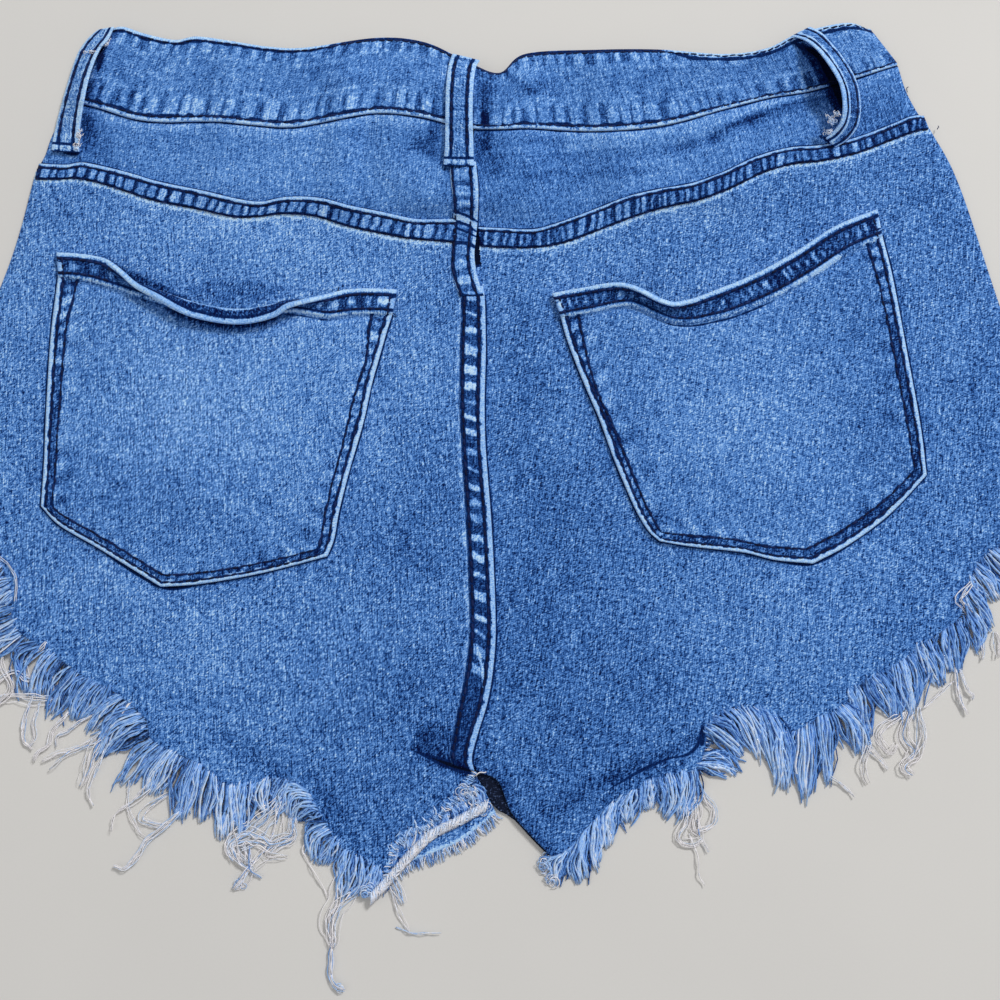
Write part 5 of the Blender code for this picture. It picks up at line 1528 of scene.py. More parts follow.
def seams():
    up, low = fell_lines(FELL_YOKE_RIGHT)
    felled(
        "seam_yoke_right", up, low, (0.8, 3.0), (1.0, 2.7), 120, "stitches_seams", rows=(1.45, 0.62), halves=(0.54, 0.62),
        base=-0.24, gain=0.50, loss=0.12, slant=0.30, rim_width=1.05, fine=0.09, tooth=0.5,
        details=[("shade", -0.5, [(-10.5, 109.0, 1.6), (-7.6, 103.0, 2.0), (-6.0, 98.0, 1.2)])],
    )
    left, right = fell_lines(FELL_CENTRE)
    felled(
        "seam_centre", right, left, (1.2, 4.4), (3.0, 5.8), 130, "stitches_seams", rows=(2.75, 1.65), halves=(0.72, 0.72),
        base=-0.20, gain=0.74, loss=0.04, slant=0.30, rim_width=1.9, tooth=0.6, edge_light=0.60, plain_after=154.0, fine=0.05,
        details=[("rim", 0, [(-9.2, -55.0, -0.4), (-8.2, -59.0, 0.5), (-6.6, -65.0, 0.6), (-6.4, -72.0, 0.3), (-6.8, -76.0, -0.4)])],
    )
    left, right = fell_lines(FELL_CENTRE_YOKE)
    felled(
        "seam_centre_yoke", right, left, (2.6, 6.5), (1.6, 3.4), 140, "stitches_seams", rows=(2.75, 1.0), halves=(0.62, 0.62),
        base=-0.06, gain=0.30, loss=0.08, slant=-0.15, rim_width=1.6, lift=0.35, fine=0.15,
        details=[
            ("rim", 0, [(-20.5, 138.0, 0.5), (-20.2, 130.0, 0.9), (-19.6, 121.0, 0.6)]),
            ("rim", 0, [(-19.6, 117.9, -0.5), (-18.5, 117.6, 1.15), (-13.0, 115.2, 1.1), (-9.2, 112.4, 0.9), (-7.0, 110.6, -0.5)]),
            ("dark_rows_and_shadow", 0, [(-19.6, 116.0, 0.4), (-13.6, 113.4, 0.45), (-9.8, 110.6, 0.3)]),
            ("dark_rows_and_shadow", 0, [(-18.4, 119.5, 0.3), (-12.6, 117.3, 0.4), (-8.8, 114.4, 0.3)]),
            ("dark_rows_and_shadow", 0, [(-20.0, 105.9, 0.6), (-12.9, 105.2, 0.65), (-10.2, 103.7, 0.6)]),
            ("dark_rows_and_shadow", 0, [(-19.0, 112.5, 0.35), (-15.0, 110.9, 0.35), (-9.6, 108.2, 0.3)]),
            ("rim", 0, [(-21.4, 101.5, -0.5), (-20.9, 97.5, 0.7), (-20.4, 92.9, 0.95), (-18.4, 87.0, 1.0), (-16.6, 83.4, 0.8)]),
            ("dark_rows_and_shadow", 0, [(-18.6, 84.6, 0.3), (-15.0, 83.0, 0.7), (-11.0, 82.3, 0.8), (-7.0, 83.2, 0.6)]),
        ],
    )
    up, low = fell_lines(FELL_YOKE_LEFT)
    felled(
        "seam_yoke_left", up, low, (1.4, 3.8), (0.9, 2.3), 110, "stitches_seams", rows=(1.85, 0.66), halves=(0.56, 0.62),
        base=-0.17, gain=0.42, loss=0.28, rim_width=1.35, fine=0.09, tooth=0.5, slant=0.12,
    )


def waistband_back():
    top = Line([r[:2] for r in BACK_BAND])
    seam = Line([r[2:] for r in BACK_BAND])
    ends = [Line([BACK_BAND[k][:2], BACK_BAND[k][2:]], smooth=False) for k in (0, -1)]
    u = graded(top.total, 0.78)
    v = graded(35.0, 0.9, 0.3, 0.3, 1.25)
    plan = coons(top, seam, *ends, u, v)
    x, y = plan[..., 0], plan[..., 1]
    run = (u * top.total)[None] + 0 * x
    down = v[:, None] * 35.0 + 0 * x
    up = 35.0 - down
    # Bars pulled in by the stitches along both edges, and the light lines they end at.
    high = bars(run + 0.35 * wobble(down, 2.2, 211), (1.3, 4.4), (1.6, 5.6), 201, (0.4, 1.0))
    low = bars(run + 0.5 * wobble(up, 3.0, 212) - 0.05 * up, (1.6, 5.6), (1.2, 4.4), 203, (0.35, 1.0))
    in_high = ease((down - 1.7) / 0.5) * ease((6.6 + 1.1 * wobble(run, 5.0, 213) - down) / 1.2)
    in_low = ease((up - 2.6) / 0.5) * ease((12.2 + 1.6 * wobble(run, 7.0, 214) - up) / 2.2)
    line_high = ease(1 - np.abs(down - 7.7 - 1.0 * wobble(run, 8.0, 215)) / 1.3) * (0.55 + 0.45 * wobble(run, 5.0, 216))
    line_low = ease(1 - np.abs(up - 13.4 - 1.4 * wobble(run, 9.0, 217)) / 1.0) * (0.55 + 0.45 * wobble(run, 6.0, 218))
    z = band_height(x, y) + 0.20 * high * in_high + 0.26 * low * in_low + 0.12 * line_high + 0.10 * line_low
    z = z - 0.34 * ease(1 - np.abs(down - 1.45) / 0.9) - 0.42 * ease(1 - np.abs(up - 2.25) / 1.1)
    mid = np.stack([x, y, z - BAND / 2], -1)
    tone = wash_and_shade(x, y) + 0.02 + (0.25 * np.maximum(high, 0) - 0.19 * np.maximum(-high, 0)) * in_high
    tone = tone + ((0.21 - 0.09 * ease(x / 12)) * np.maximum(low, 0) - 0.24 * np.maximum(-low, 0)) * in_low + 0.16 * line_high + 0.19 * line_low
    tone = tone + 0.065 * mottle(run / 0.7, down / 5.5, 1.0, 205) + 0.045 * mottle(run, down, 3.2, 219)
    tone = tone - 0.07 * ease(1 - np.abs(up - 16.2 - 1.2 * wobble(run, 10.0, 220)) / 1.4) * (0.5 + 0.5 * wobble(run, 9.0, 221))
    # Painted shade round the dip at the band's middle and along the dip.
    centre = np.exp(-(((x - 1.0) / 7.0) ** 2)) * ease((y - 178) / 7)
    tone = tone - 0.16 * centre
    dip = Line([(-1.2, 184.5), (-0.7, 180.0), (-1.4, 173.0)], smooth=False).near(x, y)[0]
    tone = tone - 0.26 * ease(1 - np.abs(dip) / 1.3)
    tone = tone + hollow(x, y, LOOP_SHADE)
    left_part = np.maximum(ease((-60 - x) / 20), ease((x - 66) / 10))
    teeth = 0.85 * np.abs(wobble(run, 1.8, 207)) + 0.30 * wobble(run, 0.9, 208)
    right_end = ease((x - 72) / 10)
    rim = np.maximum(1.0 * left_part + 1.6 * right_end + 0.30 * wobble(run, 2.8, 206) - 0.25 * (1 - left_part) - down, 0.70 + 1.2 * teeth - up)
    dark_rows_and_shadow = np.maximum(
        0.62 + 0.25 * right_end + 0.34 * wobble(run, 1.6, 222) - np.abs(down - 0.75 - 1.05 * left_part - 2.0 * right_end),
        0.70 + 0.42 * wobble(run, 1.7, 223) - np.abs(up - 2.55 - 0.20 * wobble(run, 2.4, 224)),
    )
    # Painted black shadows in the gaps by the belt loops.
    dark_rows_and_shadow = np.maximum(dark_rows_and_shadow, loop_gap_shadow(x, y))
    grain = np.stack([run, -down, 0 * x], -1) + (700.0, 0.0, 0.0)
    upper, _, _, normal = shell("waistband_back", mid, BAND, DENIM_BAND, ("waistband_back",), grain=grain, marks=marks_of(tone, rim, dark_rows_and_shadow), rounding=1.1)
    both = np.concatenate([upper, normal], -1)
    for k, (field, value) in enumerate(((down, 1.45), (-up, -2.25))):
        path = iso(both, field, value)
        sew("stitches_waistband", path[:, :3], path[:, 3:], seed=210 + k, pitch=3.3, gap=0.4)


# ---------------------------------------------------------------- pockets
#   down from the mouth, distance of the inner stitched row from the left and from the right side
INNER_ROWS = {
    "left": [(0.0, 8.0, 8.2), (8.0, 7.3, 7.2), (18.0, 6.1, 5.2), (30.0, 5.9, 5.4), (42.0, 5.9, 6.3), (62.0, 5.9, 5.7), (110.0, 5.9, 5.4)],
    "right": [(0.0, 7.3, 7.2), (12.0, 6.2, 6.6), (24.0, 4.6, 6.2), (34.0, 3.7, 6.0), (44.0, 4.0, 6.0), (58.0, 4.9, 6.0), (110.0, 5.3, 6.0)],
}


#     share of the mouth, half width of the worn line at the hem's foot, of the painted shadow line below it, strength
#     of the rungs
HEM_LINES = {
    "left": [(0.0, 0.40, -0.7, 1.0), (0.2, 0.34, -0.7, 0.9), (0.27, 0.20, -0.7, 0.6), (0.62, 0.20, -0.7, 0.6), (0.70, 0.34, 0.30, 0.8), (0.80, 0.42, 0.25, 1.0), (0.86, 0.42, -0.6, 1.3), (1.0, 0.46, -0.7, 1.5)],
    "right": [(0.0, 0.44, -0.7, 1.3), (0.22, 0.38, -0.7, 1.1), (0.30, 0.05, 0.10, 0.3), (0.36, 0.10, 0.40, 0.7), (0.60, 0.30, 0.36, 1.3), (0.70, 0.55, -0.4, 1.5), (0.82, 0.95, -0.7, 1.5), (0.86, 0.9, -0.7, 0.8), (0.88, -0.9, -0.7, 0.4), (0.91, -0.9, -0.7, 0.6), (0.93, 0.42, -0.7, 1.5), (1.0, 0.42, -0.7, 1.3)],
}


def pocket(side, mouth, sides, degrees, corners, seed, rims, foot, breaks, taller=0.0):
    """A patch pocket. rims are the worn widths at its left, bottom and right; foot scales the distance from its bottom edge."""
    axis = Line(mouth)
    tip = sides["tip"]
    bottom = chained(sides["bottom"][: tip + 1], sides["bottom"][tip:])
    left, right = Line(sides["left"]), Line(sides["right"])
    u = graded(max(axis.total, bottom.total), 1.3, fine=0.52, margins=(8.4, 8.4))
    v = graded(max(left.total, right.total), 1.4, 0.55, fine=0.52, margins=(2.0, 7.4))
    plan = coons(axis, bottom, left, right, u, v)
    bx, by = plan[..., 0], plan[..., 1]
    # The turned hem, from its folded rim (first row) down to where it is stitched.
    t = (HEM_DEPTH * (1 - graded(HEM_DEPTH, 0.62, 0.25, 0.5)))[:-1]
    bend = np.radians(axis.at(u, (2,))[:, 0])
    # Directions of the hem from a smoothed mouth, so that it doesn't cross itself.
    soft = np.array([axis.left(np.clip(u + d, 0, 1)) for d in np.linspace(-0.045, 0.045, 9)]).mean(axis=0)
    for end, corner in zip((0.0, 1.0), corners):
        share = ease(1 - np.abs(u - end) * axis.total / 14)[:, None]
        soft = soft * (1 - share) + np.array(corner) / math.hypot(*corner) * share
    soft /= np.linalg.norm(soft, axis=1, keepdims=True)
    fine = np.linspace(0, HEM_DEPTH, 160)
    turn = bend[None] * ease(fine / (0.72 * HEM_DEPTH))[:, None]
    out = np.concatenate([np.zeros((1, len(u))), np.cumsum(np.cos(turn[:-1]) * np.diff(fine)[:, None], axis=0)])
    lift = np.concatenate([np.zeros((1, len(u))), np.cumsum(np.sin(turn[:-1]) * np.diff(fine)[:, None], axis=0)])
    pick = np.array([[np.interp(k, fine, a[:, j]) for j in range(len(u))] for k in t for a in (out, lift)])
    reach, height = pick[0::2], pick[1::2]
    reach = reach * (1 + taller * plateau(axis.at(u)[:, 0] - 126, 32, 16))[None]
    roll = np.sin(np.clip(bend, 0, math.pi) / 2)[None]
    hx = plan[0, :, 0][None] + soft[:, 0][None] * reach
    hy = plan[0, :, 1][None] + soft[:, 1][None] * reach
    flat_x = plan[0, :, 0][None] + soft[:, 0][None] * t[:, None]
    flat_y = plan[0, :, 1][None] + soft[:, 1][None] * t[:, None]
    x, y = np.vstack([hx, bx]), np.vstack([hy, by])
    gx, gy = np.vstack([flat_x, bx]), np.vstack([flat_y, by])
    n = len(t)
    depth = np.concatenate([t, np.zeros(bx.shape[0])])[:, None] + 0 * x  # into the hem
    body_runs = border_runs(np.stack([bx, by, 0 * bx], -1))
    down = np.vstack([-t[:, None] + 0 * hx, body_runs["top"]])
    whole = border_runs(np.stack([gx, gy, 0 * gx], -1))
    off_left, off_right, off_low = whole["left"], whole["right"], whole["bottom"]
    edge = np.minimum(np.minimum(off_left, off_right), foot * off_low)
    table = np.array(INNER_ROWS[side])
    near_left, near_right = (off - np.interp(down, table[:, 0], table[:, k]) for off, k in ((off_left, 1), (off_right, 2)))
    inward = np.minimum(np.minimum(near_left, near_right), foot * off_low - 6.2)  # beyond the inner row
    along_side = whole["top"]
    along_low = whole["left"]
    # Heights: the pocket lies on the panel and gapes a little at its mouth.
    gape = (0.5 + 1.3 * roll) * np.exp(-np.maximum(down, 0) / 13.0) * np.sin(math.pi * u[None]) ** 0.7
    margin = ease(1 - np.abs(edge - 4.0) / 3.4)
    puck_side = ripple(along_side, 3.0, 5.5, seed + 1)
    puck_low = ripple(along_low, 3.5, 6.0, seed + 2)
    is_low = ease((np.minimum(off_left, off_right) - foot * off_low + 1.5) / 3.0)
    pucker = puck_side * (1 - is_low) + puck_low * is_low
    h = 0.62 + gape + 0.14 * mottle(gx, gy, 16, seed + 3) + 0.05 * mottle(gx, gy, 6, seed + 4)
    h = h + 0.20 * pucker * margin * ease(down / 4)
    h = h - 0.30 * ease(1 - np.abs(edge - 2.3) / 0.9) * ease((down + 8) / 3) - 0.26 * ease(1 - np.abs(inward) / 0.9) * ease((down + 1) / 3)
    draw = ripple(along_side + 0.3 * inward, 7.0, 12.5, seed + 6) * (1 - is_low) + 0.8 * ripple(along_low + 0.2 * inward, 6.0, 11.0, seed + 7) * is_low
    waves = ease(inward / 1.0) * ease(1 - (inward - 1.2) / 8.5) * ease((down - 6) / 4)
    h = h + 0.44 * draw * waves
    bulge = 0.55 * np.exp(-(((down + 0.3) / 0.9) ** 2)) - 0.40 * np.exp(-(((down - 1.9) / 1.1) ** 2))
    h = h + bulge * ease(np.minimum(off_left, off_right) / 5)
    stack = np.vstack([0.72 * height, 0 * bx])
    hem = ease((depth + 0.2) / 1.2)
    thick = CLOTH + 0.95 * hem
    z = surface(x, y) + h + 0.5 * thick * (1 - 0.25 * (1 - hem)) + stack
    if side == "right":
        z = z + 0.3 * np.exp(-np.maximum(down, 0) / 8) * plateau(u[None] - 0.62, 0.2, 0.25)
    mid = np.stack([x, y, z], -1)
    # Colours of the face.
    rng = seed + 20
    side_run, low_run = along_side + 0.3 * (edge - 4), along_low
    on_left = ease((off_right - off_left) / 6)
    wide = bars(side_run, (2.4, 4.6), (1.4, 3.0), rng, (0.4, 1.0))
    pearls = bars(side_run + 0.3 * wobble(edge * 3, 1.0, rng + 21), (1.3, 2.7), (0.7, 1.8), rng + 22, (0.35, 1.0))
    narrow = bars(low_run, (1.4, 3.2), (2.4, 5.0), rng + 1, (0.1, 0.8))
    flecks = ease((mottle(gx, gy, 1.5, rng + 11) - 0.25) / 0.4)
    middle_side = on_left if side == "right" else 1 - on_left  # the side towards the garment's middle
    upper_part = ease((44 - down) / 10)
    barred = (1 - is_low) * np.maximum(middle_side, upper_part)
    lit = wide * upper_part + pearls * (1 - upper_part)
    stitched = ease((edge - 2.2) / 0.5) * ease((0.2 - inward) / 0.5) * ease((down + 2) / 3)
    worked = barred * (0.40 * np.maximum(lit, 0) - 0.16 * np.maximum(-lit, 0) - 0.16)
    worked = worked + (1 - barred) * (-0.26 + 0.24 * flecks + 0.10 * np.maximum(narrow, 0) * is_low)
    tone = wash_and_shade(gx, gy) + 0.012 + worked * stitched
    tone = tone + 0.09 * plateau(inward - 2.4, 0.9, 2.4) * ease(down / 4) * (0.5 + 0.4 * wobble(along_side + along_low, 5.0, rng + 12))
    # Painted shade in the troughs of the drawn ripples and painted light on their crests.
    tone = tone + (0.13 * np.maximum(draw, 0) - 0.27 * np.maximum(-draw, 0) ** 1.4) * waves
    in_hem = ease((depth - 0.9) / 0.8) * ease((HEM_DEPTH - 1.6 - depth) / 0.8)
    run = (u * axis.total)[None] + 0 * x
    hem_lines = np.array(HEM_LINES[side])
    worn_foot, foot_shadow, rungs = (np.interp(u, hem_lines[:, 0], hem_lines[:, k])[None] for k in (1, 2, 3))
    narrow_rungs = side == "right"
    ladder = bars(run + 0.5 * wobble(depth + run * 0.2, 2.0, rng + 2), (0.9, 2.4) if narrow_rungs else (1.4, 4.4), (1.0, 2.6) if narrow_rungs else (1.6, 4.6), rng + 3, (0.35, 1.0)) * ease(1 - np.abs(depth - 5.2) / 3.4)
    tone = tone - 0.29 * in_hem + 0.62 * rungs * in_hem * np.maximum(ladder, -0.16) * (0.75 + 0.5 * mottle(gx, gy, 1.6, rng + 4))
    # Painted shadow on the body under the rolled-out rim.
    rolled_out = ease((np.degrees(bend) - 60) / 60)[None]
    hangs = np.maximum(-reach[0], 0.0)[None]
    shadow = np.exp(-(((np.maximum(down, 0) - hangs - 0.7) / 1.6) ** 2)) * ease(hangs / 3.0 + rolled_out * 0.5) * (down > 0)
    tone = tone - 0.52 * shadow
    rim_width = 1.35 + 0.85 * rolled_out + 0.30 * wobble(run, 2.6, rng + 5) + 0.15 * wobble(run, 1.1, rng + 13)
    rim = rim_width - (HEM_DEPTH - depth)
    worn_run = along_side + along_low
    tooth = 0.40 * wobble(worn_run, 1.9, rng + 6) + 0.30 * wobble(worn_run, 1.0, rng + 14)
    side_rim = np.maximum(
        np.maximum(rims[0] + tooth - off_left, rims[2] + tooth - off_right),
        rims[1] + 1.4 * tooth + 0.5 * np.exp(-(((gx - sides["bottom"][tip][0]) / 7.0) ** 2)) - off_low,
    )
    for off, places in ((off_left, breaks[0]), (off_right, breaks[1])):
        for place in places:
            side_rim = side_rim - 4 * ease(1 - (np.abs(depth - place) - 0.25) / 0.35) * (depth > 0.1) * ease((6 - off) / 1.0)
    rim = np.maximum(rim, side_rim)
    ridge = worn_foot + 0.20 * wobble(run, 3.0, rng + 7) - np.abs(down + 0.35)
    ridge = ridge + 0.9 * np.minimum(bars(run, (3.2, 9.5), (0.4, 1.2), rng + 15, (1.0, 1.0)), 0)
    rim = np.maximum(rim, np.where(np.minimum(off_left, off_right) > 6.5, ridge, ridge * 0.5))
    dark_rows_and_shadow = np.maximum(
        0.72 + 0.36 * wobble(worn_run, 1.5, rng + 16) - np.abs(edge - 2.35 - 0.20 * wobble(worn_run, 2.3, rng + 17)),
        0.60 + 0.34 * wobble(worn_run, 1.5, rng + 18) - np.abs(inward - 0.20 * wobble(worn_run, 2.4, rng + 19)),
    ) - 9 * (1 - ease((down + 1.5) / 1.5))
    dark_rows_and_shadow = np.maximum(dark_rows_and_shadow, np.maximum(0.60 - np.abs(depth - (HEM_DEPTH - 2.5)), 0.52 - np.abs(depth - 1.75)))
    # Painted shadow line below the hem's foot.
    dark_rows_and_shadow = np.maximum(dark_rows_and_shadow, foot_shadow + 0.15 * wobble(run, 2.0, rng + 20) - np.abs(down - 1.35))
    marks = marks_of(tone, rim, dark_rows_and_shadow)
    # The hem's other side: dark and unworn, with a pale line where its turned edge ends.
    inside_tone = np.where(depth > 0.1, -0.34 + 0.10 * mottle(gx, gy, 2.6, rng + 8) + 0.08 * mottle(gx, gy, 7, rng + 9), tone)
    crest = 1.05 + 0.35 * wobble(run, 3.5, rng + 10) - np.abs(depth - 3.9)
    inside_rim = np.maximum(rim_width - (HEM_DEPTH - depth), crest * rolled_out - 3 * (1 - rolled_out))
    inside_ink = 0.45 - np.abs(depth - (HEM_DEPTH - 2.9))
    low_marks = marks_of(inside_tone, np.where(depth > 0.1, inside_rim, -9.0), np.where(depth > 0.1, inside_ink, -9.0))
    low_inner = np.where(depth > 0.6, 0.0, 1.0)
    name = "pocket_back_" + side
    upper, lower, _, normal = shell(
        name, mid, thick, DENIM_PATCH, (name,), slot="denim_patches", rounding=0.65,
        grain=grain_of(gx, gy, degrees, (900.0 + seed, 300.0)), marks=marks, low={"marks": low_marks, "inner": low_inner},
    )
    # Stitches: two rows round the sides and the bottom, one under the rim and one over the hem's foot.
    both = np.concatenate([upper, normal], -1)
    group = "stitches_pocket_" + side
    for k, value in enumerate((2.3, 6.2)):
        low_value = value / foot
        keep_from = n if k else 3
        by_left, by_right = (near_left + 6.2, near_right + 6.2) if k else (off_left, off_right)
        part_left = iso(both[keep_from:].transpose(1, 0, 2), by_left[keep_from:].T, value)
        part_left = part_left[[off_low[keep_from + i, 0] > low_value for i in range(part_left.shape[0])]]
        part_right = iso(both[keep_from:].transpose(1, 0, 2)[::-1], by_right[keep_from:].T[::-1], value)
        part_right = part_right[[off_low[keep_from + i, -1] > low_value for i in range(part_right.shape[0])]]
        part_low = iso(both[::-1], off_low[::-1], low_value)
        kept = [j for j in range(both.shape[1]) if by_left[-1, j] > value * 0.97 and by_right[-1, j] > value * 0.97]
        part_low = part_low[kept]
        for q, part in enumerate((part_left, part_low, part_right[::-1])):
            sew(group, part[:, :3], part[:, 3:], seed=seed + 30 + 3 * k + q, pitch=2.9)
    flat = np.degrees(bend) < 62
    for k, value in enumerate((HEM_DEPTH - 2.5, 1.75)):
        path = iso(both[: n + 1], -depth[: n + 1], -value)
        for span in np.split(np.arange(len(u)), np.where(np.diff(flat.astype(int)) != 0)[0] + 1):
            if flat[span[0]] and len(span) > 6:
                sew(group, path[span][:, :3], path[span][:, 3:], seed=seed + 40 + k, pitch=3.1)
    return upper


# ---------------------------------------------------------------- belt loops
def strap(name, sections, material, group, seed, lie=None, tack_low=True, around=56, stand_shade=0.0, rims=(1.55, 1.55), spread=0.8, shade=0.0):
    """A folded belt loop with rounded edges, its two stitched rows and its worn edges."""
    c = smooth_curve(sections, 14)
    left, right = c[:, :3].copy(), c[:, 3:].copy()
    if lie is not None:
        for e in (left, right):
            e[:, 2] += lie(e[:, 0], e[:, 1]) + 0.15 + LOOP / 2
    floor_at = -9.0 if lie is not None else 0.02
    middle = (left + right) / 2
    run = np.concatenate([[0], np.cumsum(np.linalg.norm(np.diff(middle, axis=0), axis=1))])
    total = run[-1]
    s = np.concatenate([[0, 0.02, 0.15, 0.4, 0.8], np.linspace(1.3, total - 1.3, int(total / 0.5)), [total - 0.8, total - 0.4, total - 0.15, total - 0.02, total]])
    left, right = (np.stack([np.interp(s, run, e[:, k]) for k in range(3)], -1) for e in (left, right))
    middle, half = (left + right) / 2, (right - left) / 2
    width = np.linalg.norm(half, axis=1)
    across = half / width[:, None]
    ahead = np.gradient(middle, axis=0)
    ahead /= np.maximum(np.linalg.norm(ahead, axis=1, keepdims=True), 1e-9)
    up = np.cross(across, ahead)
    if np.median(up[:, 2]) < 0:
        up = -up
    up /= np.linalg.norm(up, axis=1, keepdims=True)
    phi = np.linspace(0, 2 * math.pi, around, endpoint=False)
    cw = np.sign(np.cos(phi)) * np.abs(np.cos(phi)) ** 0.55
    ch = np.sign(np.sin(phi)) * np.abs(np.sin(phi)) ** 0.60
    end = quarter(np.minimum(s, total - s), 0.8)
    rows = 0.56
    thick = LOOP / 2 * (1 + 0.10 * wobble(s, 4.0, seed)[:, None]) * np.ones((1, around))
    groove = 0.30 * ease(1 - np.abs(np.abs(cw)[None] * width[:, None] - rows * width[:, None]) / 0.8)
    thick = thick - groove
    tacked = ease(1 - np.abs(total - 2.3 - s) / 1.5)[:, None] * float(tack_low)
    lumps = np.abs(np.sin(2 * math.pi * cw))[None]
    thick = thick + tacked * (0.30 * lumps - 0.05)
    squeeze = (0.35 + 0.65 * end)[:, None]
    points = (
        middle[:, None]
        + across[:, None] * (cw[None] * (width[:, None] - 0.25 * (1 - end)[:, None]) * np.where(end[:, None] < 0.02, 0.0, 1.0))[..., None]
        + up[:, None] * (ch[None] * thick * squeeze * np.where(end[:, None] < 0.02, 0.0, 1.0))[..., None]
    )
    points[..., 2] = np.maximum(points[..., 2], floor_at)
    m = len(s)
    i = np.arange(m - 1)[:, None]
    j = np.arange(around)[None]
    j1 = (j + 1) % around
    faces = np.stack([i * around + j, i * around + j1, (i + 1) * around + j1, (i + 1) * around + j], -1).reshape(-1, 4)
    if np.dot(np.cross(across[m // 2], up[m // 2]), ahead[m // 2]) > 0:
        faces = faces[:, ::-1]
    off = width[:, None] - np.abs(cw)[None] * width[:, None]
    ss = s[:, None] + 0 * off
    inside = ease((off - 1.0) / 0.8)
    side = cw[None] * width[:, None]
    wear = bars(ss, (2.0, 4.5), (2.4, 5.0), seed + 1, (0.1, 1.0))
    flecks = ease((mottle(side + 40, ss, 1.4, seed + 11) - 0.1) / 0.5)
    # A loop that stands up is painted darker as shade.
    tone = shade - 0.05 + wash_and_shade(points[..., 0], points[..., 1]) + (0.02 + 0.07 * wear + 0.13 * flecks) * inside - 0.05 * stand_shade
    tooth = 0.25 * wobble(ss, 2.2, seed + 2) + 0.15 * wobble(ss, 1.0, seed + 12)
    rim = np.where(side < 0, rims[0], rims[1]) + tooth - off
    rim = np.maximum(rim, 1.0 + 0.3 * wobble(side + 0 * ss, 1.2, seed + 3) - ss)
    row = np.abs(np.abs(side) - rows * width[:, None])
    dark_rows_and_shadow = spread + 0.22 * wobble(ss, 1.8, seed + 13) - row
    if tack_low:
        back = total - ss
        on_tack = 1.05 - np.abs(back - 2.3)
        gaps = np.minimum.reduce([np.abs(cw[None] - c) for c in (-0.46, 0.02, 0.48)]) * width[:, None]
        rim = np.where(on_tack > -0.2, np.maximum(rim, np.minimum(on_tack, gaps - 0.35)), rim)
        dark_rows_and_shadow = np.where(on_tack > 0, np.minimum(dark_rows_and_shadow, 0.3 - gaps), dark_rows_and_shadow)
        dark_rows_and_shadow = np.maximum(dark_rows_and_shadow, np.maximum(0.50 - np.abs(back - 3.9), 0.55 - back))
    else:
        rim = np.maximum(rim, 1.3 - (total - ss))
    grain = np.stack([cw[None] * width[:, None], ss, 0 * ss], -1) + (1300.0 + seed, 0.0, 0.0)
    add_mesh(
        name, points.reshape(-1, 3), faces, material, (name,), "denim_patches",
        grain=grain.reshape(-1, 3), marks=marks_of(tone, rim, dark_rows_and_shadow).reshape(-1, 3), inner=np.zeros(m * around),
    )
    body = slice(7, m - 12 if tack_low else m - 6)
    for sign in (-1, 1):
        path = middle + across * (sign * rows * width)[:, None] + up * (LOOP / 2 - 0.24)
        sew(group, path[body], up[body], seed=seed + 5 + sign, pitch=2.8, lift=0.06, gap=0.4)
    return middle, left, right, up


def belt_loops():
    strap("belt_loop_back_center", LOOP_BACK_CENTER, DENIM_PATCH, "stitches_loops", 410, over, rims=(1.7, 1.8), spread=0.62, shade=0.06)
    strap("belt_loop_back_left", LOOP_BACK_LEFT, DENIM_PATCH, "stitches_loops", 430, over, rims=(1.3, 2.7), spread=0.62, shade=0.18)
    strap("belt_loop_back_right", LOOP_BACK_RIGHT, DENIM_PATCH, "stitches_loops", 450, over, tack_low=False, stand_shade=1.0, rims=(4.0, 1.2), spread=0.45, shade=0.05)
    for k, (side, (x_top, y_top, x_low, y_low)) in enumerate(FRONT_LOOPS.items()):
        half = LOOP_WIDTH / 2
        sections = []
        for share in (0.0, 0.04, 0.5, 0.96, 1.0):
            x, y = x_top + (x_low - x_top) * share, y_top + (y_low - y_top) * share
            sections.append((x - half, y, LOOP / 2, x + half, y, LOOP / 2))
        strap("belt_loop_front_" + side, sections, DENIM_PATCH, "stitches_front", 470 + 20 * k)


# ---------------------------------------------------------------- front of the garment
SPREAD_OUTER, SPREAD_INNER = 5.0, 10.0


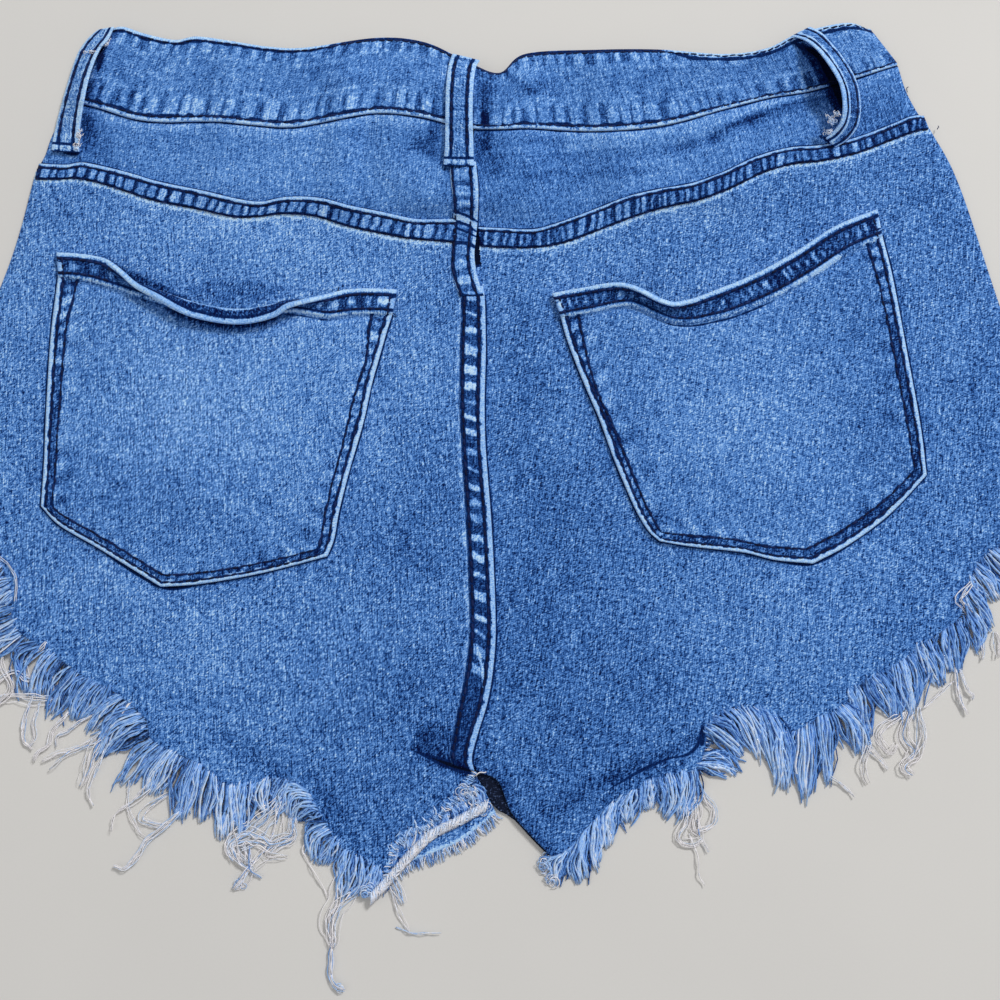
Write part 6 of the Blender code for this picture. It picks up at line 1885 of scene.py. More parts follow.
def waistband_fronts():
    rows = smooth_curve(FRONT_BAND)
    for side, first, last, inner, seed in (
        ("left", FRONT_BAND[0][0] + 1.0, FRONT_CENTRE + LAP_OVER, False, 500),
        ("right", FRONT_CENTRE - LAP_UNDER, FRONT_BAND[-1][0] - 1.0, True, 520),
    ):
        part = rows[(rows[:, 0] >= first) & (rows[:, 0] <= last)]
        top, seam = Line(part[:, :2], smooth=False), Line(part[:, 2:], smooth=False)
        ends = [Line([part[k, :2], part[k, 2:]], smooth=False) for k in (0, -1)]
        u, v = graded(top.total, 1.6), graded(34.0, 1.6)
        plan = coons(top, seam, *ends, u, v)
        x, y = plan[..., 0], plan[..., 1]
        run = (u * top.total)[None] + 0 * x
        down = v[:, None] * 34.0 + 0 * x
        up = 34.0 - down
        ends_off = np.minimum(run, top.total - run)
        pull = 0.5 * ripple(run, 5, 9, seed) * ease(1 - down / 12) + 0.7 * ripple(run, 6, 10, seed + 1) * ease(1 - up / 13)
        z = BAND / 2 + front_rise(x, y, SPREAD_INNER if inner else SPREAD_OUTER, inner) + 0.16 * pull
        groove = 0.42 * np.maximum(ease(1 - np.abs(down - 3.0) / 1.1), ease(1 - np.abs(up - 3.0) / 1.1))
        mid = np.stack([x, y, np.maximum(z, BAND / 2 + 0.03) + groove / 2], -1)
        tone = wash_and_shade(x, y) - 0.02 + 0.09 * pull
        rim = np.maximum(0.85 + 0.4 * wobble(run, 2.8, seed + 2) - down, 1.4 + 0.4 * wobble(run, 3.0, seed + 3) - up)
        rim = np.maximum(rim, 1.0 - ends_off)
        dark_rows_and_shadow = np.maximum(0.36 - np.abs(down - 3.0), 0.40 - np.abs(up - 3.0))
        name = "waistband_front_" + side
        grain = np.stack([run, -down, 0 * x], -1) + (1700.0 + seed, 0.0, 0.0)
        flat_marks = marks_of(tone - 0.04, rim - 0.4, dark_rows_and_shadow)
        _, lower, _, normal = shell(
            name, mid, BAND - groove, DENIM, (name,), grain=grain, rounding=1.1,
            marks=flat_marks, low={"marks": marks_of(tone, rim, dark_rows_and_shadow), "inner": 0 * x},
        )
        both = np.concatenate([lower, -normal], -1)
        for k, (field, value) in enumerate(((down, 3.0), (-up, -3.0))):
            path = iso(both, field, value)
            sew("stitches_front", path[:, :3], path[:, 3:], seed=seed + 10 + k, pitch=3.3, radius=0.28, lift=-0.06)


def front_panels():
    rows = smooth_curve(FRONT_BAND)[:, 2:]
    for side, side_all, hem, crotch, inner, degrees, seed in (
        ("left", SIDE_LEFT_YOKE + SIDE_LEFT[1:], HEM_FRONT_LEFT, CROTCH_FRONT_LEFT, False, -2.0, 540),
        ("right", SIDE_RIGHT_YOKE + SIDE_RIGHT[1:], HEM_FRONT_RIGHT, CROTCH_FRONT_RIGHT, True, 3.0, 560),
    ):
        sign = -1 if side == "left" else 1
        half = rows[rows[:, 0] <= FRONT_CENTRE] if side == "left" else rows[rows[:, 0] >= FRONT_CENTRE][::-1]
        top = Line(np.vstack([half[::12], [(FRONT_CENTRE, 133.0)]]))
        fold = np.array(side_all, float) + (-sign * 1.2, 0)
        fold[0], fold[-1] = top.p[0], hem[0][:2]
        edge = [r[:2] for r in hem]
        bottom = chained(edge, STRIP_FRONT_LEFT) if side == "left" else Line(edge)
        seam = chained(FRONT_SEAM, crotch)
        x, y = cloth_grid(top, bottom, Line(fold), seam, 3.4, 3.4)
        rise = front_rise(x, y, SPREAD_INNER if inner else SPREAD_OUTER)
        if inner:
            rise = rise + (BAND + GAP) * plateau(x - FRONT_CENTRE, LAP_OVER + 1.0, 16) * plateau(y - 133, 2, 24)
        fold_off = np.abs(Line(fold).near(x, y)[0])
        z = CLOTH / 2 + 0.15 + rise + 0.18 * (1 - quarter(fold_off, 3.0))
        crotch_off, _ = chained(STRIP_FRONT_LEFT).near(x, y)
        mid = np.stack([x, y, z], -1)
        from_seam = np.abs(seam.near(x, y)[0])
        from_band = np.abs(top.near(x, y)[0])
        tone = wash_and_shade(x, y) + 0.02
        tone_low = tone - 0.10 * np.exp(-((from_seam / 1.0) ** 2)) - 0.16 * np.exp(-((from_band / 1.4) ** 2))
        rim = np.full(x.shape, -9.0)
        if side == "left":
            rim = 1.3 + 0.7 * wobble(x, 2.0, seed) - np.abs(crotch_off)
        # Beside the inner leg the turned allowance shows the face; painted shade darkens the gap above it, the cloth
        # near the hem and, on the right, the cloth by the crotch.
        near_strip = (0.0, -9.0, 0 * x + 1)
        hem_off = np.abs(chained(edge).near(x, y)[0])
        in_shade = -0.40 * ease(1 - (hem_off - 3) / 12)
        if side == "left":
            strip_off = np.abs(crotch_off)
            near_strip = (0.10 * ease(1 - strip_off / 6) - 0.14 * ease((strip_off - 7) / 5), -9.0 + 0 * x, ease((strip_off - 15) / 2))
        else:
            inner_off = np.abs(chained(CROTCH_FRONT_RIGHT).near(x, y)[0])
            near_strip = (-0.72 * ease(1 - (inner_off - 9) / 9), -9.0 + 0 * x, 0 * x + 1)
        ink_low = np.full(x.shape, -9.0)
        rows_at = (1.8, 6.6) if side == "left" else ()
        for value in rows_at:
            ink_low = np.maximum(ink_low, 0.4 - np.abs(from_seam - value))
        grain = grain_of(x, y, degrees, (2100.0 + seed, 0.0))
        name = "front_panel_" + side
        upper, lower, _, normal = shell(
            name, mid, CLOTH - 0.30, DENIM, (name,), grain=grain, marks=marks_of(tone - 0.06 + near_strip[0] + in_shade * ease((near_strip[2] - 0.4) / 0.5), rim, near_strip[1]), inner=near_strip[2],
            low={"marks": marks_of(tone_low, rim, ink_low), "inner": 0 * x},
        )
        if side == "left":
            both = np.concatenate([lower, -normal], -1)
            for k, value in enumerate(rows_at):
                field = -from_seam.T
                path = iso(both.transpose(1, 0, 2), field, -value)
                sew("stitches_front", path[:, :3], path[:, 3:], seed=seed + 10 + k, radius=0.2, lift=-0.12)
            fly = smooth_curve([(-40.0, 137.0), (-40.5, 110.0), (-39.0, 86.0), (-33.0, 68.0), (-22.0, 56.5), (-13.0, 52.0)])
            for k, shift in enumerate((0.0, 4.8)):
                path = np.column_stack([fly[:, 0] + shift * 0.9, fly[:, 1] + shift * 0.55, np.full(len(fly), 0.30)])
                path[:, 2] += front_rise(path[:, 0], path[:, 1], SPREAD_OUTER)
                sew("stitches_front", path, np.broadcast_to((0.0, 0.0, -1.0), path.shape), seed=seed + 20 + k, sink=0.3, radius=0.2, lift=-0.12)


def waist_button():
    profile = [
        (0.0, 0.10), (0.25, 0.10), (0.52, 0.12), (0.56, 0.16), (0.58, 0.24), (0.61, 0.26), (0.64, 0.20), (0.67, 0.06), (0.74, 0.0),
        (0.86, 0.02), (0.93, 0.12), (0.98, 0.30), (1.0, 0.55), (0.99, 0.78), (0.95, 0.94), (0.88, 1.0), (0.4, 1.0), (0.0, 1.0),
    ]
    around = 72
    a = np.linspace(0, 2 * math.pi, around, endpoint=False)
    ring = np.array(profile[1:-1])
    x = BUTTON[0] + BUTTON_RADIUS * ring[:, :1] * np.cos(a)[None]
    y = BUTTON[1] + BUTTON_RADIUS * ring[:, :1] * np.sin(a)[None]
    z = BUTTON_HEIGHT * ring[:, 1:] + 0 * a[None]
    points = [np.stack([x, y, z], -1).reshape(-1, 3), [(BUTTON[0], BUTTON[1], BUTTON_HEIGHT * profile[0][1])], [(BUTTON[0], BUTTON[1], BUTTON_HEIGHT)]]
    points = np.vstack(points)
    m = len(ring)
    i, j = np.arange(m - 1)[:, None], np.arange(around)[None]
    j1 = (j + 1) % around
    side = np.stack([i * around + j, i * around + j1, (i + 1) * around + j1, (i + 1) * around + j], -1).reshape(-1, 4)
    k = np.arange(around)
    k1 = (k + 1) % around
    tri = np.concatenate([side[:, [0, 1, 2]], side[:, [0, 2, 3]]])
    face = np.stack([k1, k, np.full(around, m * around)], -1)
    back = np.stack([(m - 1) * around + k, (m - 1) * around + k1, np.full(around, m * around + 1)], -1)
    add_mesh("button", points, np.vstack([tri, face, back]), METAL, ("button",), "button_metal", grain=points - (BUTTON[0], BUTTON[1], 0.0))


# ---------------------------------------------------------------- frayed edges
def lie_of(x, y):
    """Height of what a loose yarn lies on: the legs inside their edges, the table outside."""
    side = np.where(x < 0, -1, 1)
    out = np.where(side < 0, EDGES["left"].near(x, y)[0], -EDGES["right"].near(x, y)[0])
    out = -out  # positive beyond the cut edge
    inside = surface(x, y)
    return inside * ease(1 - (out + 0.8) / 3.5)


def thread_paths(root, tip, lift0, lift1, bow, puff, rng, points=8, wave=0.35):
    """Threads from root points to tip points (N, 2), with their heights."""
    n = len(root)
    t = np.linspace(0, 1, points)[None]
    d = tip - root
    length = np.hypot(d[:, 0], d[:, 1])
    nx, ny = -d[:, 1] / length, d[:, 0] / length
    arc = (np.sin(math.pi * t) * np.reshape(bow, (-1, 1))) + wave * np.sin(2 * math.pi * (t * rng.uniform(0.5, 1.6, (n, 1)) + rng.random((n, 1)))) * ease(t / 0.35) * rng.uniform(0.3, 1.0, (n, 1))
    x = root[:, :1] + d[:, :1] * t + nx[:, None] * arc
    y = root[:, 1:] + d[:, 1:] * t + ny[:, None] * arc
    z = np.reshape(lift0, (-1, 1)) * (1 - t) ** 1.3 + np.reshape(lift1, (-1, 1)) * (1 - (1 - t) ** 1.3)
    z = z + np.reshape(puff, (-1, 1)) * np.sin(math.pi * t**0.8) + 0.12 * np.sin(2 * math.pi * (t * rng.uniform(0.6, 1.8, (n, 1)) + rng.random((n, 1)))) * t
    return np.stack([x, y, np.maximum(z, 0.40)], -1)


def tuft_threads(tufts, rng, per_mm=4.7, bleach=0.02):
    """Plump woolly lobes of threads, as wide at their rounded ends as at their roots."""
    out = []
    for rx0, ry0, rx1, ry1, tx0, ty0, tx1, ty1, bow, puff in tufts:
        wide = math.hypot(rx1 - rx0, ry1 - ry0)
        n = max(32, int(wide * per_mm))
        s = np.sort(rng.uniform(-0.02, 1.02, n))
        c = 2 * s - 1
        layer = rng.random(n)
        over_others = rng.random(n) < 0.13
        q = 0.5 + (s - 0.5) * 1.04 + rng.normal(0, 0.04, n) + over_others * rng.uniform(-0.30, 0.30, n)
        root = np.column_stack([rx0 + (rx1 - rx0) * s, ry0 + (ry1 - ry0) * s])
        tip = np.column_stack([tx0 + (tx1 - tx0) * q, ty0 + (ty1 - ty0) * q])
        d = tip - root
        far = np.hypot(d[:, 0], d[:, 1])[:, None]
        root = root - d / far * rng.uniform(0.5, 2.2, (n, 1))
        round_end = 1.05 - 0.30 * np.abs(c) ** 3
        reach = np.where(rng.random(n) < 0.14, rng.uniform(0.60, 0.88, n), rng.uniform(0.93, 1.02, n)) * round_end
        reach = np.where(rng.random(n) < 0.03, rng.uniform(1.08, 1.2, n), reach)[:, None]
        tip = root + (tip - root) * reach
        aside = np.sign((tip[:, 0] - root[:, 0]) * (ry1 - ry0) - (tip[:, 1] - root[:, 1]) * (rx1 - rx0))
        bulge = 0.24 * wide * c * np.abs(c) ** 0.5 * aside
        lift0 = surface(root[:, 0], root[:, 1]) - 0.35 - 0.9 * layer**1.5
        crown = 0.30 + 0.70 * np.sqrt(np.clip(1 - c**2, 0, 1))
        high = puff * crown * (1 - 0.75 * layer) * 0.9 + 0.35 * over_others
        lift1 = 0.3 + 0.45 * (1 - layer) * crown * rng.uniform(0.3, 1.0, n)
        paths = thread_paths(root, tip, lift0, lift1, bow * rng.uniform(0.4, 1.6, n) + bulge, high, rng, 9, 0.95)
        # Their ends curl in towards the lobe's middle.
        t = np.linspace(0, 1, 9)
        curl = ease((t - 0.58) / 0.42)[None] * (0.20 * wide * np.abs(c) ** 1.5 * rng.uniform(0.2, 1.3, n))[:, None]
        along = np.array([rx1 - rx0, ry1 - ry0]) / wide
        paths[..., :2] = paths[..., :2] - (np.sign(c)[:, None] * curl)[..., None] * along
        streak = wobble(s * wide, 0.75, int(abs(rx0 * 37) + abs(ry0 * 11)) + 17)
        # Painted shade: threads of the lower layers and at the lobe's sides are darker.
        own_and_shade = np.clip(0.23 + 0.60 * (1 - layer) + 0.35 * streak + 0.09 * rng.normal(0, 1, n) - 0.50 * np.abs(c) ** 4, 0, 1)
        white = np.where(rng.random(n) < bleach, rng.uniform(0.35, 0.7, n), rng.uniform(0.0, 0.12, n))
        white = np.where(over_others, rng.uniform(0.0, 0.14, n), white)
        out.append((paths, YARN_RADIUS * rng.uniform(0.90, 1.2, n) * (1.0 + 0.62 * (1 - layer)), own_and_shade, white))
    return out


def edge_threads(edge, rng, step, reach, lean_by, lift, inset=(0.4, 1.6), white=0.25, drop=0.3):
    """Short threads all along an edge, standing out of it."""
    n = int(edge.total / step)
    share = np.clip((np.arange(n) + rng.uniform(-0.5, 0.5, n)) / n, 0, 1)
    p = edge.at(share)
    normal = edge.left(share)
    along = np.column_stack([normal[:, 1], -normal[:, 0]])
    root = p - normal * rng.uniform(*inset, (n, 1))
    tip = p + normal * rng.uniform(*reach, (n, 1)) + along * (lean_by + rng.normal(0, 0.9, (n, 1)))
    low = np.maximum(lift(root[:, 0], root[:, 1]), 0.3)
    paths = thread_paths(root, tip, low, np.maximum(low * drop, 0.28), rng.normal(0, 0.3, n), rng.uniform(0, 0.5, n), rng, 5, 0.2)
    return [(paths, YARN_RADIUS * rng.uniform(0.6, 0.95, n), rng.random(n), np.where(rng.random(n) < white, 0.8, 0.1))]


def back_fringes():
    for side, tufts, seed in (("left", TUFTS_LEFT, 601), ("right", TUFTS_RIGHT, 602)):
        rng = np.random.default_rng(seed)
        groups = tuft_threads(tufts, rng)
        edge = EDGES[side]
        rows = edge.rows if side == "right" else edge.rows[::-1]
        out = Line(rows, smooth=False)
        groups += edge_threads(out, rng, 0.50, (0.8, 3.4), 0.0, lambda x, y: surface(x, y) - 0.45, white=0.06)
        add_yarns("fringe_back_" + side, groups, ("fringe_back_" + side,))


def front_fringes():
    for side, hem, seed in (("left", HEM_FRONT_LEFT, 611), ("right", HEM_FRONT_RIGHT, 612)):
        rng = np.random.default_rng(seed)
        rows = smooth_curve(hem, 16)
        edge, tips = Line(rows[:, :2], smooth=False), rows[:, 2:]
        n = int(edge.total * 2.5)
        share = np.sort(rng.random(n))
        clump = 0.5 + 0.5 * wobble(share * edge.total, 5.0, seed + 5)
        root = edge.at(share)
        tip = np.stack([np.interp(share * edge.total, edge.run, tips[: len(edge.run), k]) for k in range(2)], -1)
        d = tip - root
        root = root - d / np.hypot(d[:, 0], d[:, 1])[:, None] * 1.5
        tip = root + (tip - root) * (0.35 + 0.6 * clump[:, None] * rng.uniform(0.6, 1.1, (n, 1)))
        low = rng.uniform(0.5, 1.0, n)
        paths = thread_paths(root, tip, low, low * 0 + 0.3, rng.normal(0, 0.8, n), 0.1, rng, 6, 0.35)
        # Front threads are darker throughout: painted shade under the back layer.
        groups = [(paths, YARN_RADIUS * rng.uniform(0.7, 1.0, n), rng.uniform(0, 0.4, n), rng.uniform(0, 0.08, n))]
        add_yarns("fringe_front_" + side, groups, ("fringe_front_" + side,))


def loose_yarns():
    rng = np.random.default_rng(621)
    groups = []
    for count, spread, points in LONG_YARNS:
        first = np.array(points[0], float)
        back = first - np.array(points[1], float)
        c = smooth_curve(np.vstack([first + back / math.hypot(*back) * 3.5, np.array(points, float)]), 10)
        line = Line(c, smooth=False)
        k = int(np.clip(line.total / 1.1, 8, 60))
        t = np.linspace(0, 1, k)
        run_out = t * line.total
        base, normal = line.at(t), line.left(t)
        lie = lie_of(base[:, 0], base[:, 1])
        paths = []
        for n in range(count):
            fan = 0.30 + 1.9 * np.sin(math.pi * np.clip(t * rng.uniform(0.75, 1.0) + 0.04, 0, 1)) ** 0.8
            aside = rng.uniform(-1, 1) * spread * fan
            aside = aside + 0.45 * spread * wobble(t * line.total, rng.uniform(3, 7), 6300 + rng.integers(900))
            wander = 0.45 * wobble(t * line.total, rng.uniform(2.2, 4.5), 7300 + rng.integers(900)) * min(1.0, spread + 0.4)
            ahead = rng.uniform(-2.5, 2.5) * np.sin(math.pi * t) * 0.3
            xy = base + normal * (aside + wander)[:, None]
            xy = xy + np.column_stack([normal[:, 1], -normal[:, 0]]) * ahead[:, None]
            z = lie + 0.35 + (1.1 * np.abs(wobble(t * line.total, 5.0, 8300 + rng.integers(900))) + rng.uniform(0, 0.7)) * ease(run_out / 4)
            paths.append(np.column_stack([xy, np.maximum(z, 0.32)]))
        n = count
        groups.append((np.array(paths), rng.uniform(0.15, 0.24, n), rng.random(n), np.where(rng.random(n) < 0.90, rng.uniform(0.95, 1.4, n), 0.4)))
    add_yarns("loose_yarns", groups)


SERGED = [
    (-4.4, -114.6), (-14.2, -119.8), (-24.3, -124.8), (-30.9, -130.6), (-36.9, -137.0), (-42.2, -142.9), (-46.5, -147.2),
]


def crotch_yarns():
    """The serged edge of the inner leg seam and the frayed threads beside it."""
    rng = np.random.default_rng(631)
    line = Line(SERGED)
    t = np.linspace(0, 1, 90)
    base, normal = line.at(t), line.left(t)
    run = t * line.total
    groups = []
    height = 2.3 + 0.4 * wobble(run, 9.0, 641)
    paths = []
    for n in range(34):
        turn = 2 * math.pi * (run / rng.uniform(9, 16) + rng.random())
        r = rng.uniform(0.5, 1.55) * (0.85 + 0.2 * wobble(run, 6.0, 650 + n)) * np.interp(t, [0, 0.06, 0.9, 1], [0.6, 1, 1, 0.7])
        aside = r * np.cos(turn)
        z = height + 0.75 * r * np.sin(turn)
        paths.append(np.column_stack([base + normal * aside[:, None], z]))
    groups.append((np.array(paths), rng.uniform(0.34, 0.46, 34), rng.uniform(0.8, 1.0, 34), rng.uniform(0.3, 0.6, 34)))
    n = 200
    at = np.sort(rng.random(n))
    k = line.at(at)
    m = line.left(at)
    along = np.column_stack([m[:, 1], -m[:, 0]])
    h = np.interp(at, t, height)
    s = np.linspace(-1, 1, 7)
    p = np.empty((n, 7, 3))
    over_it = np.cos(s * math.pi / 2)
    p[..., :2] = k[:, None] + m[:, None] * (s * 1.8)[None, :, None] + along[:, None] * (s * rng.uniform(0.6, 2.6, (n, 1)))[..., None]
    p[..., 2] = h[:, None] - 0.4 + over_it[None] * rng.uniform(1.4, 2.1, (n, 1))
    groups.append((p, rng.uniform(0.22, 0.34, n), rng.uniform(0.75, 1.0, n), rng.uniform(0.3, 0.6, n)))
    # A knot and its frayed end.
    knot = []
    for n in range(26):
        c = np.array([-48.0, -145.0]) + rng.normal(0, 0.8, 2)
        a = 2 * math.pi * (np.linspace(0, rng.uniform(0.5, 1.1), 8) + rng.random())
        r = rng.uniform(0.8, 2.2)
        knot.append(np.column_stack([c[0] + r * np.cos(a), c[1] + 0.8 * r * np.sin(a), 1.6 + rng.uniform(0, 1.3) + 0.5 * np.sin(a)]))
    groups.append((np.array(knot), rng.uniform(0.18, 0.28, 26), rng.uniform(0.3, 1.0, 26), rng.uniform(0.1, 0.5, 26)))
    # Frayed threads where the legs part, a white end of sewing thread, and curled ends of yarns.
    for middle, count, reach, size, low, white in (
        ((-12.5, -110.0), 34, (2.6, 2.6), (0.7, 2.0), 2.4, (0.2, 1.0)), ((-7.0, -115.0), 30, (2.4, 2.2), (0.6, 1.8), 2.0, (0.2, 1.1)),
        ((-94.4, -142.6), 10, (1.2, 0.9), (0.7, 1.6), 0.4, (0.7, 1.2)), ((-56.9, -177.6), 9, (0.9, 0.8), (0.6, 1.4), 0.4, (0.8, 1.2)),
        ((16.2, -135.2), 34, (1.6, 2.2), (0.7, 2.0), 0.9, (0.3, 0.9)), ((18.6, -140.6), 26, (1.5, 1.8), (0.7, 1.9), 0.6, (0.3, 0.9)),
    ):
        curled = []
        for n in range(count):
            c = np.array(middle) + rng.normal(0, 0.5, 2) * reach
            a = 2 * math.pi * (np.linspace(0, rng.uniform(0.3, 0.9), 8) + rng.random())
            r = rng.uniform(*size) * np.linspace(1.0, rng.uniform(0.4, 1.0), 8)
            curled.append(np.column_stack([c[0] + r * np.cos(a), c[1] + r * np.sin(a), low + rng.uniform(0, 1.0) + 0.35 * np.sin(a)]))
        groups.append((np.array(curled), rng.uniform(0.13, 0.21, count), rng.random(count), rng.uniform(*white, count)))
    t8 = np.linspace(0, 1, 8)
    end = np.column_stack([-8.9 + 3.9 * t8, -104.2 + 1.9 * t8 + 0.5 * np.sin(5 * t8), surface(-7.0 + 0 * t8, -102.0 + 0 * t8) + 0.35 + 0.3 * np.sin(3 * t8)])
    groups.append((end[None], np.array([0.30]), np.array([0.9]), np.array([1.1])))
    groups += tuft_threads([
        (-37.0, -125.5, -25.0, -121.0, -38.5, -131.2, -27.0, -129.4, 0.4, 1.0), (-41.2, -130.0, -37.6, -127.4, -42.0, -135.2, -37.8, -136.2, 0.3, 0.8),
        (-24.0, -121.0, -17.0, -116.5, -25.5, -125.6, -19.0, -122.6, 0.3, 0.7),
    ], rng, per_mm=5.0, bleach=0.2)
    # Light tufts along the back panel's inner edge, and a bristle on the front's strip.
    edge = chained(CROTCH_BACK_LEFT)
    groups += edge_threads(Line(edge.rows[::-1], smooth=False), rng, 0.30, (0.8, 4.0), -0.8, lambda x, y: surface(x, y) - 0.05, white=0.30, drop=0.8)
    strip = Line(smooth_curve(STRIP_FRONT_LEFT), smooth=False)
    groups += edge_threads(Line(strip.rows[::-1], smooth=False), rng, 0.26, (1.8, 4.4), 0.8, lambda x, y: 0.9 + 0 * x, white=0.4)
    groups += tuft_threads([
        (-17.5, -112.8, -8.5, -108.2, -14.5, -118.6, -4.8, -115.0, 0.4, 1.3), (-26.0, -118.2, -17.0, -112.6, -22.6, -122.6, -14.0, -117.8, 0.4, 1.2),
        (-33.8, -123.8, -25.2, -117.8, -31.0, -128.2, -22.2, -122.8, 0.3, 1.1), (-39.0, -128.6, -33.2, -123.2, -37.6, -133.4, -30.8, -128.4, 0.3, 1.0),
        (-41.2, -136.0, -38.8, -128.8, -42.0, -138.0, -36.0, -132.6, 0.3, 0.8),
    ], rng, per_mm=4.6, bleach=0.10)
    add_yarns("inner_leg_yarns", groups)


def loop_frays():
    """Frayed cut ends and bar tacks of the belt loops."""
    rng = np.random.default_rng(671)
    groups = []
    for (x, y), count, reach, size, above, white in (
        ((-166.0, 199.4), 34, (1.6, 2.6), (0.6, 1.7), 1.6, (0.0, 0.45)), ((-165.8, 195.0), 20, (1.0, 1.6), (0.5, 1.4), 1.2, (0.1, 0.7)),
        ((-171.2, 191.2), 16, (2.6, 0.5), (0.5, 1.3), 3.6, (0.1, 0.6)), ((-174.2, 153.4), 24, (0.8, 2.4), (0.5, 1.4), 3.6, (0.2, 0.8)),
        ((-174.6, 148.2), 22, (1.0, 1.8), (0.5, 1.4), 2.2, (0.2, 0.9)), ((137.8, 160.2), 30, (1.5, 2.2), (0.6, 1.6), 8.0, (0.0, 0.5)),
        ((140.0, 163.2), 14, (1.0, 1.4), (0.6, 1.4), 9.6, (0.0, 0.4)), ((136.2, 154.4), 20, (1.4, 1.2), (0.6, 1.5), 4.4, (0.0, 0.4)),
    ):
        curled = []
        low = float(over(np.array([x]), np.array([y]))[0]) + above
        for n in range(count):
            c = np.array((x, y)) + rng.normal(0, 0.5, 2) * reach
            a = 2 * math.pi * (np.linspace(0, rng.uniform(0.3, 0.9), 8) + rng.random())
            r = 0.6 * rng.uniform(*size) * np.linspace(1.0, rng.uniform(0.4, 1.0), 8)
            curled.append(np.column_stack([c[0] + r * np.cos(a), c[1] + r * np.sin(a), low + rng.uniform(0, 0.8) + 0.3 * np.sin(a)]))
        groups.append((np.array(curled), rng.uniform(0.16, 0.24, count), rng.uniform(0.6, 1.0, count), 0.2 + rng.uniform(*white, count)))
    add_yarns("belt_loop_frays", groups)


def small_threads():
    """Single ends of sewing thread that stick out of the seams."""
    rng = np.random.default_rng(661)
    ends = [
        # x, y, turn (degrees), length, lift
        (-67.0, 81.0, 60.0, 6.0, 2.4), (-66.0, 80.0, 80.0, 5.0, 2.4), (-45.6, 76.0, -20.0, 4.5, 1.5),
        (27.5, 74.5, 200.0, 5.0, 1.2), (29.0, 75.5, 250.0, 4.0, 1.2), (170.6, 175.2, 235.0, 2.2, 0.4), (181.6, 157.4, 265.0, 1.8, 0.3),
    ]
    paths = []
    for x, y, turn, length, lift in ends:
        a = math.radians(turn)
        t = np.linspace(0, 1, 10)
        px = x + math.cos(a) * length * t + 0.7 * np.sin(3 * t + rng.random() * 6) * t
        py = y + math.sin(a) * length * t + 0.7 * np.cos(4 * t + rng.random() * 6) * t
        pz = surface(px, py) + 0.25 + lift * np.sin(math.pi * t) * 0.5
        paths.append(np.column_stack([px, py, pz]))
    points, faces, index, share = tubes(np.array(paths), 0.17, 6)
    n, k, sides = len(paths), 10, 6
    first = np.arange(n)[:, None] * k * sides
    last = first + (k - 1) * sides
    caps = [first + np.array(q) for q in ([0, 1, 2, 3], [0, 3, 4, 5])] + [last + np.array(q) for q in ([3, 2, 1, 0], [5, 4, 3, 0])]
    strand = np.stack([index / n, share, 0 * share], -1)
    add_mesh("thread_ends", points, np.vstack([faces] + caps), TOPSTITCH, slot="frayed_thread", strand=strand)


# ---------------------------------------------------------------- surroundings
def floor():
    half = 1.6
    mesh = bpy.data.meshes.new("floor")
    mesh.from_pydata([(-half, -half, -0.0002), (half, -half, -0.0002), (half, half, -0.0002), (-half, half, -0.0002)], [], [(0, 1, 2, 3)])
    f = Finish("floor_pale", 0.75, specular=0.2)
    where = f.node("ShaderNodeNewGeometry").outputs["Position"]
    cloud = f.noise(f.vector("MULTIPLY", where, (1000.0, 1000.0, 0.0)), (90.0, 90.0), 7, 4.0)
    fine = f.noise(f.vector("MULTIPLY", where, (1000.0, 1000.0, 0.0)), (0.8, 0.8), 8, 3.0)
    f.wire(f.ramp(f.total(0.5, (cloud, 0.25), (fine, 0.12)), [(0.0, (205, 203, 200)), (1.0, (226, 224, 220))]), f.shader.inputs["Base Color"])
    mesh.materials.append(f.mat)
    plane = bpy.data.objects.new("floor", mesh)
    bpy.context.scene.collection.objects.link(plane)


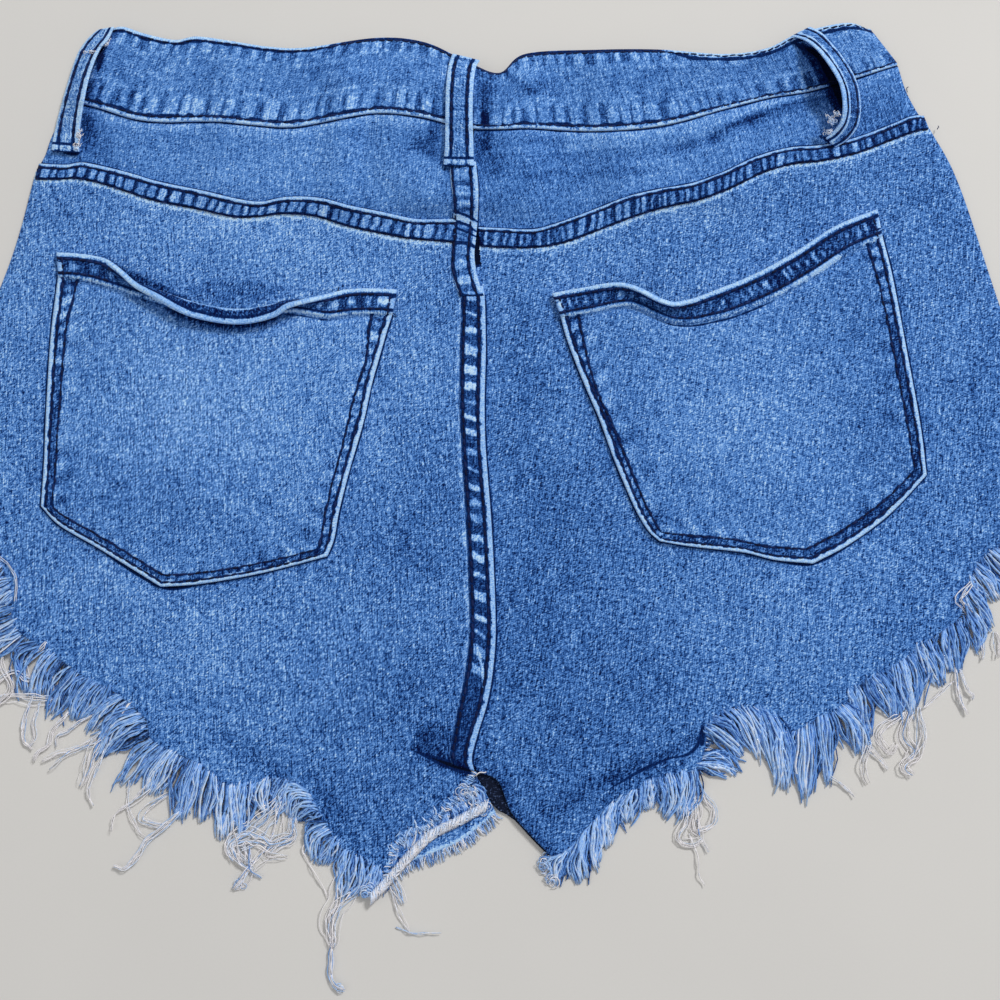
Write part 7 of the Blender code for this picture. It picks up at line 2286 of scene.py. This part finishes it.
def aim(obj, target):
    d = [t - o for t, o in zip(target, obj.location)]
    flat = math.hypot(d[0], d[1])
    obj.rotation_euler = (math.pi / 2 + math.atan2(d[2], flat), 0.0, math.atan2(d[1], d[0]) - math.pi / 2)


def light(name, place, size, power, tint=(1.0, 1.0, 1.0)):
    data = bpy.data.lights.new(name, "AREA")
    data.shape = "DISK"
    data.size = size
    data.energy = power
    data.color = tint
    lamp = bpy.data.objects.new(name, data)
    lamp.location = place
    bpy.context.scene.collection.objects.link(lamp)
    aim(lamp, (0.0, 0.0, 0.0))


def surroundings():
    floor()
    light("key", (1.24, 1.32, 1.9), 0.60, 43.0)
    light("fill", (-1.0, -0.7, 1.7), 1.6, 4.0)
    world = bpy.data.worlds.new("studio")
    world.use_nodes = True
    world.node_tree.nodes["Background"].inputs["Color"].default_value = (1.0, 1.0, 1.0, 1.0)
    world.node_tree.nodes["Background"].inputs["Strength"].default_value = 0.40
    scene = bpy.context.scene
    scene.world = world
    scene.view_settings.view_transform = "Standard"
    camera = bpy.data.cameras.new("camera")
    camera.lens = 39.6
    camera.sensor_width = 36.0
    camera.clip_start = 0.01
    eye = bpy.data.objects.new("camera", camera)
    eye.location = (0.0005, -0.10338, 0.42068)
    eye.rotation_euler = (TILT, 0.0, 0.0)
    scene.collection.objects.link(eye)
    scene.camera = eye


# ---------------------------------------------------------------- the garment
def build():
    back_panels()
    yokes()
    seams()
    waistband_back()
    pocket("left", MOUTH_LEFT, POCKET_LEFT_SIDES, 4.0, ((-1.5, 10.6), (1.6, 10.5)), 310, (1.6, 2.2, 1.75), 1.38, ((7.3, 1.9), (7.3, 1.3)))
    pocket("right", MOUTH_RIGHT, POCKET_RIGHT_SIDES, -11.0, ((-3.4, 10.0), (-1.3, 12.0)), 360, (1.9, 2.1, 1.4), 1.03, ((6.3,), (8.6, 3.0)), 0.13)
    belt_loops()
    waistband_fronts()
    front_panels()
    waist_button()
    back_fringes()
    front_fringes()
    loose_yarns()
    crotch_yarns()
    loop_frays()
    small_threads()
    for group in list(SEWN):
        if SEWN[group]:
            add_stitches(group, "denim_patches" if "pocket" in group or "loops" in group else "denim")


build()
surroundings()
